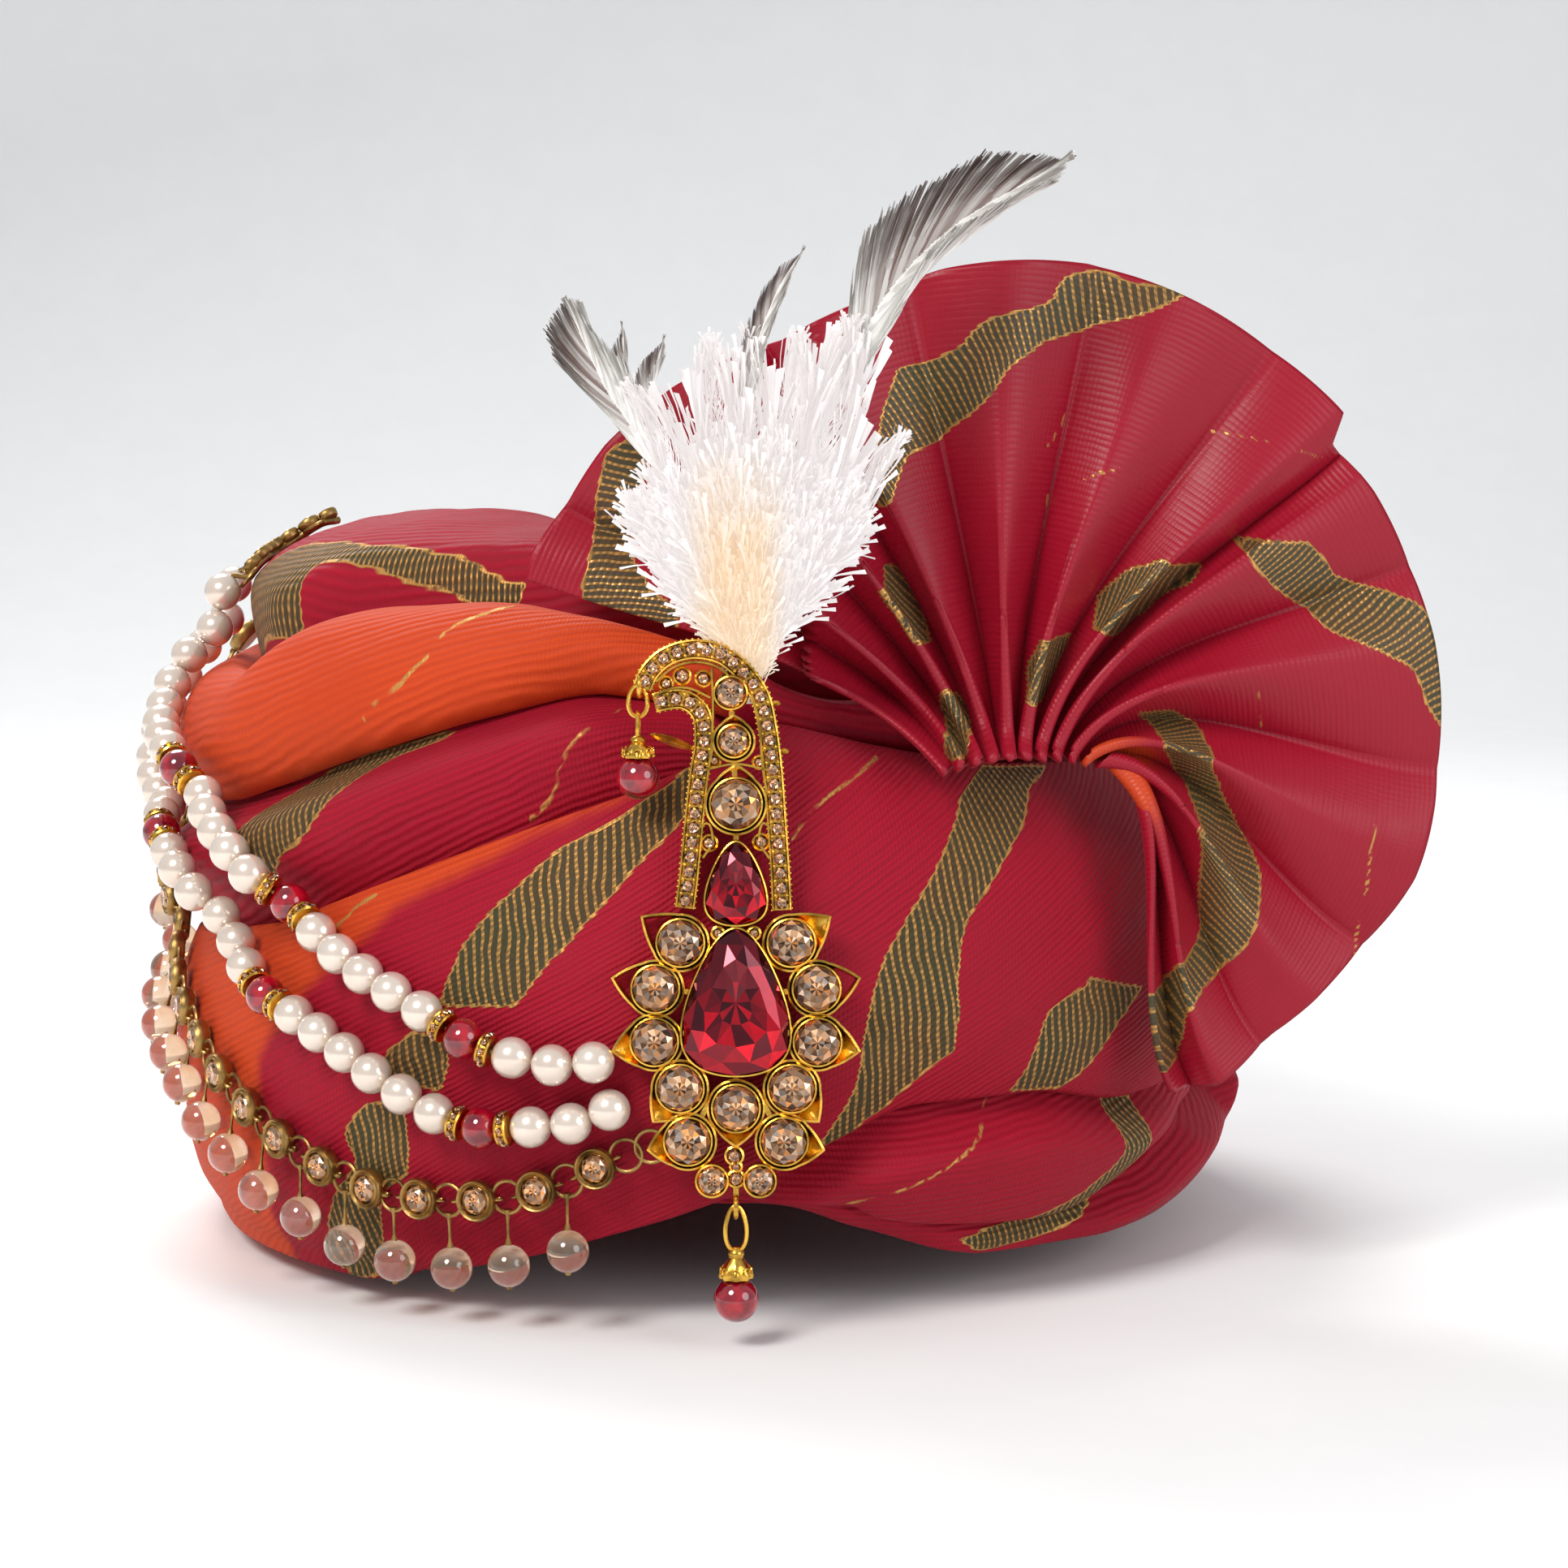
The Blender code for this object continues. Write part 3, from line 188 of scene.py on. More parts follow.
SWEEP_HALF_WIDTH, SWEEP_FRONT, SWEEP_BACK = 3.0, -1.6, 1.1
SWEEP_TURN, SWEEP_TOP = 0.7, 2.4
sweep_line = [(SWEEP_FRONT, 0.0)]
for step in range(13):
    turn = math.pi / 2 * step / 12
    sweep_line.append((SWEEP_BACK + SWEEP_TURN * math.sin(turn), SWEEP_TURN * (1 - math.cos(turn))))
sweep_line.append((SWEEP_BACK + SWEEP_TURN, SWEEP_TOP))
sweep = bpy.data.meshes.new("paper_sweep")
corners = [(side * SWEEP_HALF_WIDTH, back, FLOOR_HEIGHT + up) for back, up in sweep_line for side in (-1, 1)]
strips = [(2 * i, 2 * i + 1, 2 * i + 3, 2 * i + 2) for i in range(len(sweep_line) - 1)]
sweep.from_pydata(corners, [], strips)
sweep.shade_smooth()
sweep.materials.append(paper.material)
add_object("paper_sweep", sweep)


def soft_lamp(name, place, width, power, colour=(1, 1, 1)):
    lamp = add_object(name, bpy.data.lights.new(name, "AREA"))
    lamp.data.shape, lamp.data.size = "DISK", width
    lamp.data.energy, lamp.data.color = power, colour
    lamp.location = place
    lamp.rotation_euler = (LOOK_AT - Vector(place)).to_track_quat("-Z", "Y").to_euler()


soft_lamp("key_lamp", (-0.55, -0.95, 0.85), 0.55, 13.0, (1.0, 0.98, 0.95))
soft_lamp("fill_lamp", (0.95, -0.80, 0.35), 0.8, 5.0, (0.95, 0.97, 1.0))
soft_lamp("back_lamp", (-0.35, 0.75, 0.95), 0.7, 11.0)
bpy.context.scene.view_settings.view_transform = "Standard"
world = bpy.data.worlds.new("studio")
bpy.context.scene.world = world
world.use_nodes = True
backdrop = world.node_tree.nodes["Background"].inputs
backdrop["Color"].default_value, backdrop["Strength"].default_value = (0.93, 0.95, 1.0, 1.0), 0.55


# The bands of the sash
# A crinkled cotton, dyed crimson and orange, with wavy woven stripes of dark green under
# gold thread. It is wound in bands round a cap, each laid by its angle round the head from
# the front and by its climb from the rim up the cap's side, and turned under at its edges.

HEAD_WIDTH = 0.156
HEAD_LENGTH = 0.196
HEAD_DEPTH = 0.120
CAP_SIDE = 0.010
CAP_TOP = 0.006
CAP_ROUND = 0.6
HALF_WIDTH = HEAD_WIDTH / 2 + CAP_SIDE
HALF_LENGTH = HEAD_LENGTH / 2 + CAP_SIDE
CAP_HEIGHT = HEAD_DEPTH + CAP_TOP
DEGREE = 0.00205
RIB_PITCH = 0.00125

SASH_RISE = 0.026
BAND_PUFF = 0.0025
EDGE_ROLL = 0.0035
TUCK_DEPTH = 0.0100
TUCK_RUN = 0.011
LEAST_RISE = 0.0025
BAND_GAP = 0.0005
BAND_WALL = 0.0018
# How the edges of a band are turned under: how far in, and further at the rim
EDGE_STEPS = 6
EDGE_REACH, RIM_REACH, RIM_EASE = 0.0028, 0.0036, 0.004
EDGE_BULGE, EDGE_DROP = 0.0010, 0.0008
END_EASE = 12
FOLD_PITCH = 0.010

# How far the bands stand out from the cap, as shares of SASH_RISE: angle, flank, shoulder, crest
ENVELOPE = [
    (-180, 0.77, 0.92, 0.20), (-135, 0.96, 1.19, 0.35), (-90, 1.08, 1.50, 1.12),
    (-60, 1.00, 1.42, 1.12), (-30, 0.85, 1.23, 0.98), (0, 0.77, 0.92, 0.62),
    (30, 0.77, 0.69, 0.31), (60, 0.92, 0.69, 0.31), (90, 1.04, 0.69, 0.31),
    (135, 0.92, 0.77, 0.20), (180, 0.77, 0.92, 0.20),
]
ENVELOPE_CLIMBS = (0.0, 0.37, 0.92, 1.12)
CENTRE_RISE = 0.12
RIM_DRAW = 0.84


def eased(places, values, spots):
    """A smooth curve through values at places that never overshoots them. The values may
    have a row for each row of spots."""
    places = np.asarray(places, float)
    values = np.asarray(values, float)
    runs = np.diff(places)
    slopes = np.diff(values) / runs
    inner = slopes[..., 1:] * slopes[..., :-1]
    total = slopes[..., 1:] + slopes[..., :-1]
    bends = np.where(inner > 0, 2 * inner / np.where(total == 0, 1, total), 0.0)
    bends = np.concatenate([slopes[..., :1], bends, slopes[..., -1:]], -1)
    spots = np.clip(spots, places[0], places[-1])
    i = np.clip(np.searchsorted(places, spots) - 1, 0, len(runs) - 1)
    t = (spots - places[i]) / runs[i]
    if values.ndim == 1:
        start, end, leave, reach = values[i], values[i + 1], bends[i], bends[i + 1]
    else:
        start, end = np.take_along_axis(values, i, -1), np.take_along_axis(values, i + 1, -1)
        leave, reach = np.take_along_axis(bends, i, -1), np.take_along_axis(bends, i + 1, -1)
    return (
        start * (2 * t ** 3 - 3 * t ** 2 + 1) + leave * runs[i] * (t ** 3 - 2 * t ** 2 + t)
        + end * (3 * t ** 2 - 2 * t ** 3) + reach * runs[i] * (t ** 3 - t ** 2)
    )


def table_read(rows, column, angles):
    """One column of a table by its first. A table of the full turn reads on past its ends."""
    places = [row[0] for row in rows]
    values = [row[column] for row in rows]
    if places[-1] - places[0] == 360:
        places = [places[-2] - 360] + places + [places[1] + 360]
        values = [values[-2]] + values + [values[1]]
    return eased(places, values, angles)


def folded(angles):
    """The same angles between -180 and 180 degrees."""
    return (angles + 180) % 360 - 180


def smooth_step(value):
    """0 below 0 and 1 above 1, eased between."""
    value = np.clip(value, 0, 1)
    return value * value * (3 - 2 * value)


turns = np.linspace(0, math.pi / 2, 400)
steps = np.hypot(
    np.diff(np.cos(turns) ** CAP_ROUND) * (HALF_WIDTH + HALF_LENGTH) / 2,
    np.diff(np.sin(turns) ** CAP_ROUND) * CAP_HEIGHT,
)
CLIMBS = np.concatenate([[0.0], np.cumsum(steps)])
CAP_TOP_CLIMB = CLIMBS[-1]


def cap_surface(angles, climbs):
    """Points of the cap at angles in degrees and climbs in metres, and its normals there."""
    turn = np.interp(climbs, CLIMBS, turns)
    rho, rise = np.cos(turn) ** CAP_ROUND, np.sin(turn) ** CAP_ROUND
    side, front = np.sin(np.radians(angles)), -np.cos(np.radians(angles))
    points = np.stack([
        HALF_WIDTH * rho * side,
        HALF_LENGTH * rho * front,
        CAP_HEIGHT * rise + np.minimum(climbs, 0.0) - HEAD_DEPTH,
    ], -1)
    power = 2 / CAP_ROUND - 1
    normals = np.stack([
        rho ** power * side / HALF_WIDTH,
        rho ** power * front / HALF_LENGTH,
        rise ** power / CAP_HEIGHT,
    ], -1)
    return points, normals / np.linalg.norm(normals, axis=-1, keepdims=True)


def lifted(angles, climbs, heights):
    """Points at heights over the cap."""
    points, normals = cap_surface(angles, climbs)
    return points + normals * heights[..., None]


def envelope(angles, climbs):
    """How far the bands stand out: angles are a column, climbs a row for each of them."""
    columns = [table_read(ENVELOPE, i, folded(angles[:, 0])) for i in (1, 2, 3)]
    rises = np.stack([columns[0] * RIM_DRAW, *columns, np.full(len(angles), CENTRE_RISE)], -1)
    places = [share * HEAD_DEPTH for share in ENVELOPE_CLIMBS] + [CAP_TOP_CLIMB]
    return eased(places, rises * SASH_RISE, climbs)


NOISE_SIZE = 64


def value_noise(seed, across, along):
    """Smooth noise between -1 and 1 on a lattice that repeats after its size both ways."""
    size = NOISE_SIZE
    lattice = np.random.default_rng(seed).uniform(-1, 1, (size, size))
    across, along = np.broadcast_arrays(across, along)
    i, j = np.floor(across).astype(int), np.floor(along).astype(int)
    s, t = across - i, along - j
    s, t = s * s * (3 - 2 * s), t * t * (3 - 2 * t)
    low = lattice[i % size, j % size] * (1 - s) + lattice[(i + 1) % size, j % size] * s
    high = lattice[i % size, (j + 1) % size] * (1 - s) + lattice[(i + 1) % size, (j + 1) % size] * s
    return low * (1 - t) + high * t


def line_distance(points, line):
    """How far each point is from a line of straight runs."""
    best = np.full(len(points), np.inf)
    for start, end in zip(line, line[1:]):
        run = end - start
        share = np.clip(((points - start) @ run) / max(run @ run, 1e-12), 0, 1)
        best = np.minimum(best, np.linalg.norm(points - start - share[:, None] * run, axis=1))
    return best


def outline_depth(points, outline):
    """How deep each point lies in a closed outline: negative outside."""
    closed = np.concatenate([outline, outline[:1]])
    best = line_distance(points, closed)
    inside = np.zeros(len(points), bool)
    for start, run in zip(closed, np.diff(closed, axis=0)):
        end = start + run
        crosses = (start[1] > points[:, 1]) != (end[1] > points[:, 1])
        level = start[0] + (points[:, 1] - start[1]) * run[0] / (run[1] if run[1] else 1e-12)
        inside ^= crosses & (points[:, 0] < level)
    return np.where(inside, best, -best)


def wavy(points, seed, swing):
    """A line through a few points, smoothed, with the unevenness of a hand-dyed edge."""
    points = np.asarray(points, float)
    spots = np.linspace(0, len(points) - 1, (len(points) - 1) * 7 + 1)
    line = np.stack([eased(np.arange(len(points)), points[:, i], spots) for i in (0, 1)], -1)
    jitter = np.stack([value_noise(seed + k, spots * 2.3, 0.5 + k) for k in (0, 1)], -1)
    return line + jitter * swing


STRIPE_SWING = 0.0005
FAR = 0.060
NEAR = 0.012


def on_cloth(rows):
    """Angles and climb shares as metres on the cloth spread flat."""
    return np.array([(angle * DEGREE, climb * HEAD_DEPTH) for angle, climb in rows])


def stripe_depth(flat, outlines):
    """The depth in metres of each flat place in the nearest of the stripes, negative outside."""
    depth = np.full(len(flat), -FAR)
    for outline in outlines:
        near = np.all((flat > outline.min(0) - NEAR) & (flat < outline.max(0) + NEAR), axis=1)
        depth[near] = np.maximum(depth[near], outline_depth(flat[near], outline))
    return depth


def stripe_between(left, right, seed):
    """The outline of a stripe from its two long edges."""
    edges = [wavy(on_cloth(left), seed, STRIPE_SWING)]
    edges.append(wavy(on_cloth(right), seed + 2, STRIPE_SWING)[::-1])
    return np.concatenate(edges)


def slanting_stripe(angle, low, high, lean, width, seed):
    """A plain stripe for the sides and the back: it climbs from low to high and wanders."""
    rows = np.linspace(0, 1, 7)
    noise = [value_noise(seed + k, rows * 5, 0.3) for k in (0, 1)]
    middle = angle + lean * (rows - 0.5) + 2.6 * noise[0]
    wide = width * (0.75 + 0.45 * noise[1]) * (0.55 + 0.45 * np.sin(math.pi * rows))
    climbs = low + (high - low) * rows
    left, right = (list(zip(middle + side * wide / 2, climbs)) for side in (-1, 1))
    return stripe_between(left, right, seed)


def thread_distance(flat, lines, seed):
    """How far each flat place is from the nearest lone gold thread."""
    best = np.full(len(flat), FAR)
    for number, line in enumerate(lines):
        best = np.minimum(best, line_distance(flat, wavy(on_cloth(line), seed + 3 * number, STRIPE_SWING)))
    return best


def grid_mesh(name, points, flat, marks, turn_round, turn_across):
    """A smooth mesh from a grid of points, with flat places as its UV map and marks as its
    attributes. Where the grid closes on itself, flat has one more row or column."""
    rows, columns = points.shape[:2]
    last_row = rows if turn_round else rows - 1
    last_column = columns if turn_across else columns - 1
    i, j = np.meshgrid(np.arange(last_row), np.arange(last_column), indexing="ij")
    i, j = i.ravel(), j.ravel()
    k, m = (i + 1) % rows, (j + 1) % columns
    faces = np.stack([i * columns + j, k * columns + j, k * columns + m, i * columns + m], -1)
    mesh = bpy.data.meshes.new(name)
    mesh.from_pydata(points.reshape(-1, 3).tolist(), [], faces.tolist())
    layer = mesh.uv_layers.new(name="flat")
    wide = flat.shape[1]
    n, p = i + 1, j + 1
    corners = np.stack([i * wide + j, n * wide + j, n * wide + p, i * wide + p], -1)
    layer.data.foreach_set("uv", flat.reshape(-1, 2)[corners.ravel()].ravel())
    for key, values in marks.items():
        mesh.attributes.new(key, "FLOAT", "POINT").data.foreach_set("value", values.ravel())
    mesh.shade_smooth()
    return mesh


def face_out(mesh, merge=0.0):
    """Turn every face of a mesh outward, and close its seams within a distance."""
    bm = bmesh.new()
    bm.from_mesh(mesh)
    if merge:
        bmesh.ops.remove_doubles(bm, verts=bm.verts[:], dist=merge)
    bmesh.ops.recalc_face_normals(bm, faces=bm.faces[:])
    bm.to_mesh(mesh)
    bm.free()


class Band:
    """One wound band: its edges, the run of its ribs, its folds, and what lies over it."""

    def __init__(self, rows, seed, folds, lean, draw=((-180, 1.0), (180, 1.0))):
        self.rows, self.seed, self.folds, self.lean, self.draw = rows, seed, folds, lean, draw
        self.closed = rows[-1][0] - rows[0][0] == 360
        self.over = []
        self.under = []

    def spot(self, angles):
        spots = folded(angles)
        if self.closed:
            return spots
        return np.where(spots < self.rows[0][0] - 60, spots + 360, spots)

    def edges(self, angles):
        spots = self.spot(angles)
        return [table_read(self.rows, i, spots) * HEAD_DEPTH for i in (1, 2)]

    def cover(self, angles, climbs):
        """1 where this band lies over a place, falling to 0 a short way past its edges."""
        low, high = self.edges(angles)
        outside = np.maximum(np.maximum(low - climbs, climbs - high), 0.0)
        if not self.closed:
            spots = self.spot(angles)
            past = np.maximum(self.rows[0][0] - spots, spots - self.rows[-1][0])
            outside = outside + np.maximum(past, 0.0) * DEGREE
        return smooth_step(1 - outside / TUCK_RUN)

    def ribs(self, angles, climbs):
        """The distance across the ribs: the same along each of them. The table lean gives
        their slope up the cloth at each angle, and draw how closely they run."""
        fine = np.linspace(-180, 360, 541)
        low, high = self.edges(fine)
        middle = (low + high) / 2
        slope = table_read(self.lean, 1, folded(fine)) * DEGREE
        climb = np.concatenate([[0.0], np.cumsum((slope[1:] + slope[:-1]) / 2)])
        extra = climb[360] % RIB_PITCH
        climb -= extra * (fine + 180) / 360
        drawn = table_read(self.draw, 1, folded(fine))
        spots = np.broadcast_to(angles, climbs.shape)
        centre = np.interp(spots, fine, middle)
        return np.interp(spots, fine, drawn) * (climbs - centre) + centre - np.interp(spots, fine, climb)

    def creases(self, angles, climbs, shares):
        """Soft folds along the ribs, deeper where the cloth is drawn together."""
        deep = table_read(self.folds, 1, folded(angles))
        turn = angles / 360 * NOISE_SIZE
        across = self.ribs(angles, climbs) / FOLD_PITCH
        fold = 0.9 * value_noise(self.seed + 1, turn * 0.25, across * 0.62)
        fold = fold + 0.55 * value_noise(self.seed + 2, turn * 0.5, across * 1.5)
        fold = fold + 0.26 * value_noise(self.seed + 3, turn, across * 3.3)
        return deep * fold * (1 - 0.3 * np.abs(shares))

    def height(self, angles, climbs):
        low, high = self.edges(angles)
        shares = np.clip(2 * (climbs - low) / np.maximum(high - low, 1e-5) - 1, -1, 1)
        rise = envelope(angles, climbs) + BAND_PUFF * (1 - shares * shares)
        bend = np.maximum(0.0, (np.abs(shares) - 0.35) / 0.65)
        rise = rise - EDGE_ROLL * bend * bend + self.creases(angles, climbs, shares)
        for band in self.over:
            rise = rise - TUCK_DEPTH * band.cover(angles, climbs)
        rise = np.maximum(rise, LEAST_RISE)
        if self.closed:
            return rise
        spots = self.spot(angles)
        ends = np.minimum(spots - self.rows[0][0], self.rows[-1][0] - spots)
        return LEAST_RISE + (rise - LEAST_RISE) * smooth_step(ends / END_EASE)

    def top(self, angles, climbs):
        """The height of this band where it lies, and 0 elsewhere."""
        low, high = self.edges(angles)
        there = (climbs > low - 0.001) & (climbs < high + 0.001)
        if not self.closed:
            spots = self.spot(angles)
            there = there & (spots > self.rows[0][0]) & (spots < self.rows[-1][0])
        return np.where(there, self.height(angles, climbs), 0.0)

    def floor(self, angles, climbs):
        """The top of what lies beneath this band."""
        tops = [np.zeros_like(climbs)] + [band.top(angles, climbs) for band in self.under]
        return np.maximum.reduce(tops) + BAND_GAP

    def shell(self, name, columns, rows, colour_marks):
        """The band as a thin wall: its face, its two edges turned under, and its back."""
        first, last = self.rows[0][0], self.rows[-1][0]
        angles = np.linspace(first, last, columns + 1)[:, None]
        low, high = self.edges(angles)
        shares = np.sin(np.linspace(-1, 1, rows) * math.pi / 2)
        shares = (0.45 * shares + 0.55 * np.linspace(-1, 1, rows))[None, :]
        climbs = low + (high - low) * (shares + 1) / 2
        heights = self.height(angles, climbs)
        parts = []
        for side, column in ((-1, 0), (1, -1)):
            edge_climb, edge_height = climbs[:, column][:, None], heights[:, column][:, None]
            at_rim = np.clip(1 - (edge_climb - rim_climb(angles)) / RIM_EASE, 0, 1) if side < 0 else 0.0
            reach = EDGE_REACH + RIM_REACH * at_rim
            base = np.minimum(self.floor(angles, edge_climb - side * reach), edge_height - EDGE_DROP)
            t = np.linspace(0, 1, EDGE_STEPS + 1)[None, 1:]
            out = side * EDGE_BULGE * np.sin(math.pi * t)
            climb = edge_climb + out - side * reach * t ** 2
            height = edge_height + (base - edge_height) * np.sin(t * math.pi / 2)
            parts.append((climb, height) if side > 0 else (climb[:, ::-1], height[:, ::-1]))
        climbs = np.concatenate([parts[0][0], climbs, parts[1][0]], 1)
        heights = np.concatenate([parts[0][1], heights, parts[1][1]], 1)
        run, rise = np.gradient(climbs, axis=1), np.gradient(heights, axis=1)
        length = np.maximum(np.hypot(run, rise), 1e-9)
        kept = [*range(0, EDGE_STEPS, 2), *range(EDGE_STEPS, EDGE_STEPS + rows, 6)]
        picks = sorted({*kept, *(rows - 1 + EDGE_STEPS + k for k in (0, 3, 6))})

        def with_back(values, back=None):
            """A grid and its coarser copy for the back, from the last column to the first."""
            back = values if back is None else back
            return np.concatenate([values, back[:, picks][:, ::-1]], 1)

        along = np.broadcast_to(angles * DEGREE, climbs.shape)
        places = np.stack([along, climbs], -1).reshape(-1, 2)
        marks = {key: with_back(mark(places).reshape(climbs.shape)) for key, mark in colour_marks.items()}
        flat = with_back(np.stack([along, self.ribs(angles, climbs)], -1))
        flat = np.concatenate([flat, flat[:, :1]], 1)
        climbs, heights = (with_back(climbs, climbs + rise / length * BAND_WALL),
                           with_back(heights, heights - run / length * BAND_WALL))
        points = lifted(angles, climbs, heights)
        if self.closed:
            points = points[:-1]
            marks = {key: values[:-1] for key, values in marks.items()}
        mesh = grid_mesh(name, points, flat, marks, self.closed, True)
        if not self.closed:
            close_ends(mesh, points.shape)
        face_out(mesh)
        return mesh


def close_ends(mesh, shape):
    """Close both open ends of a shell of sections with a face each."""
    rows, columns = shape[:2]
    bm = bmesh.new()
    bm.from_mesh(mesh)
    bm.verts.ensure_lookup_table()
    for row in (0, rows - 1):
        bm.faces.new([bm.verts[row * columns + j] for j in range(columns)])
    bm.to_mesh(mesh)
    bm.free()


# The climb at which the cloth ends all round: angle, share of HEAD_DEPTH
RIM = [
    (-180, 0.03), (-135, 0.00), (-90, -0.01), (-57, -0.01), (-39, -0.01), (-30, 0.022),
    (-21, 0.058), (-10, 0.110), (0, 0.148), (8, 0.146), (19, 0.100), (33, 0.042),
    (44, 0.036), (64, 0.044), (83, 0.095), (120, 0.09), (180, 0.03),
]


def rim_climb(angles):
    return table_read(RIM, 1, folded(angles)) * HEAD_DEPTH


# The bands' lower and upper edges, as shares of HEAD_DEPTH: angle, lower, upper
FRONT_WRAP = [
    (-180, 0.10, 0.66), (-135, 0.02, 0.55), (-90, -0.01, 0.46), (-50, -0.01, 0.535),
    (-41, -0.01, 0.578), (-31, 0.020, 0.630), (-19, 0.066, 0.692), (-9, 0.115, 0.742),
    (-1, 0.155, 0.790), (9, 0.225, 0.850), (14, 0.264, 0.842), (23, 0.308, 0.822),
    (37, 0.305, 0.794), (52, 0.267, 0.778), (76, 0.275, 0.740), (110, 0.27, 0.72),
    (145, 0.20, 0.71), (180, 0.10, 0.66),
]
LOWER_WRAP_INNER = [
    (-8, 0.125, 0.26), (4, 0.160, 0.30), (15, 0.158, 0.36), (19, 0.131, 0.38),
    (28, 0.108, 0.39), (41, 0.094, 0.38), (50, 0.125, 0.36), (58, 0.169, 0.35),
    (68, 0.21, 0.35), (82, 0.22, 0.34),
]
LOWER_WRAP_OUTER = [
    (-4, 0.147, 0.20), (8, 0.146, 0.21), (19, 0.100, 0.19), (33, 0.042, 0.16),
    (44, 0.036, 0.16), (54, 0.038, 0.20), (64, 0.044, 0.27), (83, 0.095, 0.34),
    (120, 0.09, 0.34), (180, 0.03, 0.19), (212, 0.01, 0.12),
]
LEFT_WRAP_3 = [
    (-180, 0.60, 0.84), (-135, 0.50, 0.80), (-90, 0.40, 0.74), (-67, 0.42, 0.745),
    (-54, 0.45, 0.785), (-40, 0.50, 0.845), (-25, 0.57, 0.91), (-12, 0.66, 0.945),
    (0, 0.72, 0.925), (20, 0.78, 0.90), (45, 0.72, 0.88), (90, 0.66, 0.86),
    (135, 0.64, 0.86), (180, 0.60, 0.84),
]
LEFT_WRAP_2 = [
    (-180, 0.76, 0.98), (-135, 0.72, 0.94), (-90, 0.66, 0.84), (-67, 0.685, 0.840),
    (-54, 0.725, 0.920), (-40, 0.783, 0.958), (-25, 0.842, 0.980), (-12, 0.888, 0.965),
    (0, 0.880, 0.940), (20, 0.83, 0.90), (45, 0.82, 0.90), (90, 0.80, 0.92),
    (135, 0.79, 0.96), (180, 0.76, 0.98),
]
LEFT_WRAP_1 = [
    (-180, 0.90, 1.30), (-135, 0.86, 1.36), (-90, 0.78, 1.34), (-67, 0.785, 1.34),
    (-54, 0.84, 1.36), (-40, 0.895, 1.36), (-25, 0.94, 1.34), (-12, 0.955, 1.30),
    (0, 0.94, 1.26), (20, 0.915, 1.24), (45, 0.90, 1.24), (90, 0.89, 1.26),
    (135, 0.89, 1.30), (180, 0.90, 1.30),
]

# Folds: angle, depth in metres. Lean: angle, climb of the ribs for each metre round the head
FRONT_FOLDS = [(-180, 0.0009), (-70, 0.0007), (-30, 0.0009), (-8, 0.0012), (10, 0.0008),
               (35, 0.0005), (75, 0.0009), (180, 0.0009)]
FRONT_LEAN = [(-180, 0.0), (-110, 0.05), (-70, 0.22), (-40, 0.48), (-15, 0.52), (5, 0.50),
              (30, 0.50), (55, 0.40), (85, 0.05), (120, -0.15), (180, 0.0)]
FRONT_DRAW = [(-180, 1.0), (-90, 0.82), (-55, 0.86), (-10, 1.25), (20, 1.1), (90, 1.0), (180, 1.0)]
FRONT = Band(FRONT_WRAP, 11, FRONT_FOLDS, FRONT_LEAN, FRONT_DRAW)
LOWER_INNER = Band(LOWER_WRAP_INNER, 23, [(-180, 0.0006), (180, 0.0006)],
                   [(-180, 0.0), (-8, -0.02), (20, 0.04), (45, 0.12), (70, 0.2), (180, 0.0)])
LOWER_OUTER = Band(LOWER_WRAP_OUTER, 31, [(-180, 0.0007), (180, 0.0007)],
                   [(-180, -0.1), (0, -0.15), (25, -0.05), (45, 0.10), (70, 0.30), (100, 0.1), (180, -0.1)])
LEFT_3 = Band(LEFT_WRAP_3, 41, [(-180, 0.0008), (-60, 0.0008), (-20, 0.0013), (180, 0.0008)],
              [(-180, -0.1), (-110, -0.05), (-70, 0.12), (-40, 0.33), (-15, 0.34), (10, 0.1), (180, -0.1)],
              [(-180, 1.0), (-70, 0.85), (-12, 1.4), (40, 1.0), (180, 1.0)])
LEFT_2 = Band(LEFT_WRAP_2, 53, [(-180, 0.0006), (-60, 0.0006), (-20, 0.0010), (180, 0.0006)],
              [(-180, -0.05), (-100, -0.05), (-65, 0.14), (-40, 0.26), (-15, 0.20), (10, -0.1),
               (180, -0.05)],
              [(-180, 1.0), (-70, 0.8), (-12, 1.35), (40, 1.0), (180, 1.0)])
LEFT_1 = Band(LEFT_WRAP_1, 67, [(-180, 0.0010), (-60, 0.0008), (180, 0.0010)],
              [(-180, 0.0), (-90, 0.04), (-50, 0.16), (-20, 0.10), (30, -0.05), (180, 0.0)])
LOWER_INNER.over = LEFT_2.over = [FRONT]
LOWER_OUTER.over = [FRONT, LOWER_INNER]
LEFT_3.over = LEFT_1.over = [FRONT, LEFT_2]
LOWER_INNER.under = [LOWER_OUTER]
LEFT_2.under = [LEFT_3, LEFT_1]
FRONT.under = [LOWER_OUTER, LOWER_INNER, LEFT_3, LEFT_2, LEFT_1]
ALL_BANDS = [FRONT, LOWER_INNER, LOWER_OUTER, LEFT_3, LEFT_2, LEFT_1]

# The cloth's lit colours, then the same colours in shade: painted into the rib valleys as painted shade, and
# mixed in at broad random patches.
CRIMSON = (0.40, 0.0055, 0.024)
SHADED_CRIMSON = (0.17, 0.0015, 0.010)
ORANGE = (0.62, 0.066, 0.012)
SHADED_ORANGE = (0.36, 0.026, 0.006)
STRIPE_GREEN = (0.022, 0.046, 0.022)
STRIPE_BROWN = (0.095, 0.040, 0.016)
THREAD_GOLD = (0.52, 0.27, 0.075)


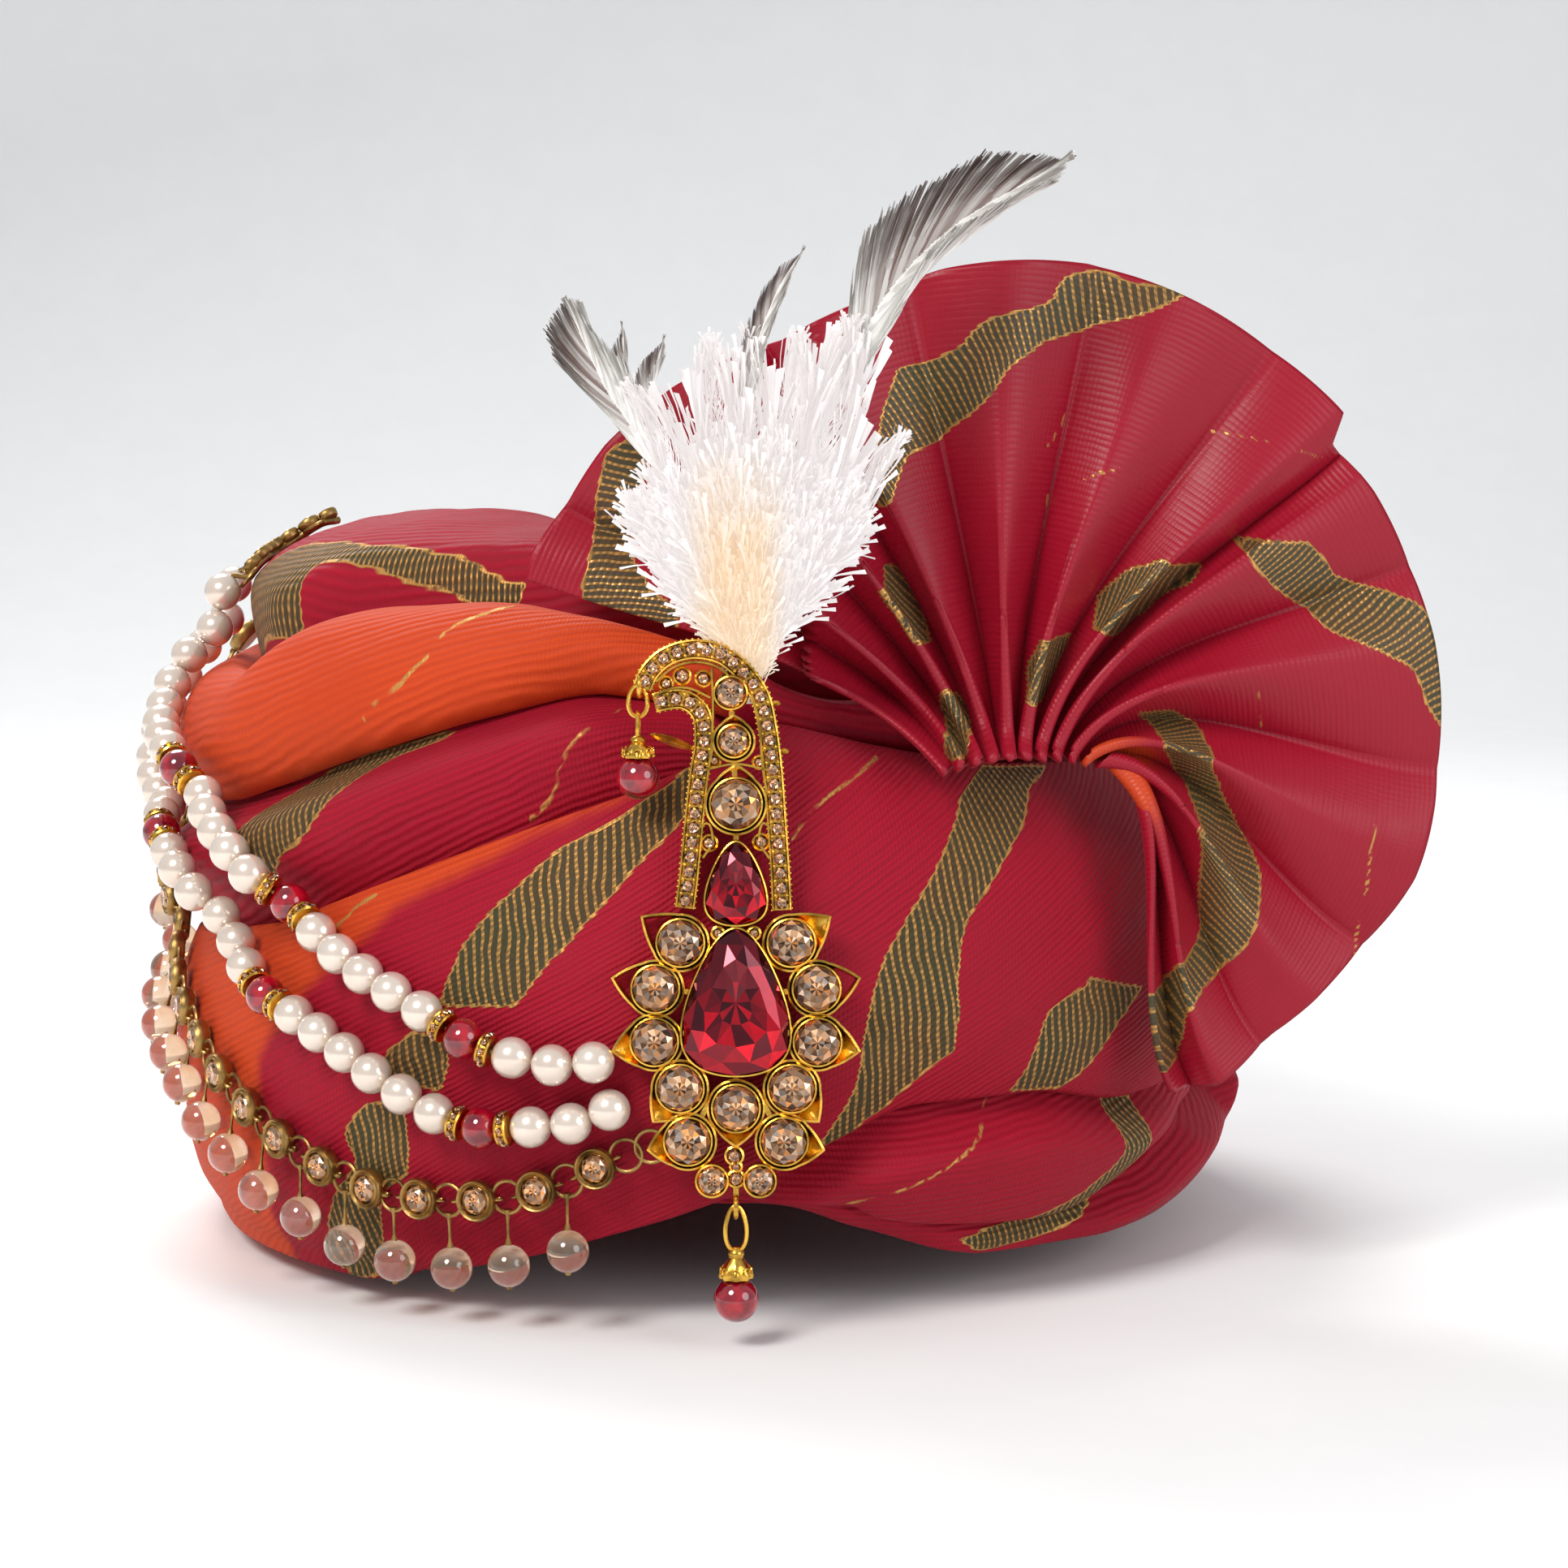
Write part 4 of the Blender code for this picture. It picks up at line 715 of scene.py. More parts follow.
def sash_finish(name, sheen, rib_pitch, rib_height, rib_shade, thread_pitch, thread_tilt, gloss, shine,
                deep):
    """Crinkled cloth. Its ribs run along the second way of the flat map, and their valleys take
    the cloth's shaded colour as painted shade; the stripe mark is the depth in a woven stripe,
    and gold lines its threads and outlines."""
    cloth = Finish(name, Sheen_Weight=sheen, Sheen_Roughness=0.35, Specular_IOR_Level=shine)
    cloth.surface.inputs["Sheen Tint"].default_value = (1.0, 0.35, 0.35, 1.0)
    flat = cloth.node("ShaderNodeUVMap", {"uv_map": "flat"})
    along, across = cloth.part(flat, 0), cloth.part(flat, 1)
    wander = cloth.noise(90.0, 2.0) - 0.5
    slow = cloth.noise(28.0, 2.0)
    quick = cloth.noise(420.0, 2.0)
    turns_across = across / rib_pitch
    main_rib = cloth.wave(turns_across + wander * 0.9)
    side_rib = cloth.wave(turns_across * 0.5 + wander * 1.1 + 0.3)
    rib = main_rib * (0.45 + 0.55 * quick) * 0.75 + side_rib * 0.35 * slow
    fade = cloth.step(cloth.noise(60.0, 3.0), 0.30, 0.58)
    rib = rib * (0.45 + 0.55 * fade)
    weave = cloth.wave(along / 0.0009 + wander * 1.2) * 0.12 + quick * 0.10
    depth = cloth.read("stripe") + (cloth.noise(230.0, 3.0) - 0.5) * 0.0009 + (main_rib - 0.5) * 0.0003
    inside = cloth.step(depth, -0.00012, 0.00012)
    border = cloth.step(depth, -0.00012, 0.0001) - cloth.step(depth, 0.00026, 0.00052)
    threads = along / thread_pitch + across * thread_tilt / thread_pitch + wander * 1.5
    thread = cloth.step(cloth.wave(threads), 0.60, 0.84) * (0.35 + 0.65 * main_rib)
    lone = 1 - cloth.step(cloth.read("gold_line") + (quick - 0.5) * 0.0004, 0.00018, 0.00045)
    lone = lone * cloth.step(cloth.noise(130.0, 2.0), 0.36, 0.46)
    broken = cloth.step(cloth.noise(700.0, 2.0), 0.28, 0.50)
    gold = cloth.larger(inside * thread * (0.45 + 0.55 * broken), lone)
    gold = cloth.larger(gold, border * (0.15 + 0.85 * broken))
    dyed = cloth.step(cloth.read("orange") + (cloth.noise(55.0, 3.0) - 0.5) * 0.5, 0.25, 0.75)
    light = cloth.mix(dyed, CRIMSON, ORANGE)
    dark = cloth.mix(dyed, SHADED_CRIMSON, SHADED_ORANGE)
    # Painted shade: the valleys between the ribs take the cloth's shaded colour.
    ground = cloth.mix((1 - rib) * rib_shade, light, dark)
    ground = cloth.mix(deep + (cloth.noise(16.0, 3.0) - 0.35) * 0.35, ground, dark)
    woven = cloth.mix(cloth.noise(45.0, 2.0), STRIPE_GREEN, STRIPE_BROWN)
    colour = cloth.mix(inside, ground, woven)
    colour = cloth.mix(gold, colour, THREAD_GOLD)
    bump = cloth.bump(rib + weave, rib_height, 1.0)
    bump = cloth.bump(gold, 0.00012, 0.7, bump)
    cloth.set(Base_Color=colour, Metallic=gold * 0.65, Normal=bump,
              Roughness=gloss + 0.18 * rib - gold * 0.12)
    return cloth.material


sash_cloth = sash_finish("crinkled_cotton", sheen=0.045, rib_pitch=RIB_PITCH, rib_height=0.00034,
                         rib_shade=0.55, thread_pitch=0.00178, thread_tilt=0.14, gloss=0.60,
                         shine=0.16, deep=0.06)


def piece(name, mesh, slot, *nodes, body="turban"):
    """A finished piece: it rides on its body and stands for its nodes. Its slot is not used."""
    item = add_object(name, mesh)
    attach(item, body)
    if nodes:
        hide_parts(*nodes)
    return item


FRONT_STRIPES = [
    ([(36, .789), (30, .736), (27, .689), (22, .603), (18, .528), (16, .436), (15, .344), (11, .242)],
     [(47, .781), (41, .744), (37, .692), (32, .628), (27, .553), (26, .461), (26, .392), (23, .358),
      (18, .297), (14, .258)]),
    ([(-1, .797), (-7, .728), (-14, .675), (-21, .589), (-24, .531), (-26, .450)],
     [(0, .736), (-4, .681), (-10, .594), (-14, .528), (-18, .458)]),
    ([(-29, .411), (-32, .372), (-32, .336)], [(-25, .411), (-25, .369), (-26, .325)]),
    ([(-35, .297), (-38, .236), (-37, .200), (-41, .125), (-43, .039), (-42, -.014)],
     [(-30, .306), (-30, .253), (-30, .200), (-34, .142), (-35, .072), (-37, 0)]),
    ([(43, .467), (42, .458), (37, .422), (36, .375), (34, .311)],
     [(51, .439), (47, .392), (44, .336), (41, .297)]),
]
FRONT_LINES = [
    [(21, .806), (15, .756), (11, .719), (9, .686)],
    [(-35, .600), (-38, .569), (-41, .533)],
]
FRONT_ORANGE = [
    (-1, .80), (-8, .753), (-14, .706), (-19, .686), (-25, .631), (-32, .578), (-41, .475),
    (-51, .336), (-50, .206), (-52, .067), (-51, -.06), (-104, -.06), (-98, .30), (-105, .60),
    (-60, .62), (-30, .70),
]
LOWER_STRIPES = [
    ([(50, .272), (48, .183), (44, .136), (37, .092), (29, .075)],
     [(55, .258), (53, .169), (49, .100), (44, .061), (32, .044)]),
]
LEFT_3_STRIPES = [
    ([(-29, .825), (-36, .803), (-44, .772), (-47, .758), (-52, .714), (-54, .656), (-57, .60)],
     [(-29, .825), (-33, .792), (-37, .769), (-39, .714), (-42, .664), (-47, .617), (-52, .56)]),
]
LEFT_1_STRIPES = [
    ([(-84, .819), (-83, .869), (-85, .925), (-75, .994), (-54, 1.019), (-40, 1.028), (-28, 1.025)],
     [(-71, .781), (-74, .869), (-61, .897), (-62, .967), (-50, .989), (-39, .992), (-30, .978)]),
]


DYE_BLEED = 0.012


def marks_of(stripes, lines, orange, seed, extra):
    """The three marks of a band: depth in a stripe, distance of a gold line, orange dye."""
    outlines = [stripe_between(left, right, seed + 7 * i) for i, (left, right) in enumerate(stripes)]
    outlines += [slanting_stripe(*row, seed + 90 + 11 * i) for i, row in enumerate(extra)]
    turn = np.array([360 * DEGREE, 0.0])
    outlines += [outline + turn * side for outline in outlines for side in (-1, 1)]

    def dye(flat):
        if orange is None:
            return np.zeros(len(flat))
        return smooth_step(0.5 + outline_depth(flat, on_cloth(orange)) / DYE_BLEED)

    return {
        "stripe": lambda flat: stripe_depth(flat, outlines),
        "gold_line": lambda flat: thread_distance(flat, lines, seed + 40),
        "orange": dye,
    }


def wrap_piece(name, node, band, columns, rows, marks, slot="sash_crimson"):
    """A band in its cloth."""
    mesh = band.shell(name, columns, rows, marks)
    mesh.materials.append(sash_cloth)
    item = piece(name, mesh, slot, node)
    low, high = band.edges(np.linspace(band.rows[0][0], band.rows[-1][0], 25)[:, None])


# The crown's wound cap
# The under-turban that the head goes into: cloth wound and pressed into a thin cap.
# Its inside is the head's hollow, lined by the same cotton; the bands are wound over it.

CROWN_ABOVE_RIM = 0.035
CROWN_SWELL = 0.0006
LINING_PLEAT = 0.004
crown_angles = np.linspace(-180, 180, 181)[:, None]
crown_start = rim_climb(crown_angles) + CROWN_ABOVE_RIM * HEAD_DEPTH
outer_share = np.linspace(1, 0, 44)[None, :]
outer_climbs = crown_start + (CAP_TOP_CLIMB - crown_start) * outer_share
swell = np.sin(math.pi * outer_share) * CROWN_SWELL
fold_noise = value_noise(5, crown_angles / 360 * NOISE_SIZE * 0.5, outer_climbs / 0.008)
outer_points = lifted(crown_angles, outer_climbs, swell * (1 + fold_noise))
inner_turns = np.linspace(0.02, math.pi / 2, 40)[None, :] + 0 * crown_angles
inner_rho, inner_rise = np.cos(inner_turns) ** CAP_ROUND, np.sin(inner_turns) ** CAP_ROUND
inner_side, inner_front = np.sin(np.radians(crown_angles)), -np.cos(np.radians(crown_angles))
inner_pleat = 1 - LINING_PLEAT * (1 + value_noise(6, crown_angles / 360 * NOISE_SIZE, inner_turns * 3))
inner_points = np.stack([
    HEAD_WIDTH / 2 * inner_rho * inner_side * inner_pleat,
    HEAD_LENGTH / 2 * inner_rho * inner_front * inner_pleat,
    HEAD_DEPTH * (inner_rise - 1),
], -1)
rim_heights = outer_points[:, -1:, 2]
inner_points[..., 2] = np.maximum(inner_points[..., 2], rim_heights)
crown_points = np.concatenate([outer_points, inner_points], 1)
crown_across = np.concatenate([outer_climbs, 0.4 - inner_turns * 0.1], 1)
crown_flat = np.stack([np.broadcast_to(crown_angles * DEGREE, crown_across.shape), crown_across], -1)
crown_zero = np.zeros(crown_points[:-1].shape[:2])
crown_marks = {"stripe": crown_zero - FAR, "gold_line": crown_zero + FAR, "orange": crown_zero}
crown_mesh = grid_mesh("crown_cloth", crown_points[:-1], crown_flat, crown_marks, True, False)
face_out(crown_mesh, 0.00002)
crown_mesh.materials.append(sash_cloth)
crown_cloth = piece("crown_cloth", crown_mesh, "sash_crimson", "crown")


# The six wound bands
# Each is one length of the sash, gathered to its width and wound over the last, with its
# edges turned under: two low on the wearer's left, three on the right, and the broad one.

LOWER_LINE = [(33, .300), (28, .239), (21, .189), (15, .158)]
LEFT_3_LINE = [(-9, .867), (-11, .825), (-14, .783), (-17, .728), (-19, .711)]
LEFT_2_LINE = [(-24, .953), (-30, .903), (-32, .864), (-36, .828), (-39, .800)]
LEFT_2_ORANGE = [
    (-130, .60), (-130, 1.05), (-30, 1.05), (4, 1.0), (2, .86), (-20, .80), (-40, .70), (-80, .6),
]
front_marks = marks_of(FRONT_STRIPES, FRONT_LINES, FRONT_ORANGE, 100, [
    (80, .30, .72, 18, 9), (112, .28, .70, -14, 10), (142, .22, .70, 16, 8), (172, .12, .64, -12, 10),
    (205, .05, .60, 14, 9), (236, .0, .52, -12, 9), (270, .0, .45, 12, 8),
])
lower_marks = marks_of(LOWER_STRIPES, [LOWER_LINE], None, 200, [
    (95, .10, .34, 12, 9), (130, .09, .32, -10, 9), (168, .04, .2, 8, 8),
])
left_3_marks = marks_of(LEFT_3_STRIPES, [LEFT_3_LINE], None, 300, [
    (-100, .42, .75, 14, 9), (-140, .5, .8, -12, 9), (180, .6, .84, 12, 8), (140, .64, .86, -10, 8),
    (100, .66, .86, 10, 8),
])
left_2_marks = marks_of([], [LEFT_2_LINE], LEFT_2_ORANGE, 400, [
    (180, .76, .98, 10, 8), (120, .79, .95, -8, 8), (-150, .72, .95, 8, 7),
])
left_1_marks = marks_of(LEFT_1_STRIPES, [], None, 500, [
    (-120, .9, 1.3, 20, 9), (170, .92, 1.28, -24, 10), (110, .9, 1.25, 20, 9), (50, .92, 1.22, -16, 9),
])
wrap_piece("front_wrap_cloth", "front_wrap", FRONT, 520, 76, front_marks)
wrap_piece("lower_inner_cloth", "lower_wrap_inner", LOWER_INNER, 150, 40, lower_marks)
wrap_piece("lower_outer_cloth", "lower_wrap_outer", LOWER_OUTER, 300, 40, lower_marks)
wrap_piece("left_3_cloth", "left_wrap_3", LEFT_3, 400, 50, left_3_marks)
wrap_piece("left_2_cloth", "left_wrap_2", LEFT_2, 400, 44, left_2_marks, "sash_orange")
wrap_piece("left_1_cloth", "left_wrap_1", LEFT_1, 400, 70, left_1_marks)


# The fan
# A length of finer, silkier sash, folded into a dozen knife pleats, drawn tight in a line
# behind the front roll and spread by hand into a stiff half wheel with a folded rim.

FAN_RADIUS = 0.095
FAN_SWEEP_BACK = 0.22
GATHER_X = 0.367 * HEAD_WIDTH
GATHER_Z = (0.867 - 1) * HEAD_DEPTH
# The rim round the gather: angle up from +X, share of FAN_RADIUS
FAN_RIM = [
    (-63, 0.81), (-57, 0.85), (-46, 0.845), (-37, 0.865), (-28, 0.895), (-18, 0.93),
    (-8, 0.94), (13, 0.945), (34, 0.945), (42, 0.935), (44, 0.995), (56, 0.995),
    (80, 1.01), (97, 0.99), (107, 0.96), (118, 0.95), (132, 1.00), (142, 1.02),
    (150, 1.02), (157, 1.04), (160, 1.03),
]
# The ridges of the pleats, by their angle at the rim, from the lower right round to the left
RIDGES = [-63, -56, -38, -16, 13, 36.5, 45, 69, 91, 115, 127, 144, 160]
# The way that the cloth leaves the gather: angle at the rim, angle at the gather
FAN_START = [(-63, -64), (-56, -48), (-38, -2), (-16, 36), (13, 62), (45, 78), (91, 92), (127, 110),
             (160, 132)]
GATHER_LEFT, GATHER_RIGHT = -0.0115, 0.0270
FRONT_ROLL = [(0.0, 1.0), (0.25, 1.05), (0.75, 1.0), (0.967, -0.3)]
ROLL_START = 0.23
ROLL_CLEARANCE = 0.0043
ROLL_BLEND = 0.003
FAN_WALL = 0.0013
PLEAT_COLUMNS, FAN_ROWS = 26, 84
LEAD_SHARE, REACH_SHARE = 0.30, 0.34
LAP = 0.0016

pleats = len(RIDGES) - 1
fan_p = np.linspace(0, pleats, pleats * PLEAT_COLUMNS + 1)[:, None]
fan_s = np.linspace(0, 1, FAN_ROWS)[None, :]
fan_angle = np.interp(fan_p, range(pleats + 1), RIDGES)
rim_reach = np.interp(fan_angle, *zip(*FAN_RIM)) * FAN_RADIUS
start_angle = np.radians(eased(*zip(*FAN_START), fan_angle))
gather_share = 1 - fan_p / pleats
start_x = GATHER_LEFT + (GATHER_RIGHT - GATHER_LEFT) * gather_share
start_z = -0.0015 + 0.0010 * np.sin(math.pi * gather_share) - 0.002 * gather_share ** 4
end_x = rim_reach * np.cos(np.radians(fan_angle))
end_z = rim_reach * np.sin(np.radians(fan_angle))
run = np.hypot(end_x - start_x, end_z - start_z)
lead_x = start_x + run * LEAD_SHARE * np.cos(start_angle)
lead_z = start_z + run * LEAD_SHARE * np.sin(start_angle)
reach_x = end_x - run * REACH_SHARE * np.cos(np.radians(fan_angle))
reach_z = end_z - run * REACH_SHARE * np.sin(np.radians(fan_angle))


def bent(first, second, third, last, share):
    """A Bezier curve's value at a share of its length."""
    back = 1 - share
    return (back ** 3 * first + 3 * back ** 2 * share * second + 3 * back * share ** 2 * third
            + share ** 3 * last)


fan_x = bent(start_x, lead_x, reach_x, end_x, fan_s)
fan_z = bent(start_z, lead_z, reach_z, end_z, fan_s)
across_fan = GATHER_X + fan_x
height_fan = HEAD_DEPTH + GATHER_Z + fan_z
plane = 0.76 * HALF_LENGTH + SASH_RISE / 2 - FAN_SWEEP_BACK * np.maximum(0.0, fan_x)
roll_rise = eased(*zip(*FRONT_ROLL), height_fan / HEAD_DEPTH) * SASH_RISE
roll_share = np.minimum(0.999, np.abs(across_fan) / (HALF_WIDTH + roll_rise))
roll_front = (HALF_LENGTH + roll_rise) * np.sqrt(1 - roll_share ** 2) + ROLL_CLEARANCE
roll_front = np.where(across_fan > ROLL_START * HALF_WIDTH, roll_front, 0.0)
forward = plane + ROLL_BLEND * np.logaddexp(0, (roll_front - plane) / ROLL_BLEND)

phase = (fan_p - np.floor(fan_p)) ** 0.80
fold = np.abs(np.cos(math.pi * phase)) ** 0.85 * 2 - 1
uneven = 1 + 0.25 * value_noise(71, fan_p, 0.5)
fan_fold = eased([0, 0.1, 0.35, 0.7, 1.0], [0.0026, 0.0036, 0.0050, 0.0040, 0.0024], fan_s)
ripple = value_noise(72, fan_p * 1.6, fan_s * 2.2) * 0.0016 * fan_s
ripple = ripple + value_noise(73, fan_p * 4.1, fan_s * 1.4) * 0.0007 * fan_s
crush = value_noise(74, fan_p * 2.5, fan_s * 9.0) * 0.0003
forward = forward + fan_fold * fold * uneven + ripple + crush
lap = np.sin(math.tau * phase) * LAP * smooth_step(1.2 - fan_s)
fan_x = fan_x + lap * np.sin(np.radians(fan_angle))
fan_z = fan_z - lap * np.cos(np.radians(fan_angle))
fan_points = np.stack([GATHER_X + fan_x, -forward, GATHER_Z + fan_z], -1)

# The fan's woven stripes and gold dashes, as places of the picture frame from 0 to 1932
PIXELS = 1932
FAN_STRIPES = [
    [(1105, 455), (1180, 430), (1210, 395), (1290, 370), (1310, 340), (1350, 333), (1400, 348), (1458, 362),
     (1420, 385), (1340, 405), (1290, 420), (1250, 450), (1210, 500), (1160, 540), (1120, 560), (1092, 625),
     (1072, 600), (1082, 520)],
    [(745, 560), (780, 540), (800, 560), (790, 620), (780, 680), (800, 720), (838, 760), (832, 792),
     (790, 775), (740, 755), (718, 735), (725, 690), (735, 620)],
    [(1085, 695), (1110, 705), (1135, 750), (1145, 795), (1130, 792), (1100, 750), (1085, 720)],
    [(1160, 845), (1180, 860), (1196, 885), (1192, 935), (1170, 935), (1163, 880)],
    [(1285, 785), (1320, 776), (1307, 820), (1290, 858), (1268, 872), (1268, 830)],
    [(1355, 735), (1400, 700), (1440, 690), (1484, 692), (1475, 715), (1440, 735), (1400, 765), (1370, 780),
     (1348, 775)],
    [(1520, 665), (1600, 665), (1640, 700), (1680, 720), (1750, 750), (1775, 790), (1800, 850), (1795, 915),
     (1755, 870), (1740, 830), (1690, 800), (1640, 780), (1600, 745), (1560, 715)],
    [(1400, 875), (1440, 870), (1480, 900), (1500, 960), (1530, 1020), (1552, 1090), (1540, 1150),
     (1500, 1200), (1470, 1230), (1450, 1300), (1415, 1330), (1400, 1240), (1440, 1200), (1480, 1130),
     (1480, 1060), (1470, 1000), (1450, 950), (1420, 900)],
]
FAN_DASHES = [
    [(1315, 505), (1288, 552)], [(1335, 592), (1375, 578)], [(1490, 530), (1560, 545), (1625, 562)],
    [(1690, 1010), (1680, 1100), (1662, 1210)], [(1545, 850), (1560, 912)], [(1290, 610), (1286, 655)],
]


def in_picture(points):
    """Where points fall in the picture, in pixels."""
    axes = camera.rotation_euler.to_matrix()
    local = (points - np.array(camera.location)) @ np.array(axes)
    scale = PIXELS * camera.data.lens / camera.data.sensor_width
    return np.stack([
        PIXELS / 2 + scale * local[:, 0] / -local[:, 2],
        PIXELS / 2 - scale * local[:, 1] / -local[:, 2],
    ], -1)


# The stripes are laid where the picture shows them, from places scaled to metres
PIXEL_SIZE = 0.000153
flat_fan = fan_points.copy()
flat_fan[..., 1] = -(forward - fan_fold * fold * uneven)
seen = in_picture(flat_fan.reshape(-1, 3)) * PIXEL_SIZE
fan_outlines = [
    wavy(np.array(outline + outline[:1]) * PIXEL_SIZE, 600 + 5 * i, 0.0004)[:-1]
    for i, outline in enumerate(FAN_STRIPES)
]
fan_dashes = np.full(len(seen), FAR)
for number, dash in enumerate(FAN_DASHES):
    line = wavy(np.array(dash) * PIXEL_SIZE, 700 + number, 0.0004)
    fan_dashes = np.minimum(fan_dashes, line_distance(seen, line))
orange_glow = smooth_step((fan_p < 3.2) * (1.1 - fan_s * 2.2))
orange_glow = orange_glow * (0.5 + 0.5 * value_noise(75, fan_p * 2, fan_s * 3))
fan_marks = {
    "stripe": stripe_depth(seen, fan_outlines).reshape(fan_x.shape),
    "gold_line": fan_dashes.reshape(fan_x.shape),
    "orange": orange_glow,
}
fan_flat = np.stack([np.radians(fan_angle) * FAN_RADIUS * 0.8 + 0 * fan_s, fan_s * rim_reach], -1)
fan_cloth = sash_finish("fan_silk_cloth", sheen=0.06, rib_pitch=0.0012, rib_height=0.00012, rib_shade=0.22,
                        thread_pitch=0.0014, thread_tilt=-0.35, gloss=0.36, shine=0.30, deep=0.34)
fan_mesh = grid_mesh("fan_pleats", fan_points, fan_flat, fan_marks, False, False)
face_out(fan_mesh)
fan_mesh.materials.append(fan_cloth)
fan_pleats = piece("fan_pleats", fan_mesh, "fan_silk", "fan")
wall = fan_pleats.modifiers.new("two_layers", "SOLIDIFY")
wall.thickness, wall.offset = FAN_WALL, 0.0


# The brooch's gilt casting
# A paisley brooch cast in brass and gilded: bezels and pointed leaves round the stones,
# two pavé rails that curl over at the head, and an eye below. It is pinned to the cloth.

BROOCH_LEAN = math.radians(6)
EYE_DOWN = 0.03848
PLATE = 0.0014
STONE_BASE = PLATE + 0.0003
brooch_up = Vector((0, math.sin(BROOCH_LEAN), math.cos(BROOCH_LEAN)))
brooch_out = Vector((0, -math.cos(BROOCH_LEAN), math.sin(BROOCH_LEAN)))
drop_hinge = Vector(frame["record"]["behaviour"]["joints"][0]["pos_m"])
brooch_seat = drop_hinge + brooch_up * EYE_DOWN - brooch_out * PLATE
brooch_axes = Matrix((Vector((1, 0, 0)), brooch_up, brooch_out)).transposed()
BROOCH = Matrix.Translation(brooch_seat) @ brooch_axes.to_4x4()

PETAL = 0.0043
LARGE_PEAR = (0.0206, 0.0274)
SMALL_PEAR = (0.0116, 0.0154)
# Right petals from the large pear's middle: across, up, heading of the leaf's tip, its reach
PETALS = [
    (0.0104, 0.0111, 34, 0.0090), (0.0151, 0.0025, 14, 0.0086), (0.0153, -0.0075, -12, 0.0083),
    (0.0105, -0.0162, -51, 0.0082), (0.0090, -0.0261, -12, 0.0079),
]
CENTRE_PETAL = (0.0, -0.0199)
SMALL_PEAR_PLACE = (0.0, 0.0222)
FEET = [(-0.0045, -0.0335), (0.0045, -0.0335)]
STEM_LOWER = (0.0, 0.0371)
STEM = [(-0.0004, 0.0489), (-0.0010, 0.0579)]
FOOT_RADIUS, STEM_LOWER_RADIUS, STEM_RADIUS = 0.0028, 0.0047, 0.0029
OUTER_RAIL = [
    (-0.0176, 0.0589), (-0.0162, 0.0618), (-0.0137, 0.0643), (-0.0105, 0.0657), (-0.0070, 0.0661),
    (-0.0029, 0.0652), (-0.0001, 0.0633), (0.0022, 0.0609), (0.0042, 0.0580), (0.0053, 0.0547),
    (0.0064, 0.0482), (0.0071, 0.0414), (0.0077, 0.0330), (0.0083, 0.0240), (0.0086, 0.0172),
]
INNER_RAIL = [
    (-0.0153, 0.0560), (-0.0128, 0.0566), (-0.0100, 0.0567), (-0.0076, 0.0554), (-0.0062, 0.0529),
    (-0.0060, 0.0482), (-0.0067, 0.0440), (-0.0074, 0.0385), (-0.0088, 0.0240), (-0.0096, 0.0176),
]


class Heap:
    """Closed shells gathered into one mesh."""

    def __init__(self):
        self.points, self.faces = [], []

    def add(self, points, faces):
        base = len(self.points)
        self.points += [tuple(point) for point in points]
        self.faces += [tuple(base + i for i in face) for face in faces]

    def bridge(self, loops, closed):
        """Join loops of equal length in turn; open runs get an end face at either end."""
        count = len(loops[0])
        pairs = [(k, k + 1) for k in range(len(loops) - 1)]
        if closed:
            pairs.append((len(loops) - 1, 0))
        faces = [
            (a * count + i, a * count + (i + 1) % count, b * count + (i + 1) % count, b * count + i)
            for a, b in pairs for i in range(count)
        ]
        if not closed:
            faces.append(tuple(range(count))[::-1])
            faces.append(tuple((len(loops) - 1) * count + i for i in range(count)))
        self.add([point for loop in loops for point in loop], faces)

    def mesh(self, name, material, matrix=None, smooth=True, sharp=42):
        mesh = bpy.data.meshes.new(name)
        mesh.from_pydata(self.points, [], self.faces)
        if matrix is not None:
            mesh.transform(matrix)
        face_out(mesh)
        if smooth:
            mesh.shade_smooth()
            mesh.set_sharp_from_angle(angle=math.radians(sharp))
        mesh.materials.append(material)
        return mesh


def walked(line):
    """The distance along a line at each of its points."""
    return np.concatenate([[0], np.cumsum(np.linalg.norm(np.diff(line, axis=0), axis=1))])


def circle(centre, radius, first, second, sides):
    """A closed round line about a centre, in the plane of two directions."""
    turn = np.arange(sides) * math.tau / sides
    return np.array(centre) + radius * (np.outer(np.cos(turn), first) + np.outer(np.sin(turn), second))


def curve_through(points, count):
    """Points at even distances on a smooth curve through a few points."""
    points = np.asarray(points, float)
    points = np.concatenate([[2 * points[0] - points[1]], points, [2 * points[-1] - points[-2]]])
    t = np.linspace(0, 1, 16, endpoint=False)[:, None]
    fine = [
        0.5 * (2 * b + (c - a) * t + (2 * a - 5 * b + 4 * c - d) * t * t + (3 * b - a - 3 * c + d) * t ** 3)
        for a, b, c, d in zip(points, points[1:], points[2:], points[3:])
    ]
    fine = np.concatenate(fine + [points[-2:-1]])
    walk = walked(fine)
    spots = np.linspace(0, walk[-1], count)
    return np.stack([np.interp(spots, walk, fine[:, i]) for i in range(fine.shape[1])], -1)


def headings(path, closed=False):
    """The direction of a line at each of its points."""
    if closed:
        ahead, behind = np.roll(path, -1, 0), np.roll(path, 1, 0)
    else:
        ahead, behind = np.concatenate([path[1:], path[-1:]]), np.concatenate([path[:1], path[:-1]])
    along = ahead - behind
    return along / np.maximum(np.linalg.norm(along, axis=1), 1e-12)[:, None]


def sideways(path):
    """The direction to the left of a flat line at each of its points."""
    along = headings(path)
    return np.stack([-along[:, 1], along[:, 0]], -1)


def moulding(heap, path, profile):
    """A strip of a section, given as sideways and height, along a line in the brooch's plane."""
    loops = [[(*(point + across * wide), high) for wide, high in profile]
             for point, across in zip(path, sideways(path))]
    heap.bridge(loops, False)


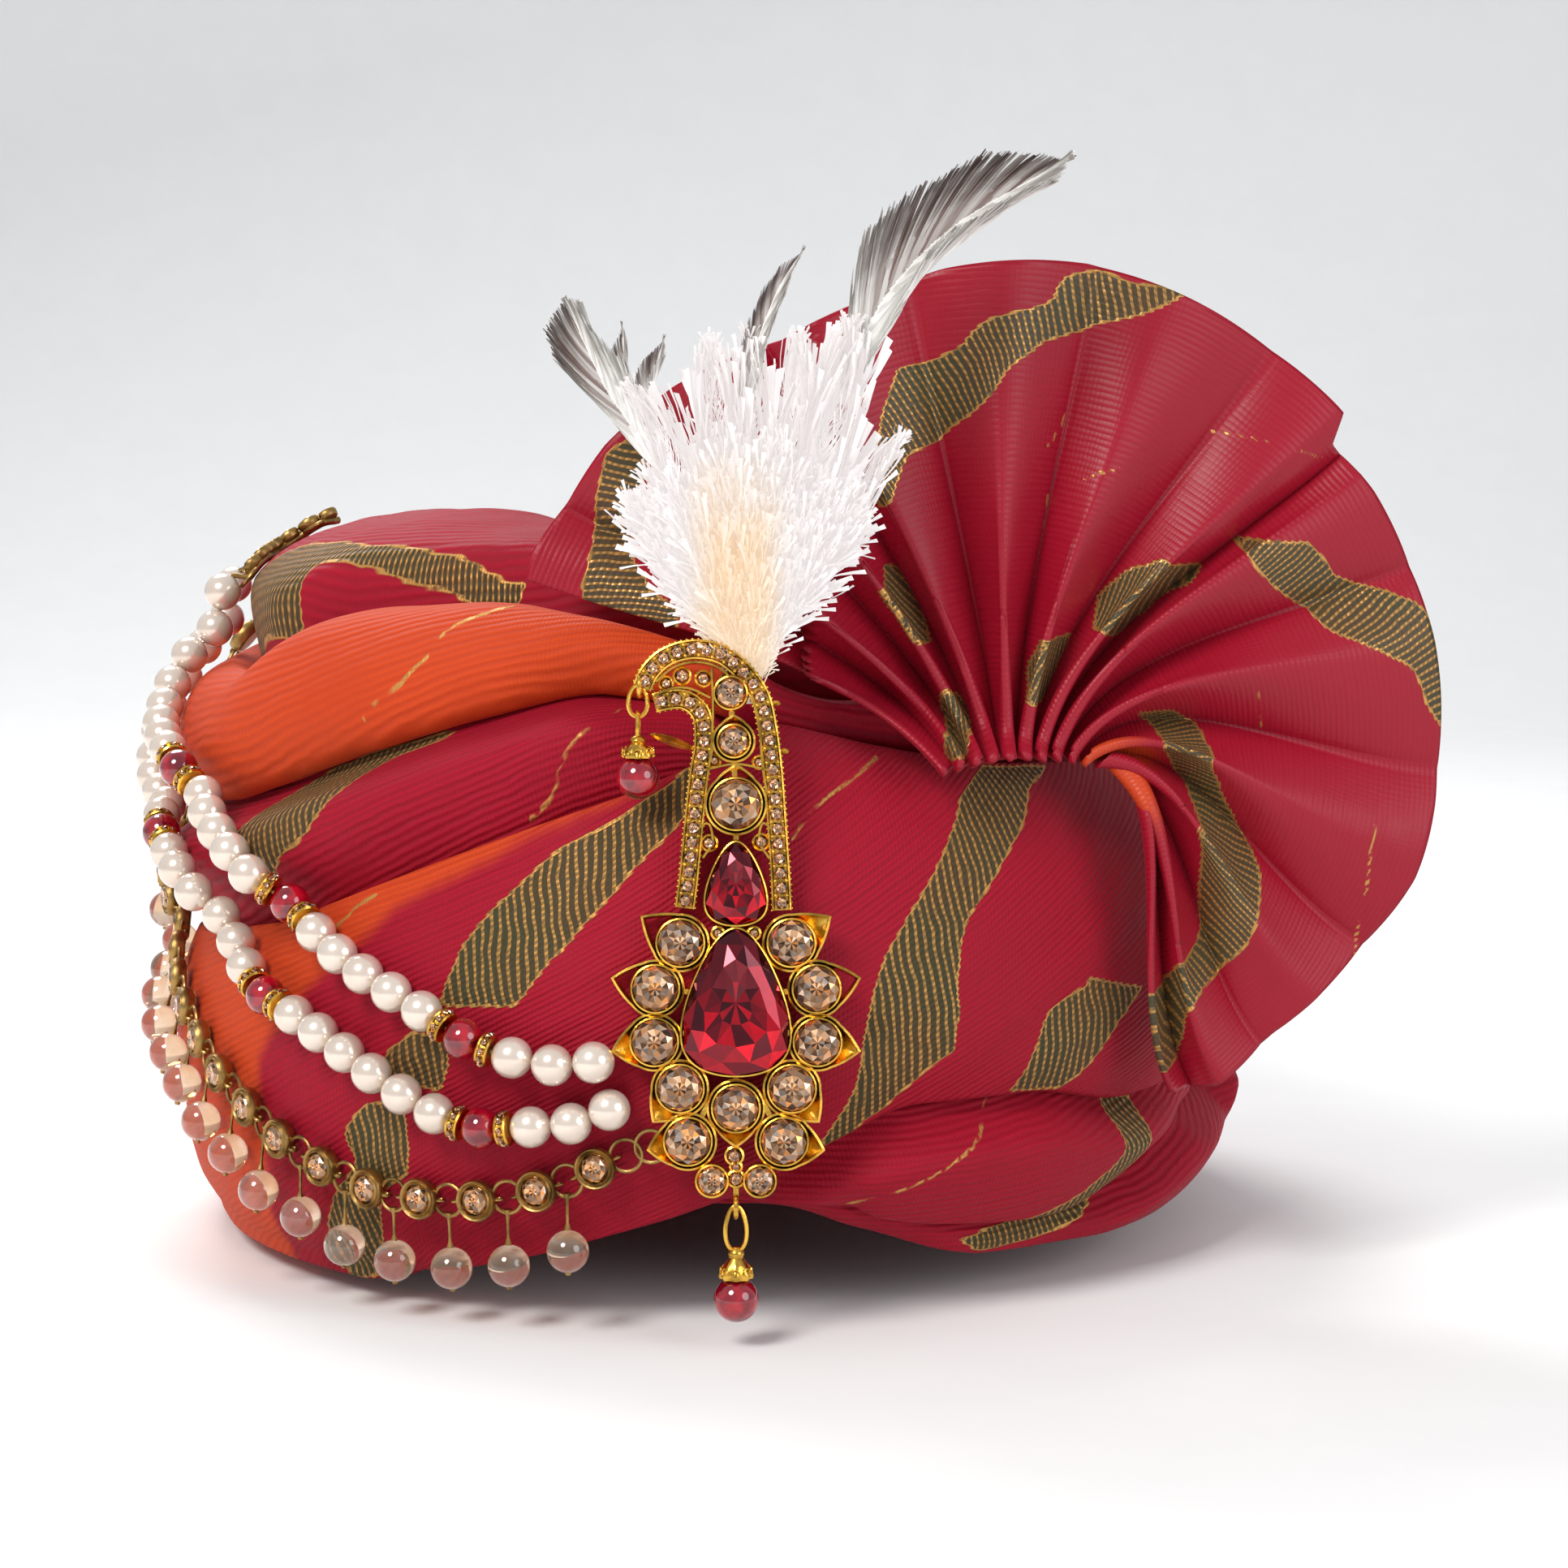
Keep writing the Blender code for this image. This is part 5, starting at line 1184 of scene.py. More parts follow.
def wire(heap, path, radii, sides=8, closed=False):
    """A round wire along points in space, with a radius at each."""
    path = np.asarray(path, float)
    along = headings(path, closed)
    radii = np.broadcast_to(radii, len(path))
    side = np.array([0.31, 0.17, 0.94])
    loops = []
    for point, forward, radius in zip(path, along, radii):
        side = side - forward * (side @ forward)
        side = side / np.linalg.norm(side)
        loops.append(circle(point, radius, side, np.cross(forward, side), sides))
    heap.bridge(loops, closed)


def round_outline(radius, sides):
    """A round as a function: grown, shrunk to a share, or turned by a part of a side."""
    def outline(grow=0.0, share=1.0, start=0.0):
        turn = (np.arange(sides) + start) * math.tau / sides
        return (radius + grow) * share * np.stack([np.cos(turn), np.sin(turn)], -1)
    return outline


def pear_outline(width, height, sides):
    """A pear with its narrow end up."""
    def outline(grow=0.0, share=1.0, start=0.0):
        turn = (np.arange(sides) + start) * math.tau / sides + math.pi / 2
        squeeze = 1 - 0.42 * (1 + np.sin(turn)) / 2
        lower = 0.10 * height * np.cos(turn) ** 2
        across = (width / 2 + grow) * np.cos(turn) * squeeze / 0.83
        return np.stack([across, (height / 2 + grow) * np.sin(turn) - lower], -1) * share
    return outline


BEZEL = [(0.00060, 0.0), (0.00062, 0.0012), (0.00055, 0.0022), (0.00036, 0.0028), (0.00006, 0.0029),
         (-0.00014, 0.0025), (0.00004, 0.0010), (0.00004, 0.0)]


def bezel(heap, centre, outline, profile=BEZEL):
    """A ring of a section, given as growth and height, round an outline."""
    loops = [[(centre[0] + x, centre[1] + y, high) for x, y in outline(grow)] for grow, high in profile]
    heap.bridge(loops, True)


def leaf_line(centre, radius, heading, reach):
    """A round that runs out into a point, as a closed line."""
    spread = math.acos(radius / reach)
    turn = heading + spread + (math.tau - 2 * spread) * np.linspace(0, 1, 31)
    arc = np.stack([radius * np.cos(turn), radius * np.sin(turn)], -1)
    tip = np.array([reach * math.cos(heading), reach * math.sin(heading)])
    share = np.linspace(0, 1, 8)[1:, None]
    swell = 0.30 * radius * share * (1 - share)
    unit = tip / reach
    to_tip = arc[-1] + (tip - arc[-1]) * share + swell * np.array([unit[1], -unit[0]])
    from_tip = tip + (arc[0] - tip) * share[:-1] + swell[:-1] * np.array([-unit[1], unit[0]])
    return np.concatenate([arc, to_tip, from_tip]) + np.array(centre)


def gilt(name, tone, rough):
    """Gilded brass: polished, with a fine cast grain and darker, browner patches of painted shade for the
    hollows, laid at random by noise.
    """
    metal = Finish(name, Metallic=1.0)
    cast = metal.noise(900.0, 3.0)
    # Painted shade: noise, not the hollows themselves, places the darker tone.
    shade_patches = metal.noise(240.0, 3.0)
    dark = tuple(0.45 * c for c in tone)
    metal.set(
        Base_Color=metal.mix(metal.step(shade_patches, 0.30, 0.62), dark, tone),
        Roughness=rough + cast * 0.16,
        Normal=metal.bump(cast, 0.00012, 0.6),
    )
    return metal.material


gold = gilt("gilded_brass", (0.90, 0.53, 0.085), 0.15)
casting = Heap()
granules = []


def beaded(line, height, pitch, grain):
    """Granules along a line in the brooch's plane."""
    walk = walked(line)
    for spot in np.arange(pitch / 2, walk[-1], pitch):
        granules.append((*(np.interp(spot, walk, line[:, i]) for i in (0, 1)), height, grain))


def leaf_dish(centre, radius, heading, reach, open_tip):
    """A petal's gilt leaf: a raised edge that slopes in to the bezel, or an open wire edge."""
    line = leaf_line(centre, radius + 0.0012, heading, reach)
    away = line - np.array(centre)
    far = np.linalg.norm(away, axis=1)[:, None]
    inner = np.array(centre) + away / far * (radius + 0.0004)
    wall = inner if not open_tip else line + (inner - line) * np.minimum(0.9, 0.0013 / (far - radius))
    edge = line + (inner - line) * np.minimum(0.6, 0.0006 / (far - radius))
    loops = [(line, 0.0004), (line, 0.0025), (edge, 0.0028), (edge * 0.7 + wall * 0.3, 0.0021),
             (wall, 0.0012), (wall, 0.0004)]
    casting.bridge([[(x, y, high) for x, y in points] for points, high in loops], True)


FLAT_BAR = [(-0.0007, 0.0003), (0.0007, 0.0003), (0.0005, 0.0013), (-0.0005, 0.0013)]
THIN_RIDGE = [(-0.00035, 0.0006), (0.00035, 0.0006), (0.0002, 0.0025), (-0.0002, 0.0025)]
round_places = [((side * x, y), PETAL) for x, y, _, _ in PETALS for side in (-1, 1)]
round_places += [(CENTRE_PETAL, PETAL), (STEM_LOWER, STEM_LOWER_RADIUS)]
round_places += [(spot, STEM_RADIUS) for spot in STEM] + [(spot, FOOT_RADIUS) for spot in FEET]
for centre, radius in round_places:
    bezel(casting, centre, round_outline(radius, 36))
for place, size, sides in (((0.0, 0.0), LARGE_PEAR, 64), (SMALL_PEAR_PLACE, SMALL_PEAR, 48)):
    bezel(casting, place, pear_outline(*size, sides))
for number, (x, y, heading, reach) in enumerate(PETALS):
    for side in (-1, 1):
        tip = math.radians(heading if side > 0 else 180 - heading)
        leaf_dish((side * x, y), PETAL, tip, reach, side < 0 and number < 2 or number == 1)
        moulding(casting, np.array([(side * x, y), (side * x * 0.55, y * 0.72)]), FLAT_BAR)
        moulding(casting, np.array([(side * x, y), (side * x * 0.9, y - 0.0052)]), FLAT_BAR)
leaf_dish(CENTRE_PETAL, PETAL, math.radians(-90), 0.0074, False)
leaf_dish(STEM_LOWER, STEM_LOWER_RADIUS, math.radians(90), 0.0076, True)
leaf_dish(STEM[0], STEM_RADIUS, math.radians(90), 0.0050, False)
spine = np.array([(0.0, -EYE_DOWN + 0.0017), (0.0, -0.030), CENTRE_PETAL, (0.0, 0.0), STEM_LOWER, STEM[1]])
moulding(casting, spine, FLAT_BAR)
RAIL_BED = [(-0.0017, 0.0003), (0.0017, 0.0003), (0.0019, 0.0014), (0.0018, 0.0023), (0.0015, 0.0024),
            (0.00125, 0.0016), (-0.00125, 0.0016), (-0.0015, 0.0024), (-0.0018, 0.0023), (-0.0019, 0.0014)]
PAVE_PITCH = 0.00275
PRONG_SHIFT, MILLED_SHIFT = 0.00105, 0.0019
pave = []
for rail in (OUTER_RAIL, INNER_RAIL):
    line = curve_through(rail, 90)
    moulding(casting, line, RAIL_BED)
    side = sideways(line)
    walk = walked(line)
    stones = round(walk[-1] / PAVE_PITCH)
    for number in range(2 * stones - 1):
        spot = walk[-1] * (number + 1) / (2 * stones)
        middle = np.array([np.interp(spot, walk, line[:, i]) for i in (0, 1)])
        across = np.array([np.interp(spot, walk, side[:, i]) for i in (0, 1)])
        if number % 2 == 0:
            pave.append((*middle, 0.0014, 0.00134))
        else:
            for shift in (-PRONG_SHIFT, PRONG_SHIFT):
                granules.append((*(middle + across * shift), 0.0023, 0.00044))
    for shift in (-MILLED_SHIFT, MILLED_SHIFT):
        beaded(line + side * shift, 0.0013, 0.0011, 0.00028)
SMALL_BEZEL = [(0.0004, 0.0003), (0.0005, 0.0019), (0.0001, 0.0022), (-0.0001, 0.0018), (0.0, 0.0003)]
for x, y, radius in ((-0.0101, 0.0611, 0.0013), (-0.0061, 0.0606, 0.0012), (-0.0131, 0.0597, 0.0010),
                     (0.0043, 0.0449, 0.0009), (-0.0041, 0.0452, 0.0009), (0.0047, 0.0300, 0.0012),
                     (-0.0050, 0.0298, 0.0012)):
    pave.append((x, y, 0.0014, radius))
    bezel(casting, (x, y), round_outline(radius, 16), SMALL_BEZEL)
for bow in (
    [(-0.0153, 0.0575), (-0.0118, 0.0588), (-0.0085, 0.0587), (-0.0048, 0.0570)],
    [(-0.0150, 0.0600), (-0.0115, 0.0628), (-0.0072, 0.0637), (-0.0030, 0.0625), (0.0005, 0.0590)],
    [(-0.0046, 0.0625), (-0.0043, 0.0560), (-0.0046, 0.0480), (-0.0056, 0.0400)],
    [(0.0030, 0.0575), (0.0044, 0.0520), (0.0049, 0.0450), (0.0058, 0.0390)],
    [(-0.0078, 0.0320), (-0.0052, 0.0335), (-0.0044, 0.0300), (-0.0062, 0.0270)],
    [(0.0072, 0.0320), (0.0050, 0.0335), (0.0044, 0.0300), (0.0062, 0.0270)],
    [(-0.0072, 0.0430), (-0.0046, 0.0438), (0.0, 0.0446), (0.0046, 0.0438), (0.0072, 0.0430)],
):
    moulding(casting, curve_through(bow, 16), THIN_RIDGE)
# Little pointed ridges: place, slope, half length, half width
RIDGE_PLACES = [
    (-0.0119, 0.0488, -0.34, 0.0042, 0.0008), (-0.0012, 0.0613, 0.4, 0.0022, 0.0009),
    (-0.0075, 0.0575, 0.2, 0.0020, 0.0007), (0.0074, 0.0560, 0.0, 0.0010, 0.0004),
    (0.0090, 0.0470, 0.0, 0.0010, 0.0004),
]
for x, y, slope, length, wide in RIDGE_PLACES:
    loops = []
    for s in np.linspace(-1, 1, 13):
        half = wide * (1 - s * s) ** 0.7 + 0.0001
        across, up = x + length * s, y + length * s * slope
        loops.append([(across, up - half, 0.0012), (across, up, 0.0012 + half * 1.1),
                      (across, up + half, 0.0012), (across, up, 0.0007)])
    casting.bridge(loops, False)
FOOT_BEZEL = [(0.0005, 0.0004), (0.0005, 0.0020), (0.0001, 0.0022), (-0.0001, 0.0018), (0.0, 0.0004)]
for x, y, radius in ((-0.0003, -0.0288, 0.0014), (0.0, -0.0331, 0.0013), (0.0, -0.0309, 0.0008),
                     (-0.0034, 0.0129, 0.0009), (0.0034, 0.0129, 0.0009)):
    pave.append((x, y, 0.0016, radius))
    bezel(casting, (x, y), round_outline(radius, 14), FOOT_BEZEL)
EYE_RADIUS, EYE_WIRE = 0.0019, 0.00048
for x, y in ((0.0, -EYE_DOWN), (-0.0181, 0.0591)):
    wire(casting, circle((x, y, PLATE), EYE_RADIUS, (0, 1, 0), (0, 0, 1), 24), EYE_WIRE, 8, True)


def repeat_tree():
    """The one tree that sets a prototype on points: turned, scaled and given its finish."""
    group = bpy.data.node_groups.new("set_on_points", "GeometryNodeTree")
    for name, kind in (("Points", "Geometry"), ("Prototype", "Object"), ("Size", "Float"),
                       ("Finish", "Material")):
        group.interface.new_socket(name, in_out="INPUT", socket_type="NodeSocket" + kind)
    group.interface.new_socket("Pieces", in_out="OUTPUT", socket_type="NodeSocketGeometry")
    tree = Tree(group)
    enter = group.nodes.new("NodeGroupInput")
    given = {socket.name: Socket(tree, socket) for socket in enter.outputs if socket.name}
    turn = tree.node("GeometryNodeInputNamedAttribute", {"data_type": "FLOAT_VECTOR"}, {"Name": "turn"})
    scale = tree.node("GeometryNodeInputNamedAttribute", {"data_type": "FLOAT"}, {"Name": "scale"})
    shape = tree.node("GeometryNodeObjectInfo", {"transform_space": "ORIGINAL"},
                      {"Object": given["Prototype"]}, output="Geometry")
    sized = tree.node("ShaderNodeMath", {"operation": "MULTIPLY"}, {0: scale, 1: given["Size"]})
    turned = tree.node("FunctionNodeEulerToRotation", None, {"Euler": turn})
    placed = tree.node("GeometryNodeInstanceOnPoints", None, {
        "Points": given["Points"], "Instance": shape, "Rotation": turned, "Scale": sized,
    })
    real = tree.node("GeometryNodeRealizeInstances", None, {"Geometry": placed})
    finished = tree.node("GeometryNodeSetMaterial", None, {"Geometry": real, "Material": given["Finish"]})
    tree.feed(group.nodes.new("NodeGroupOutput").inputs["Pieces"], finished)
    return group


SET_ON_POINTS = repeat_tree()


def repeated(name, rows, prototype, material, size=1.0):
    """A plain mesh of a prototype at each row's place, turn and scale."""
    points = bpy.data.meshes.new(name + "_points")
    points.from_pydata([tuple(row[0]) for row in rows], [], [])
    turns_flat = [value for row in rows for value in row[1]]
    points.attributes.new("turn", "FLOAT_VECTOR", "POINT").data.foreach_set("vector", turns_flat)
    points.attributes.new("scale", "FLOAT", "POINT").data.foreach_set("value", [row[2] for row in rows])
    tints = [row[3] if len(row) > 3 else 0.0 for row in rows]
    points.attributes.new("tint", "FLOAT", "POINT").data.foreach_set("value", tints)
    carrier = add_object(name + "_points", points)
    setting = carrier.modifiers.new("set", "NODES")
    setting.node_group = SET_ON_POINTS
    given = {"Prototype": prototype, "Size": size, "Finish": material}
    for socket in SET_ON_POINTS.interface.items_tree:
        if socket.in_out == "INPUT" and socket.name in given:
            setting[socket.identifier] = given[socket.name]
    bpy.context.view_layer.update()
    evaluated = carrier.evaluated_get(bpy.context.evaluated_depsgraph_get())
    mesh = bpy.data.meshes.new_from_object(evaluated)
    mesh.name = name
    bpy.data.objects.remove(carrier, do_unlink=True)
    bpy.data.objects.remove(prototype, do_unlink=True)
    return mesh


def ball(name):
    """A granule to be set many times."""
    bm = bmesh.new()
    bmesh.ops.create_icosphere(bm, subdivisions=1, radius=1.0)
    mesh = bpy.data.meshes.new(name)
    bm.to_mesh(mesh)
    bm.free()
    mesh.shade_smooth()
    return add_object(name, mesh)


lean_turn = tuple(brooch_axes.to_euler())
granule_rows = [(BROOCH @ Vector(row[:3]), lean_turn, row[3]) for row in granules]
granule_mesh = repeated("brooch_granules", granule_rows, ball("granule"), gold)
frame_mesh = casting.mesh("brooch_casting", gold, BROOCH)
piece("brooch_casting", frame_mesh, "gold", "brooch_frame")
piece("brooch_granules", granule_mesh, "gold")
# The pin is a plain bar behind the plate, shown at the middle of its own length
PIN_SHARE = 0.34
pin = bpy.data.objects["brooch_pin"]
pin_spots = np.array([pin.matrix_world @ vertex.co for vertex in pin.data.vertices])
pin_low, pin_high = pin_spots.min(0), pin_spots.max(0)
pin_size = pin_high - pin_low
pin_way = np.eye(3)[np.argmax(pin_size)]
pin_reach = pin_size.max() * PIN_SHARE
clasp = Heap()
wire(clasp, [(pin_low + pin_high) / 2 + pin_way * pin_reach * s for s in (-1, -0.9, 0, 0.9, 1)],
     np.array([0.3, 1, 1, 1, 0.6]) * np.sort(pin_size)[0] / 2, 12)
piece("brooch_pin_wire", clasp.mesh("brooch_pin_wire", gold), "gold", "brooch_pin")


# The cut stones
# Moulded glass, foiled behind: two red pears and champagne rounds, each faceted all over.
# They sit in the casting's bezels; the smallest are set in rows along the rails.

# The loops of facets: share of the outline, share of the height, turn in facets
CUT_ROWS = ((0.86, 0.0, 0.0), (1.0, 0.40, 0.0), (0.83, 0.74, 0.5), (0.60, 1.0, 0.0), (0.30, 0.93, 0.5))


def cut_stone(name, centre, outline, base, rise, material, seed, lift=None, matrix=None):
    """A stone of flat facets: girdle, rows of crown facets, and a mosaic in its table. Each
    face carries its glint, the tone of a painted reflection, which lift may brighten by its
    height up the stone."""
    rng = np.random.default_rng(seed)
    loops = [[(centre[0] + x, centre[1] + y, base + rise * high) for x, y in outline(0.0, share, start)]
             for share, high, start in CUT_ROWS]
    count = len(loops[0])
    faces = [tuple(range(count))[::-1]]
    tones = [0.2]
    for k in range(4):
        half = CUT_ROWS[k + 1][2] - CUT_ROWS[k][2]
        for i in range(count):
            j = (i + 1) % count
            a, b, c, d = k * count + i, k * count + j, (k + 1) * count + i, (k + 1) * count + j
            # Painted reflections: neighbouring facets alternate light and dark, with some at random.
            beat = 0.62 if i % 2 else 0.18
            if half == 0:
                faces.append((a, b, d, c))
                tones.append(0.25)
            elif half > 0:
                faces += [(a, b, c), (b, d, c)]
                tones += [beat + rng.uniform(-0.2, 0.4), 0.8 - beat + rng.uniform(-0.2, 0.3)]
            else:
                faces += [(a, b, d), (a, d, c)]
                tones += [beat + rng.uniform(-0.2, 0.3), 0.8 - beat + rng.uniform(-0.2, 0.4)]
    peak = 5 * count
    for i in range(count):
        faces.append((4 * count + i, 4 * count + (i + 1) % count, peak))
        tones.append((0.9 if i % 2 else 0.1) + rng.uniform(-0.15, 0.15))
    heap = Heap()
    heap.add([p for loop in loops for p in loop] + [(centre[0], centre[1], base + rise * 0.86)], faces)
    if lift:
        tones = [tone * lift(np.mean([heap.points[i][1] for i in face]) - centre[1])
                 for face, tone in zip(faces, tones)]
    mesh = heap.mesh(name, material, matrix, smooth=False)
    mesh.attributes.new("glint", "FLOAT", "FACE").data.foreach_set("value", tones)
    return mesh


def foiled_glass(name, stops):
    """Foil-backed glass: each facet's colour is a painted reflection, chosen by its glint."""
    glass = Finish(name, Metallic=0.85, Roughness=0.05, Coat_Weight=0.6, Coat_Roughness=0.02, IOR=1.45)
    tone = glass.read("glint") + (glass.noise(600.0, 2.0) - 0.5) * 0.25
    glass.set(Base_Color=glass.node("ShaderNodeValToRGB", {"stops": stops}, {0: tone}))
    return glass.material


champagne = foiled_glass("champagne_glass", [
    (0.0, (0.06, 0.028, 0.014)), (0.20, (0.24, 0.11, 0.045)), (0.42, (0.54, 0.28, 0.125)),
    (0.60, (0.28, 0.23, 0.21)), (0.80, (0.80, 0.54, 0.34)), (1.0, (0.94, 0.34, 0.08)),
])
ruby = foiled_glass("ruby_glass", [
    (0.0, (0.07, 0.0, 0.006)), (0.38, (0.22, 0.0, 0.010)), (0.74, (0.50, 0.0, 0.013)),
    (1.0, (0.95, 0.0, 0.02)),
])


def set_stone(name, node, centre, outline, rise, material, slot, seed, lift=None):
    """A large stone, cut in its place on the brooch."""
    piece(name, cut_stone(name, centre, outline, STONE_BASE, rise, material, seed, lift, BROOCH), slot, node)


def brighter_below(reach):
    """A pear's painted glints, dark in its neck and bright in its belly, as painted light passing through
    it.
    """
    return lambda up: 0.35 + 0.75 * smooth_step(0.5 - up / reach)


set_stone("pear_large_cut", "pear_stone_large", (0.0, 0.0), pear_outline(*LARGE_PEAR, 12), 0.0040, ruby,
          "red_stone", 3, brighter_below(0.012))
set_stone("pear_small_cut", "pear_stone_small", SMALL_PEAR_PLACE, pear_outline(*SMALL_PEAR, 10), 0.0034,
          ruby, "red_stone", 5, brighter_below(0.008))
stone_nodes = [f"petal_stone_{i}" for i in range(1, 12)]
stone_nodes += ["stem_stone_lower_1", "stem_stone_1", "stem_stone_2", "foot_stone_1", "foot_stone_2"]
for number, (node, (centre, radius)) in enumerate(zip(stone_nodes, round_places)):
    set_stone(node + "_cut", node, centre, round_outline(radius, 12), radius * 0.62, champagne,
              "champagne_stone", 20 + number)


def small_stone(name, seed, radius=1.0, sides=6, base=0.0, rise=1.1):
    """A champagne stone to be set many times."""
    outline = round_outline(radius, sides)
    return add_object(name, cut_stone(name, (0.0, 0.0), outline, base, rise, champagne, seed))


rng = np.random.default_rng(8)
pave_rows = []
for x, y, height, radius in pave:
    spin = brooch_axes @ Matrix.Rotation(rng.uniform(0, math.pi), 3, "Z")
    pave_rows.append((BROOCH @ Vector((x, y, height)), tuple(spin.to_euler()), radius))
pave_mesh = repeated("pave_stones", pave_rows, small_stone("tiny_stone", 9), champagne)
piece("pave_stones", pave_mesh, "champagne_stone")


# The two drops
# A red bead under a pierced gilt cap, hung by soldered wire links: a small one from the
# curl of the brooch and the main one from its foot, which swings on the brooch's eye.

ruby_bead = Finish("red_bead_gloss", Roughness=0.10, Coat_Weight=1.0, Coat_Roughness=0.03)
streak = ruby_bead.step(ruby_bead.noise(320.0, 4.0), 0.35, 0.70)
ruby_bead.set(Base_Color=ruby_bead.mix(streak, (0.13, 0.0, 0.008), (0.44, 0.003, 0.016)))


def loop_line(top, length, half):
    """A closed wire link that hangs from its top, narrow above and wider below."""
    turn = np.arange(48) * math.tau / 48
    across = half * np.sin(turn) * (1 - 0.15 * np.cos(turn))
    return np.stack([top[0] + across, top[1] + 0 * turn, top[2] - length / 2 * (1 - np.cos(turn))], -1)


LOBES = 8


def lathe(heap, centre, profile, sides, scallop=0.0):
    """A turned shell about the vertical, its radius waved by lobes."""
    turn = np.arange(sides) * math.tau / sides
    loops = []
    for radius, height, wave in profile:
        reach = radius * (1 + scallop * wave * np.cos(turn * LOBES))
        loops.append(np.stack([centre[0] + reach * np.cos(turn), centre[1] + reach * np.sin(turn),
                               np.full(sides, centre[2] + height)], -1))
    heap.bridge(loops, False)


BEAD_HOLE = 0.0006


def bead_rows(radius, rings):
    start = math.asin(BEAD_HOLE / radius)
    turn = np.linspace(start, math.pi - start, rings)
    return [(radius * math.sin(t), -radius * math.cos(t), 0.0) for t in turn]


def drop_pieces(kind, top, link, cap, bead, body, links):
    """A drop that hangs from its top: wire links, a scalloped cap with eyelets, and a bead."""
    heap = Heap()
    reach = link + 0.0006
    start = np.array(top) + np.array([0, 0, 0.0002])
    for number in range(links):
        length = reach / links + (0.0008 if number < links - 1 else 0.0)
        line = loop_line(start - np.array([0, 0, number * reach / links]), length, 0.0016 + 0.0004 / links)
        if number % 2:
            middle = line.mean(0)
            line = np.stack([middle[0] + (line[:, 1] - middle[1]), middle[1] + (line[:, 0] - middle[0]),
                             line[:, 2]], -1)
        wire(heap, line, 0.00042, 8, True)
    under = np.array(top) - np.array([0, 0, link - 0.0004])
    profile = [(0.0029, -cap, 1.0), (0.0031, -cap * 0.90, 1.0), (0.0028, -cap * 0.72, 0.4),
               (0.0020, -cap * 0.50, 0.0), (0.0013, -cap * 0.34, 0.0), (0.0016, -cap * 0.22, 0.0),
               (0.0014, -cap * 0.12, 0.0), (0.0006, 0.0, 0.0)]
    lathe(heap, under, profile, 48, 0.10)
    for k in range(LOBES):
        turn = math.tau * k / LOBES
        spoke, side = (math.cos(turn), math.sin(turn), 0), (-math.sin(turn), math.cos(turn), 0)
        middle = under + np.array(spoke) * 0.0029 - np.array([0, 0, cap * 0.74])
        wire(heap, circle(middle, 0.0007, side, (0, 0, 1), 12), 0.0002, 6, True)
    piece(kind + "_link_wire", heap.mesh(kind + "_link_wire", gold), "gold", kind + "_link", body=body)
    heap = Heap()
    centre = under - np.array([0, 0, cap + bead * 0.47])
    lathe(heap, centre, bead_rows(bead / 2, 20), 32)
    mesh = heap.mesh(kind + "_bead_gloss", ruby_bead.material)
    piece(kind + "_bead_gloss", mesh, "red_bead", kind + "_bead", body=body)


tip_hang = BROOCH @ Vector((-0.0184, 0.0591, PLATE))
drop_pieces("drop", drop_hinge, 0.0080, 0.0060, 0.0086, "drop", 1)
drop_pieces("tip_drop", tip_hang, 0.0095, 0.0042, 0.0082, "turban", 2)


# The two strings of pearls
# Glass pearls and red glass beads on a thread, each red bead between two gilt rondelles
# set with stones. They hang in swags from the brooch to a hook at the upper left.

PEARL = 0.0080
UPPER_ROUTE = [
    (-7.8, 0.395), (-10, 0.388), (-14, 0.383), (-20.5, 0.403), (-27, 0.450), (-35, 0.498), (-42.5, 0.553),
    (-49.5, 0.611), (-56, 0.653), (-65, 0.706), (-76, 0.744), (-82, 0.785), (-84, 0.830), (-85, 0.880),
    (-85, 0.915),
]
LOWER_ROUTE = [
    (-6.6, 0.330), (-8.5, 0.320), (-11.5, 0.300), (-15.5, 0.291), (-20.5, 0.284), (-25, 0.298), (-32, 0.350),
    (-40, 0.406), (-47.5, 0.442), (-53.5, 0.500), (-61, 0.578), (-72, 0.630), (-84, 0.675), (-90, 0.730),
    (-93, 0.785), (-94, 0.840), (-94, 0.895), (-93, 0.915),
]


BEAD_REACH = 0.0032


def cloth_top(angles, climbs):
    """The top of the cloth round each place, within a bead's reach."""
    reach = BEAD_REACH
    best = np.zeros_like(climbs)
    spread = math.degrees(reach / HALF_LENGTH)
    for turn in (-spread, 0.0, spread):
        for step in (-reach, 0.0, reach):
            for band in ALL_BANDS:
                best = np.maximum(best, band.top(angles + turn, climbs + step))
    return best


def laid_route(rows, lift, count):
    """A taut line over the cloth at a lift above it, with the cloth's normals along it."""
    fine = curve_through([(angle * DEGREE, climb * HEAD_DEPTH) for angle, climb in rows], count)
    angles, climbs = fine[:, :1] / DEGREE, fine[:, 1:]
    tops = cloth_top(angles, climbs)[:, 0]
    window = np.hanning(11) / np.hanning(11).sum()
    padded = np.pad(tops, 5, mode="edge")
    smooth = np.convolve(padded, window, "valid")
    heights = np.maximum(smooth, tops - 0.0004) + lift
    points = lifted(angles, climbs, heights[:, None])[:, 0]
    normals = cap_surface(angles, climbs)[1][:, 0]
    return points, normals


def spaced(path, normals, spots):
    """Places on a path at distances along it, each with a turn: Z out, X along."""
    walk, along = walked(path), headings(path)
    rows = []
    for spot in spots:
        point, forward, out = (
            Vector([np.interp(spot, walk, values[:, i]) for i in range(3)])
            for values in (path, along, normals)
        )
        forward.normalize()
        out = (out - forward * out.dot(forward)).normalized()
        rows.append((point, Matrix((forward, out.cross(forward), out)).transposed()))
    return rows


def turned_x(name, profile, sides, material):
    """A prototype turned about its own X axis."""
    heap = Heap()
    heap.bridge([circle((x, 0, 0), radius, (0, 1, 0), (0, 0, 1), sides) for x, radius in profile], False)
    return add_object(name, heap.mesh(name, material))


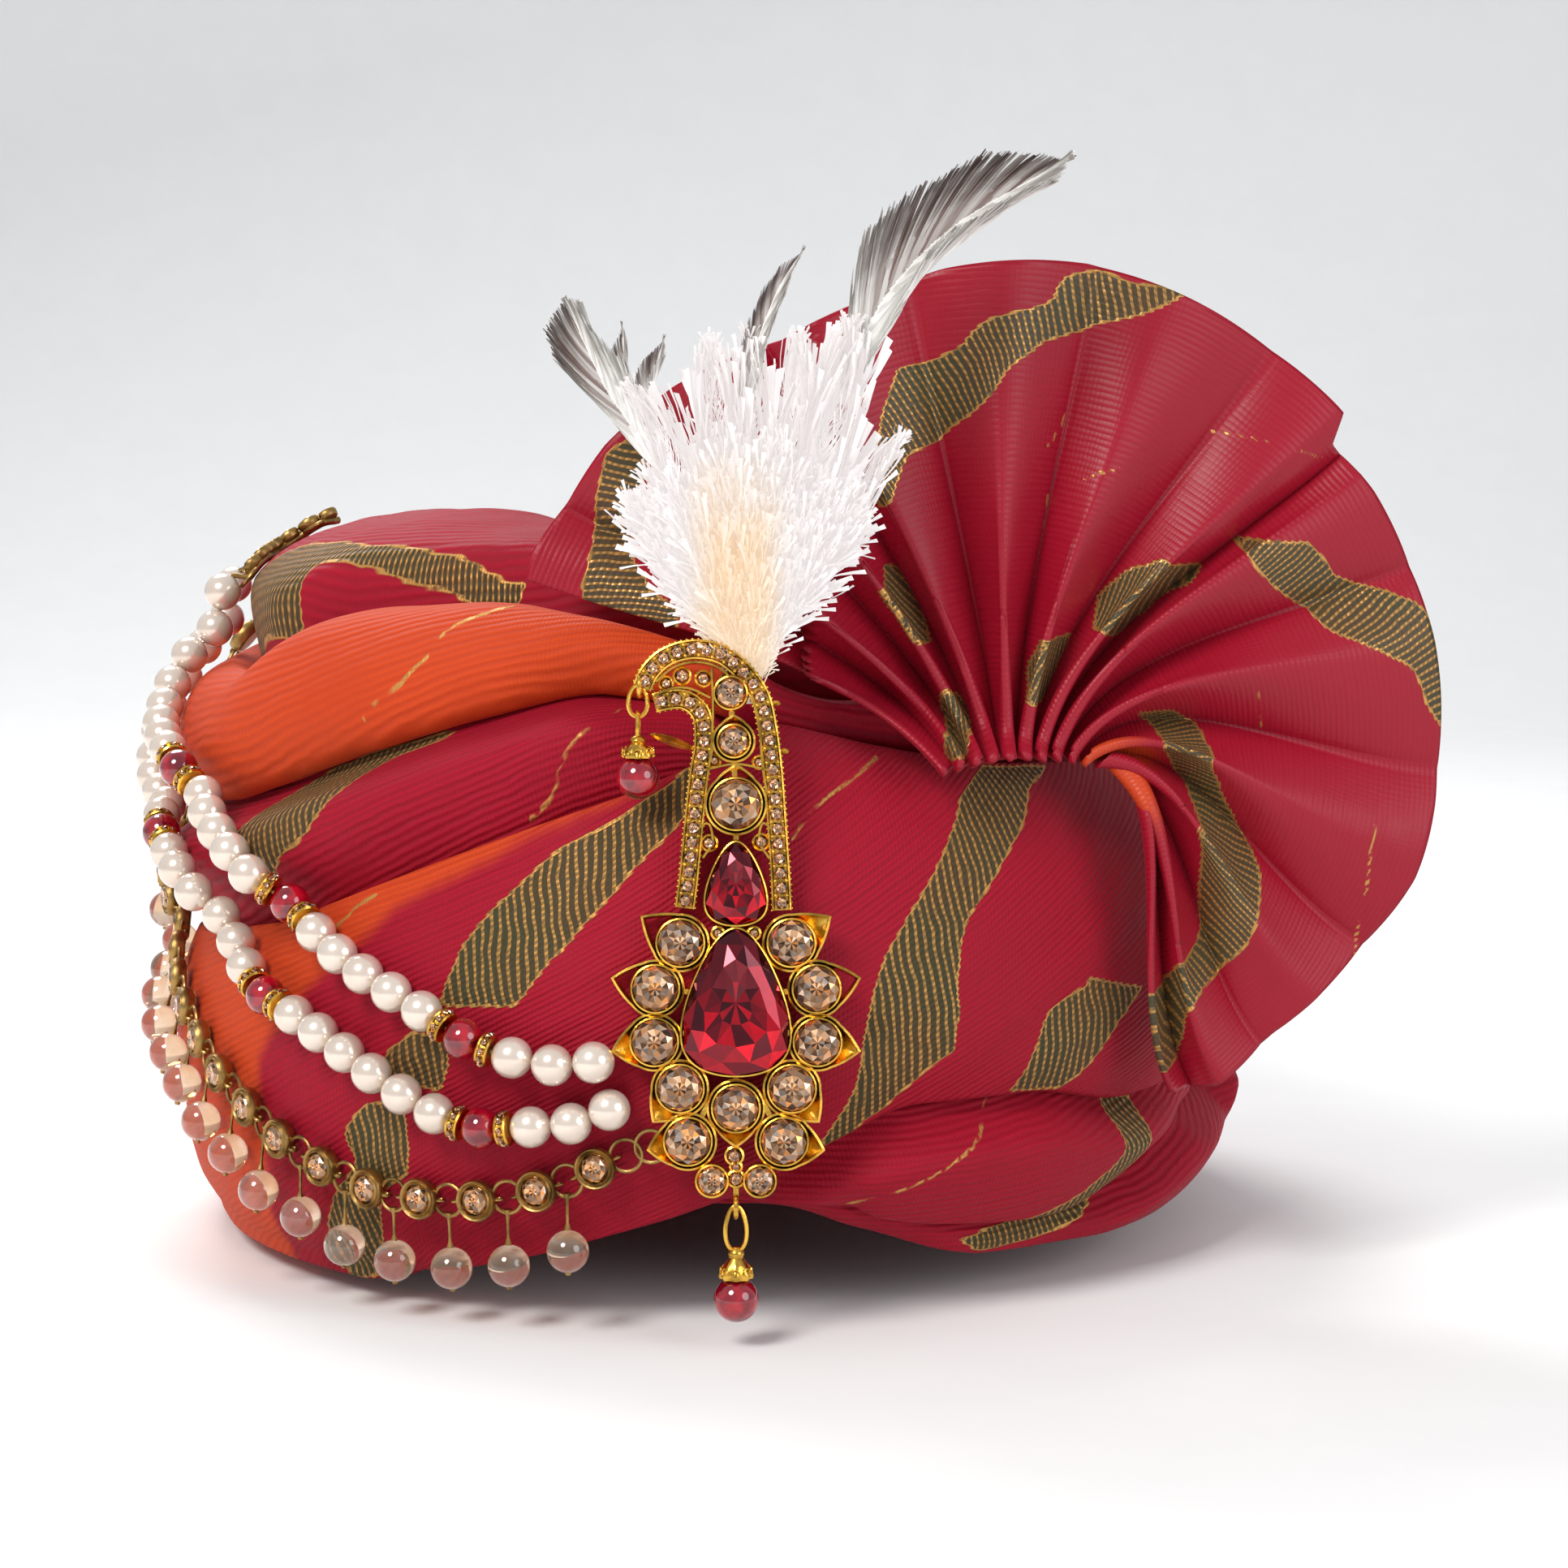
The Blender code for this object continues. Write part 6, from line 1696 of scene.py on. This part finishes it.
pearl = Finish("glass_pearl", Roughness=0.22, Coat_Weight=0.8, Coat_Roughness=0.05, IOR=1.6, Metallic=0.45)
pearl.set(Base_Color=pearl.mix(pearl.noise(160.0, 2.0), (0.72, 0.58, 0.48), (0.82, 0.73, 0.64)),
          Normal=pearl.bump(pearl.noise(700.0, 2.0), 0.00006, 0.4))
SPHERE = [(-math.cos(t), math.sin(t)) for t in np.linspace(0.10, math.pi - 0.10, 15)]
RONDELLE = [(-0.0012, 0.0008), (-0.0012, 0.0030), (-0.0009, 0.0033), (-0.0006, 0.0031), (-0.0005, 0.0027),
            (0.0005, 0.0027), (0.0006, 0.0031), (0.0009, 0.0033), (0.0012, 0.0030), (0.0012, 0.0008)]
CHIPS, CHIP_OUT, CHIP_RADIUS = 10, 0.0026, 0.00078
THREAD_RADIUS = 0.00045
string_ends = []
LENGTHS = {"p": PEARL, "o": 0.0026, "r": 0.0076}


def string_of_beads(name, node, route, groups):
    """Pearls in groups between red beads, stretched a little to fill the string."""
    path, normals = laid_route(route, PEARL / 2 + 0.0002, 180)
    order = "oro".join("p" * count for count in groups)
    stretch = walked(path)[-1] / sum(LENGTHS[kind] for kind in order)
    spots, start = [], 0.0
    for kind in order:
        spots.append(start + LENGTHS[kind] * stretch / 2)
        start += LENGTHS[kind] * stretch
    rows = {kind: [] for kind in "por"}
    for kind, (point, axes) in zip(order, spaced(path, normals, spots)):
        rows[kind].append((point, tuple(axes.to_euler()), 1.0))
    kinds = (
        ("p", "", [(x * PEARL / 2, r * PEARL / 2) for x, r in SPHERE], pearl.material, "pearl", [node]),
        ("r", "_reds", [(x * 0.0038, r * 0.0040) for x, r in SPHERE], ruby_bead.material, "red_bead", []),
        ("o", "_rondelles", RONDELLE, gold, "gold", []),
    )
    for kind, end, profile, material, slot, nodes in kinds:
        mesh = repeated(name + end, rows[kind], turned_x("bead", profile, 24, material), material)
        piece(name + end, mesh, slot, *nodes)
    chips = []
    for point, turn, _ in rows["o"]:
        axes = Euler(turn).to_matrix()
        for k in range(CHIPS):
            spin = axes @ Matrix.Rotation(math.tau * k / CHIPS, 3, "X")
            chips.append((point + spin @ Vector((0, 0, CHIP_OUT)), tuple(spin.to_euler()), CHIP_RADIUS))
    mesh = repeated(name + "_chips", chips, small_stone("chip", 12), champagne)
    piece(name + "_chips", mesh, "champagne_stone")
    thread = Heap()
    wire(thread, path[::3], THREAD_RADIUS, 6)
    piece(name + "_thread", thread.mesh(name + "_thread", pearl.material), "pearl")
    string_ends.append(path[-1])


string_of_beads("pearls_upper", "pearl_strand_upper", UPPER_ROUTE, (3, 5, 5, 8))
string_of_beads("pearls_lower", "pearl_strand_lower", LOWER_ROUTE, (3, 6, 6, 11))


# The chain of cupped stones
# Brass cups with a champagne stone each, joined by rings; every ring but the first and the
# last three carries a clear amber glass bead on a headed wire. The chain hangs below the
# pearls from the same hook.

CHAIN_ROUTE = [
    (-7.2, 0.250), (-9, 0.238), (-14, 0.200), (-20, 0.172), (-27, 0.161), (-34, 0.164), (-41, 0.194),
    (-48, 0.236), (-55.5, 0.292), (-66, 0.372), (-80, 0.456), (-93, 0.530), (-99, 0.600), (-102, 0.680),
    (-104, 0.760), (-104, 0.840), (-104, 0.900), (-102, 0.960), (-101, 0.985),
]
CUP_PITCH = 0.0123
CUP_RADIUS = 0.0028
RING_RADIUS, RING_WIRE = 0.0031, 0.00038
RING_STEP = 0.0052
GLASS_RADIUS = 0.0041
WIRE_LENGTH = 0.0105
WIRE_START = 0.0026
old_gold = gilt("aged_brass", (0.42, 0.26, 0.085), 0.30)
amber = Finish("clear_amber_glass", Roughness=0.02, Transmission_Weight=0.92, IOR=1.46, Coat_Weight=1.0)
amber.set(Base_Color=amber.mix(amber.step(amber.noise(190.0, 2.0), 0.40, 0.60), (0.80, 0.50, 0.29),
                               (0.90, 0.72, 0.57)))
chain_path, chain_normals = laid_route(CHAIN_ROUTE, 0.0020, 200)
chain_length = walked(chain_path)[-1]
cup_count = int(chain_length / CUP_PITCH)
pitch = chain_length / cup_count
cup_rows = spaced(chain_path, chain_normals, [pitch * (i + 0.5) for i in range(cup_count)])
ring_rows = spaced(chain_path, chain_normals, [pitch * i for i in range(cup_count + 1)])


def cup_prototype():
    """A cup with a stone's seat, a ridged rim and a loop at each side."""
    heap = Heap()
    outline = round_outline(CUP_RADIUS, 28)
    bezel(heap, (0, 0), outline, [(0.0002, -0.0012), (0.0009, -0.0010), (0.0012, 0.0), (0.0013, 0.0010),
                                  (0.0010, 0.0016), (0.0006, 0.0014), (0.0003, 0.0019), (0.0, 0.0016),
                                  (-0.0001, 0.0002)])
    floor_rows = ((-0.0001, 0.0003), (0.0004, -0.0013))
    heap.bridge([[(x, y, high) for x, y in outline(grow)] for grow, high in floor_rows], False)
    for side in (-1, 1):
        wire(heap, circle((side * 0.0046, 0, 0), 0.0008, (1, 0, 0), (0, 0, 1), 14), 0.00032, 6, True)
    return add_object("cup", heap.mesh("cup", old_gold))


def cup_stone():
    return small_stone("cup_stone", 14, CUP_RADIUS, 10, 0.0004, 0.0019)


rng = np.random.default_rng(15)
sits = [(point, tuple(axes.to_euler()), 1.0) for point, axes in cup_rows]
piece("chain_cups", repeated("chain_cups", sits, cup_prototype(), old_gold), "gold", "kundan_chain")
spins = [(point, tuple((axes @ Matrix.Rotation(rng.uniform(0, 3), 3, "Z")).to_euler()), 1.0)
         for point, axes in cup_rows]
piece("chain_stones", repeated("chain_stones", spins, cup_stone(), champagne), "champagne_stone")
links, glass = Heap(), Heap()
for number, (point, axes) in enumerate(ring_rows):
    ring = circle(point, RING_RADIUS, axes.col[0], axes.col[1], 22)
    wire(links, ring, RING_WIRE, 7, True)
    if number == 0:
        wire(links, ring - RING_STEP * np.array(axes.col[0]), RING_WIRE, 7, True)
    if number == 0 or number > cup_count - 3:
        continue
    hang = np.array(point) - np.array([0, 0, WIRE_START])
    out = np.array(axes.col[2]) * np.array([1, 1, 0])
    out = out / np.linalg.norm(out)
    spot_angle = math.degrees(math.atan2(point.x / HALF_WIDTH, -point.y / HALF_LENGTH))
    down = WIRE_LENGTH + 0.0006 * rng.uniform(-1, 1)
    test = np.array([[spot_angle]])
    climb = np.interp(point.z - down, cap_surface(0.0, CLIMBS)[0][:, 2], CLIMBS)
    if point.z - down < RIM_HEIGHT:
        climb = point.z - down - RIM_HEIGHT
    surface = lifted(test, np.array([[climb]]), cloth_top(test, np.array([[max(climb, 0.001)]])))[0, 0]
    centre = hang - np.array([0, 0, down])
    gap = (surface - centre) @ out + 0.0043
    centre = centre + out * np.clip(gap, -0.004, 0.008) * np.array([1, 1, 0])
    tilt = centre - hang
    wire(links, [hang + tilt * t for t in (-0.02, 0.1, 0.2, 0.4, 0.5, 0.62)],
         [0.0009, 0.0004, 0.0003, 0.0003, 0.0003, 0.0007], 7)
    straight = tilt / np.linalg.norm(tilt)
    wire(links, [centre + straight * 0.0039, centre + straight * 0.0046], [0.0007, 0.0005], 7)
    lathe(glass, centre, bead_rows(GLASS_RADIUS, 14), 24)
piece("chain_links", links.mesh("chain_links", old_gold), "gold")
piece("chain_dangles", glass.mesh("chain_dangles", amber.material), "champagne_stone")
HOOK_ROUTE = [
    (-85, 0.925), (-87, 0.940), (-90, 0.950), (-94, 0.955), (-97, 0.975), (-98, 1.005), (-101, 1.015),
]
HOOK_WIRE = 0.0009
hook_path, hook_normals = laid_route(HOOK_ROUTE, HOOK_WIRE, 40)
hook = Heap()
wire(hook, hook_path, HOOK_WIRE, 10)
studs = spaced(hook_path, hook_normals, np.arange(0.0035, walked(hook_path)[-1], 0.0052))
studs = [(point + axes.col[2] * 0.0012, tuple(axes.to_euler()), 0.62) for point, axes in studs]
piece("hook_studs", repeated("hook_studs", studs, cup_prototype(), old_gold), "gold")
piece("hook_stones", repeated("hook_stones", studs, cup_stone(), champagne), "champagne_stone")
for end in string_ends:
    near = hook_path[np.argmin(np.linalg.norm(hook_path - end, axis=1))]
    wire(hook, curve_through([end, (end + near) / 2, near], 8), 0.00055, 8)
for point, axes in spaced(hook_path, hook_normals, [0.0, 0.03]):
    wire(hook, circle(point, 0.0024, axes.col[0], axes.col[1], 20), 0.0005, 8, True)
piece("hook_wire", hook.mesh("hook_wire", old_gold), "gold", "strand_hook")


# The plume
# White down and a few longer cock feathers, bound to one stem and pushed in behind the
# brooch's head. Every feather is a shaft with soft barbs on both sides.

PLUME_ROOT = BROOCH @ Vector((0.0022, 0.0560, -0.0023))
ROOT_ACROSS, ROOT_DOWN = 923, 872
PLUME_PIXEL = 0.000151
# Cock feathers: shaft in picture pixels, half width in metres, where the vane starts
FEATHERS = [
    ([(930, 872), (985, 680), (1045, 480), (1092, 372), (1175, 285), (1281, 220)], 0.0092, 0.50),
    ([(926, 872), (915, 640), (925, 470), (955, 372), (984, 322)], 0.0036, 0.60),
    ([(918, 872), (868, 700), (800, 560), (748, 480), (712, 404)], 0.0070, 0.60),
    ([(919, 872), (876, 700), (812, 560), (775, 480), (768, 414)], 0.0032, 0.66),
    ([(920, 872), (880, 700), (820, 560), (800, 500), (816, 430)], 0.0030, 0.70),
]
# White feathers, broader and softer, that reach over the fan
SOFT_FEATHERS = [
    ([(930, 872), (975, 700), (1015, 560), (1042, 440)], 0.0115, 0.34),
    ([(932, 872), (990, 740), (1040, 640), (1098, 560)], 0.0080, 0.30),
    ([(926, 872), (945, 700), (975, 560), (985, 450)], 0.0100, 0.34),
    ([(918, 872), (880, 700), (835, 580), (790, 500)], 0.0090, 0.34),
    ([(922, 872), (905, 700), (890, 560), (880, 455)], 0.0100, 0.34),
    ([(924, 872), (925, 700), (930, 560), (925, 440)], 0.0090, 0.34),
]


def plume_spot(across, down, depth):
    """A place of the plume from a place of the picture frame."""
    place = [(across - ROOT_ACROSS) * PLUME_PIXEL, depth, (ROOT_DOWN - down) * PLUME_PIXEL]
    return np.array(PLUME_ROOT) + np.array(place)


def barb(name, width, curl, blunt):
    """One barb, a unit long: a ribbon in the vane's plane that narrows to its tip."""
    points, faces = [], []
    for share in np.linspace(0, 1, 6):
        half = width * (1 - share) ** blunt / 2 + 0.0004
        bend = curl * share ** 2
        points += [(bend - half, 0.0, share), (bend + half, 0.10 * share ** 2, share)]
    for i in range(5):
        faces.append((2 * i, 2 * i + 1, 2 * i + 3, 2 * i + 2))
    mesh = bpy.data.meshes.new(name)
    mesh.from_pydata(points, [], faces)
    mesh.shade_smooth()
    return add_object(name, mesh)


DARK_SIDE = -1


def shafted(rows, shafts, line, face, count, reach, spread, rng, rough, base=0.12):
    """The barbs of one feather: rows of place, turn, length and greyness along its shaft."""
    path = curve_through(line, count)
    along = headings(path)
    thick = 0.00030 if rough < 0.3 else 0.00016
    shown = path[::4] if rough < 0.3 else path[:int(count * 0.6):4]
    wire(shafts, shown, np.linspace(thick, 0.00006, len(shown)), 5)
    for k in range(count):
        share = k / (count - 1)
        if share < base:
            continue
        forward = Vector(along[k])
        side = forward.cross(face).normalized()
        for hand in (-1, 1):
            narrowing = (1.1 - 0.55 * share) * min(1.0, (1.02 - share) * 9)
            open_angle = math.radians(spread * narrowing + rng.normal(0, rough * 10))
            heading = forward * math.cos(open_angle) + side * hand * math.sin(open_angle)
            heading = (heading + face * rng.normal(0, rough * 0.25)).normalized()
            length = reach((share - base) / (1 - base)) * rng.uniform(1 - 0.4 * rough, 1.0 + 0.1 * rough)
            inward = (forward - heading * forward.dot(heading)).normalized()
            axes = Matrix((inward, heading.cross(inward), heading)).transposed()
            if rough > 0.3:
                axes = axes @ Matrix.Rotation(rng.normal(0, 0.8 * rough), 3, "Z")
            barred = 0.22 * math.sin(k * 0.31 + 2 * math.sin(k * 0.043))
            grey = (0.78 if hand == DARK_SIDE else 0.30) + barred
            grey = grey * smooth_step((share - base) * 5) + rng.normal(0, 0.07)
            rows.append((Vector(path[k]), tuple(axes.to_euler()), max(length, 0.0008), grey))


def full_vane(half, spread):
    """How long a vane's barbs are along it: quick to its full width, then slowly to the tip."""
    return lambda share: (half / math.sin(math.radians(spread * 0.8))
                          * min(1.0, 4.0 * share + 0.35) * (1 - max(0.0, share - 0.55) / 0.45 * 0.65))


DOWN_FEATHERS = 64
rng = np.random.default_rng(21)
down_rows, vane_rows, down_shafts, vane_shafts = [], [], Heap(), Heap()
for number in range(DOWN_FEATHERS):
    share = (number * 0.618) % 1.0
    tip_across = -128 + 256 * share + rng.normal(0, 9)
    height = (322 - 0.0040 * tip_across ** 2) * rng.uniform(0.62, 1.0)
    depth = rng.uniform(-0.0050, 0.0030)
    line = [plume_spot(ROOT_ACROSS + tip_across * bow, ROOT_DOWN - height * rise,
                       depth * math.sin(math.pi * rise * 0.6))
            for bow, rise in ((0.06, 0.0), (0.22, 0.33), (0.58, 0.68), (1.0, 1.0))]
    face = Vector((rng.normal(0, 0.30), -1, rng.normal(0, 0.25))).normalized()
    shafted(down_rows, down_shafts, line, face, 116,
            lambda s: 0.0012 + 0.0098 * math.sin(math.pi * (0.05 + 0.76 * s)) ** 0.9, 36, rng, 1.0)
for number, (line, half, start) in enumerate(SOFT_FEATHERS):
    spots = [plume_spot(x, y, (-0.0030 + 0.0008 * number) * k / len(line)) for k, (x, y) in enumerate(line)]
    face = Vector((rng.normal(0, 0.15), -1, rng.normal(0, 0.1))).normalized()
    shafted(down_rows, down_shafts, spots, face, 190, full_vane(half, 38), 38, rng, 0.45, start)
for number, (line, half, start) in enumerate(FEATHERS):
    spots = [plume_spot(x, y, (-0.0010 + 0.0008 * number) * k / len(line)) for k, (x, y) in enumerate(line)]
    face = Vector((rng.normal(0, 0.10), -1, rng.normal(0, 0.1))).normalized()
    shafted(vane_rows, vane_shafts, spots, face, 420, full_vane(half, 30), 30, rng, 0.10, start)
# Painted light: the down glows with its own colour, which lifts its shaded barbs.
down = Finish("white_down", Roughness=0.9, Emission_Strength=0.60)
off_middle = down.part(down.place(), "X") - float(PLUME_ROOT.x) + 0.002
off_middle = down.node("ShaderNodeMath", {"operation": "ABSOLUTE"}, {0: off_middle})
# Browner low down and along the middle, paler at the top and towards the sides.
paler_up_and_out = down.step(down.part(down.place(), "Z") + (down.noise(70.0) - 0.5) * 0.02, 0.022, 0.044)
paler_up_and_out = 1 - (1 - paler_up_and_out) * (1 - down.step(off_middle + (down.noise(90.0) - 0.5) * 0.006, 0.003, 0.011))
down_tone_and_glow = down.mix(paler_up_and_out, (0.60, 0.50, 0.385), (0.565, 0.54, 0.535))
down.set(Base_Color=down_tone_and_glow, Emission_Color=down_tone_and_glow)
# Painted light: the cock feathers glow faintly with their own colour.
vane = Finish("cock_feather", Roughness=0.5, Emission_Strength=0.10)
greyed = vane.step(vane.part(vane.place(), "Z") + (vane.noise(60.0) - 0.5) * 0.03, 0.014, 0.034)
greyed = greyed * vane.read("tint")
feather_tone_and_glow = vane.mix(greyed, (0.80, 0.79, 0.76), (0.17, 0.115, 0.10))
vane.set(Base_Color=feather_tone_and_glow, Emission_Color=feather_tone_and_glow)
down_mesh = repeated("plume_down", down_rows, barb("down_barb", 0.013, 0.42, 1.1), down.material)
piece("plume_down", down_mesh, "feather", "plume")
vane_mesh = repeated("plume_feathers", vane_rows, barb("vane_barb", 0.045, 0.12, 0.6), vane.material)
piece("plume_feathers", vane_mesh, "feather")
for name, heap, material in (("down_shafts", down_shafts, down.material),
                             ("feather_shafts", vane_shafts, vane.material)):
    piece(name, heap.mesh(name, material), "feather")
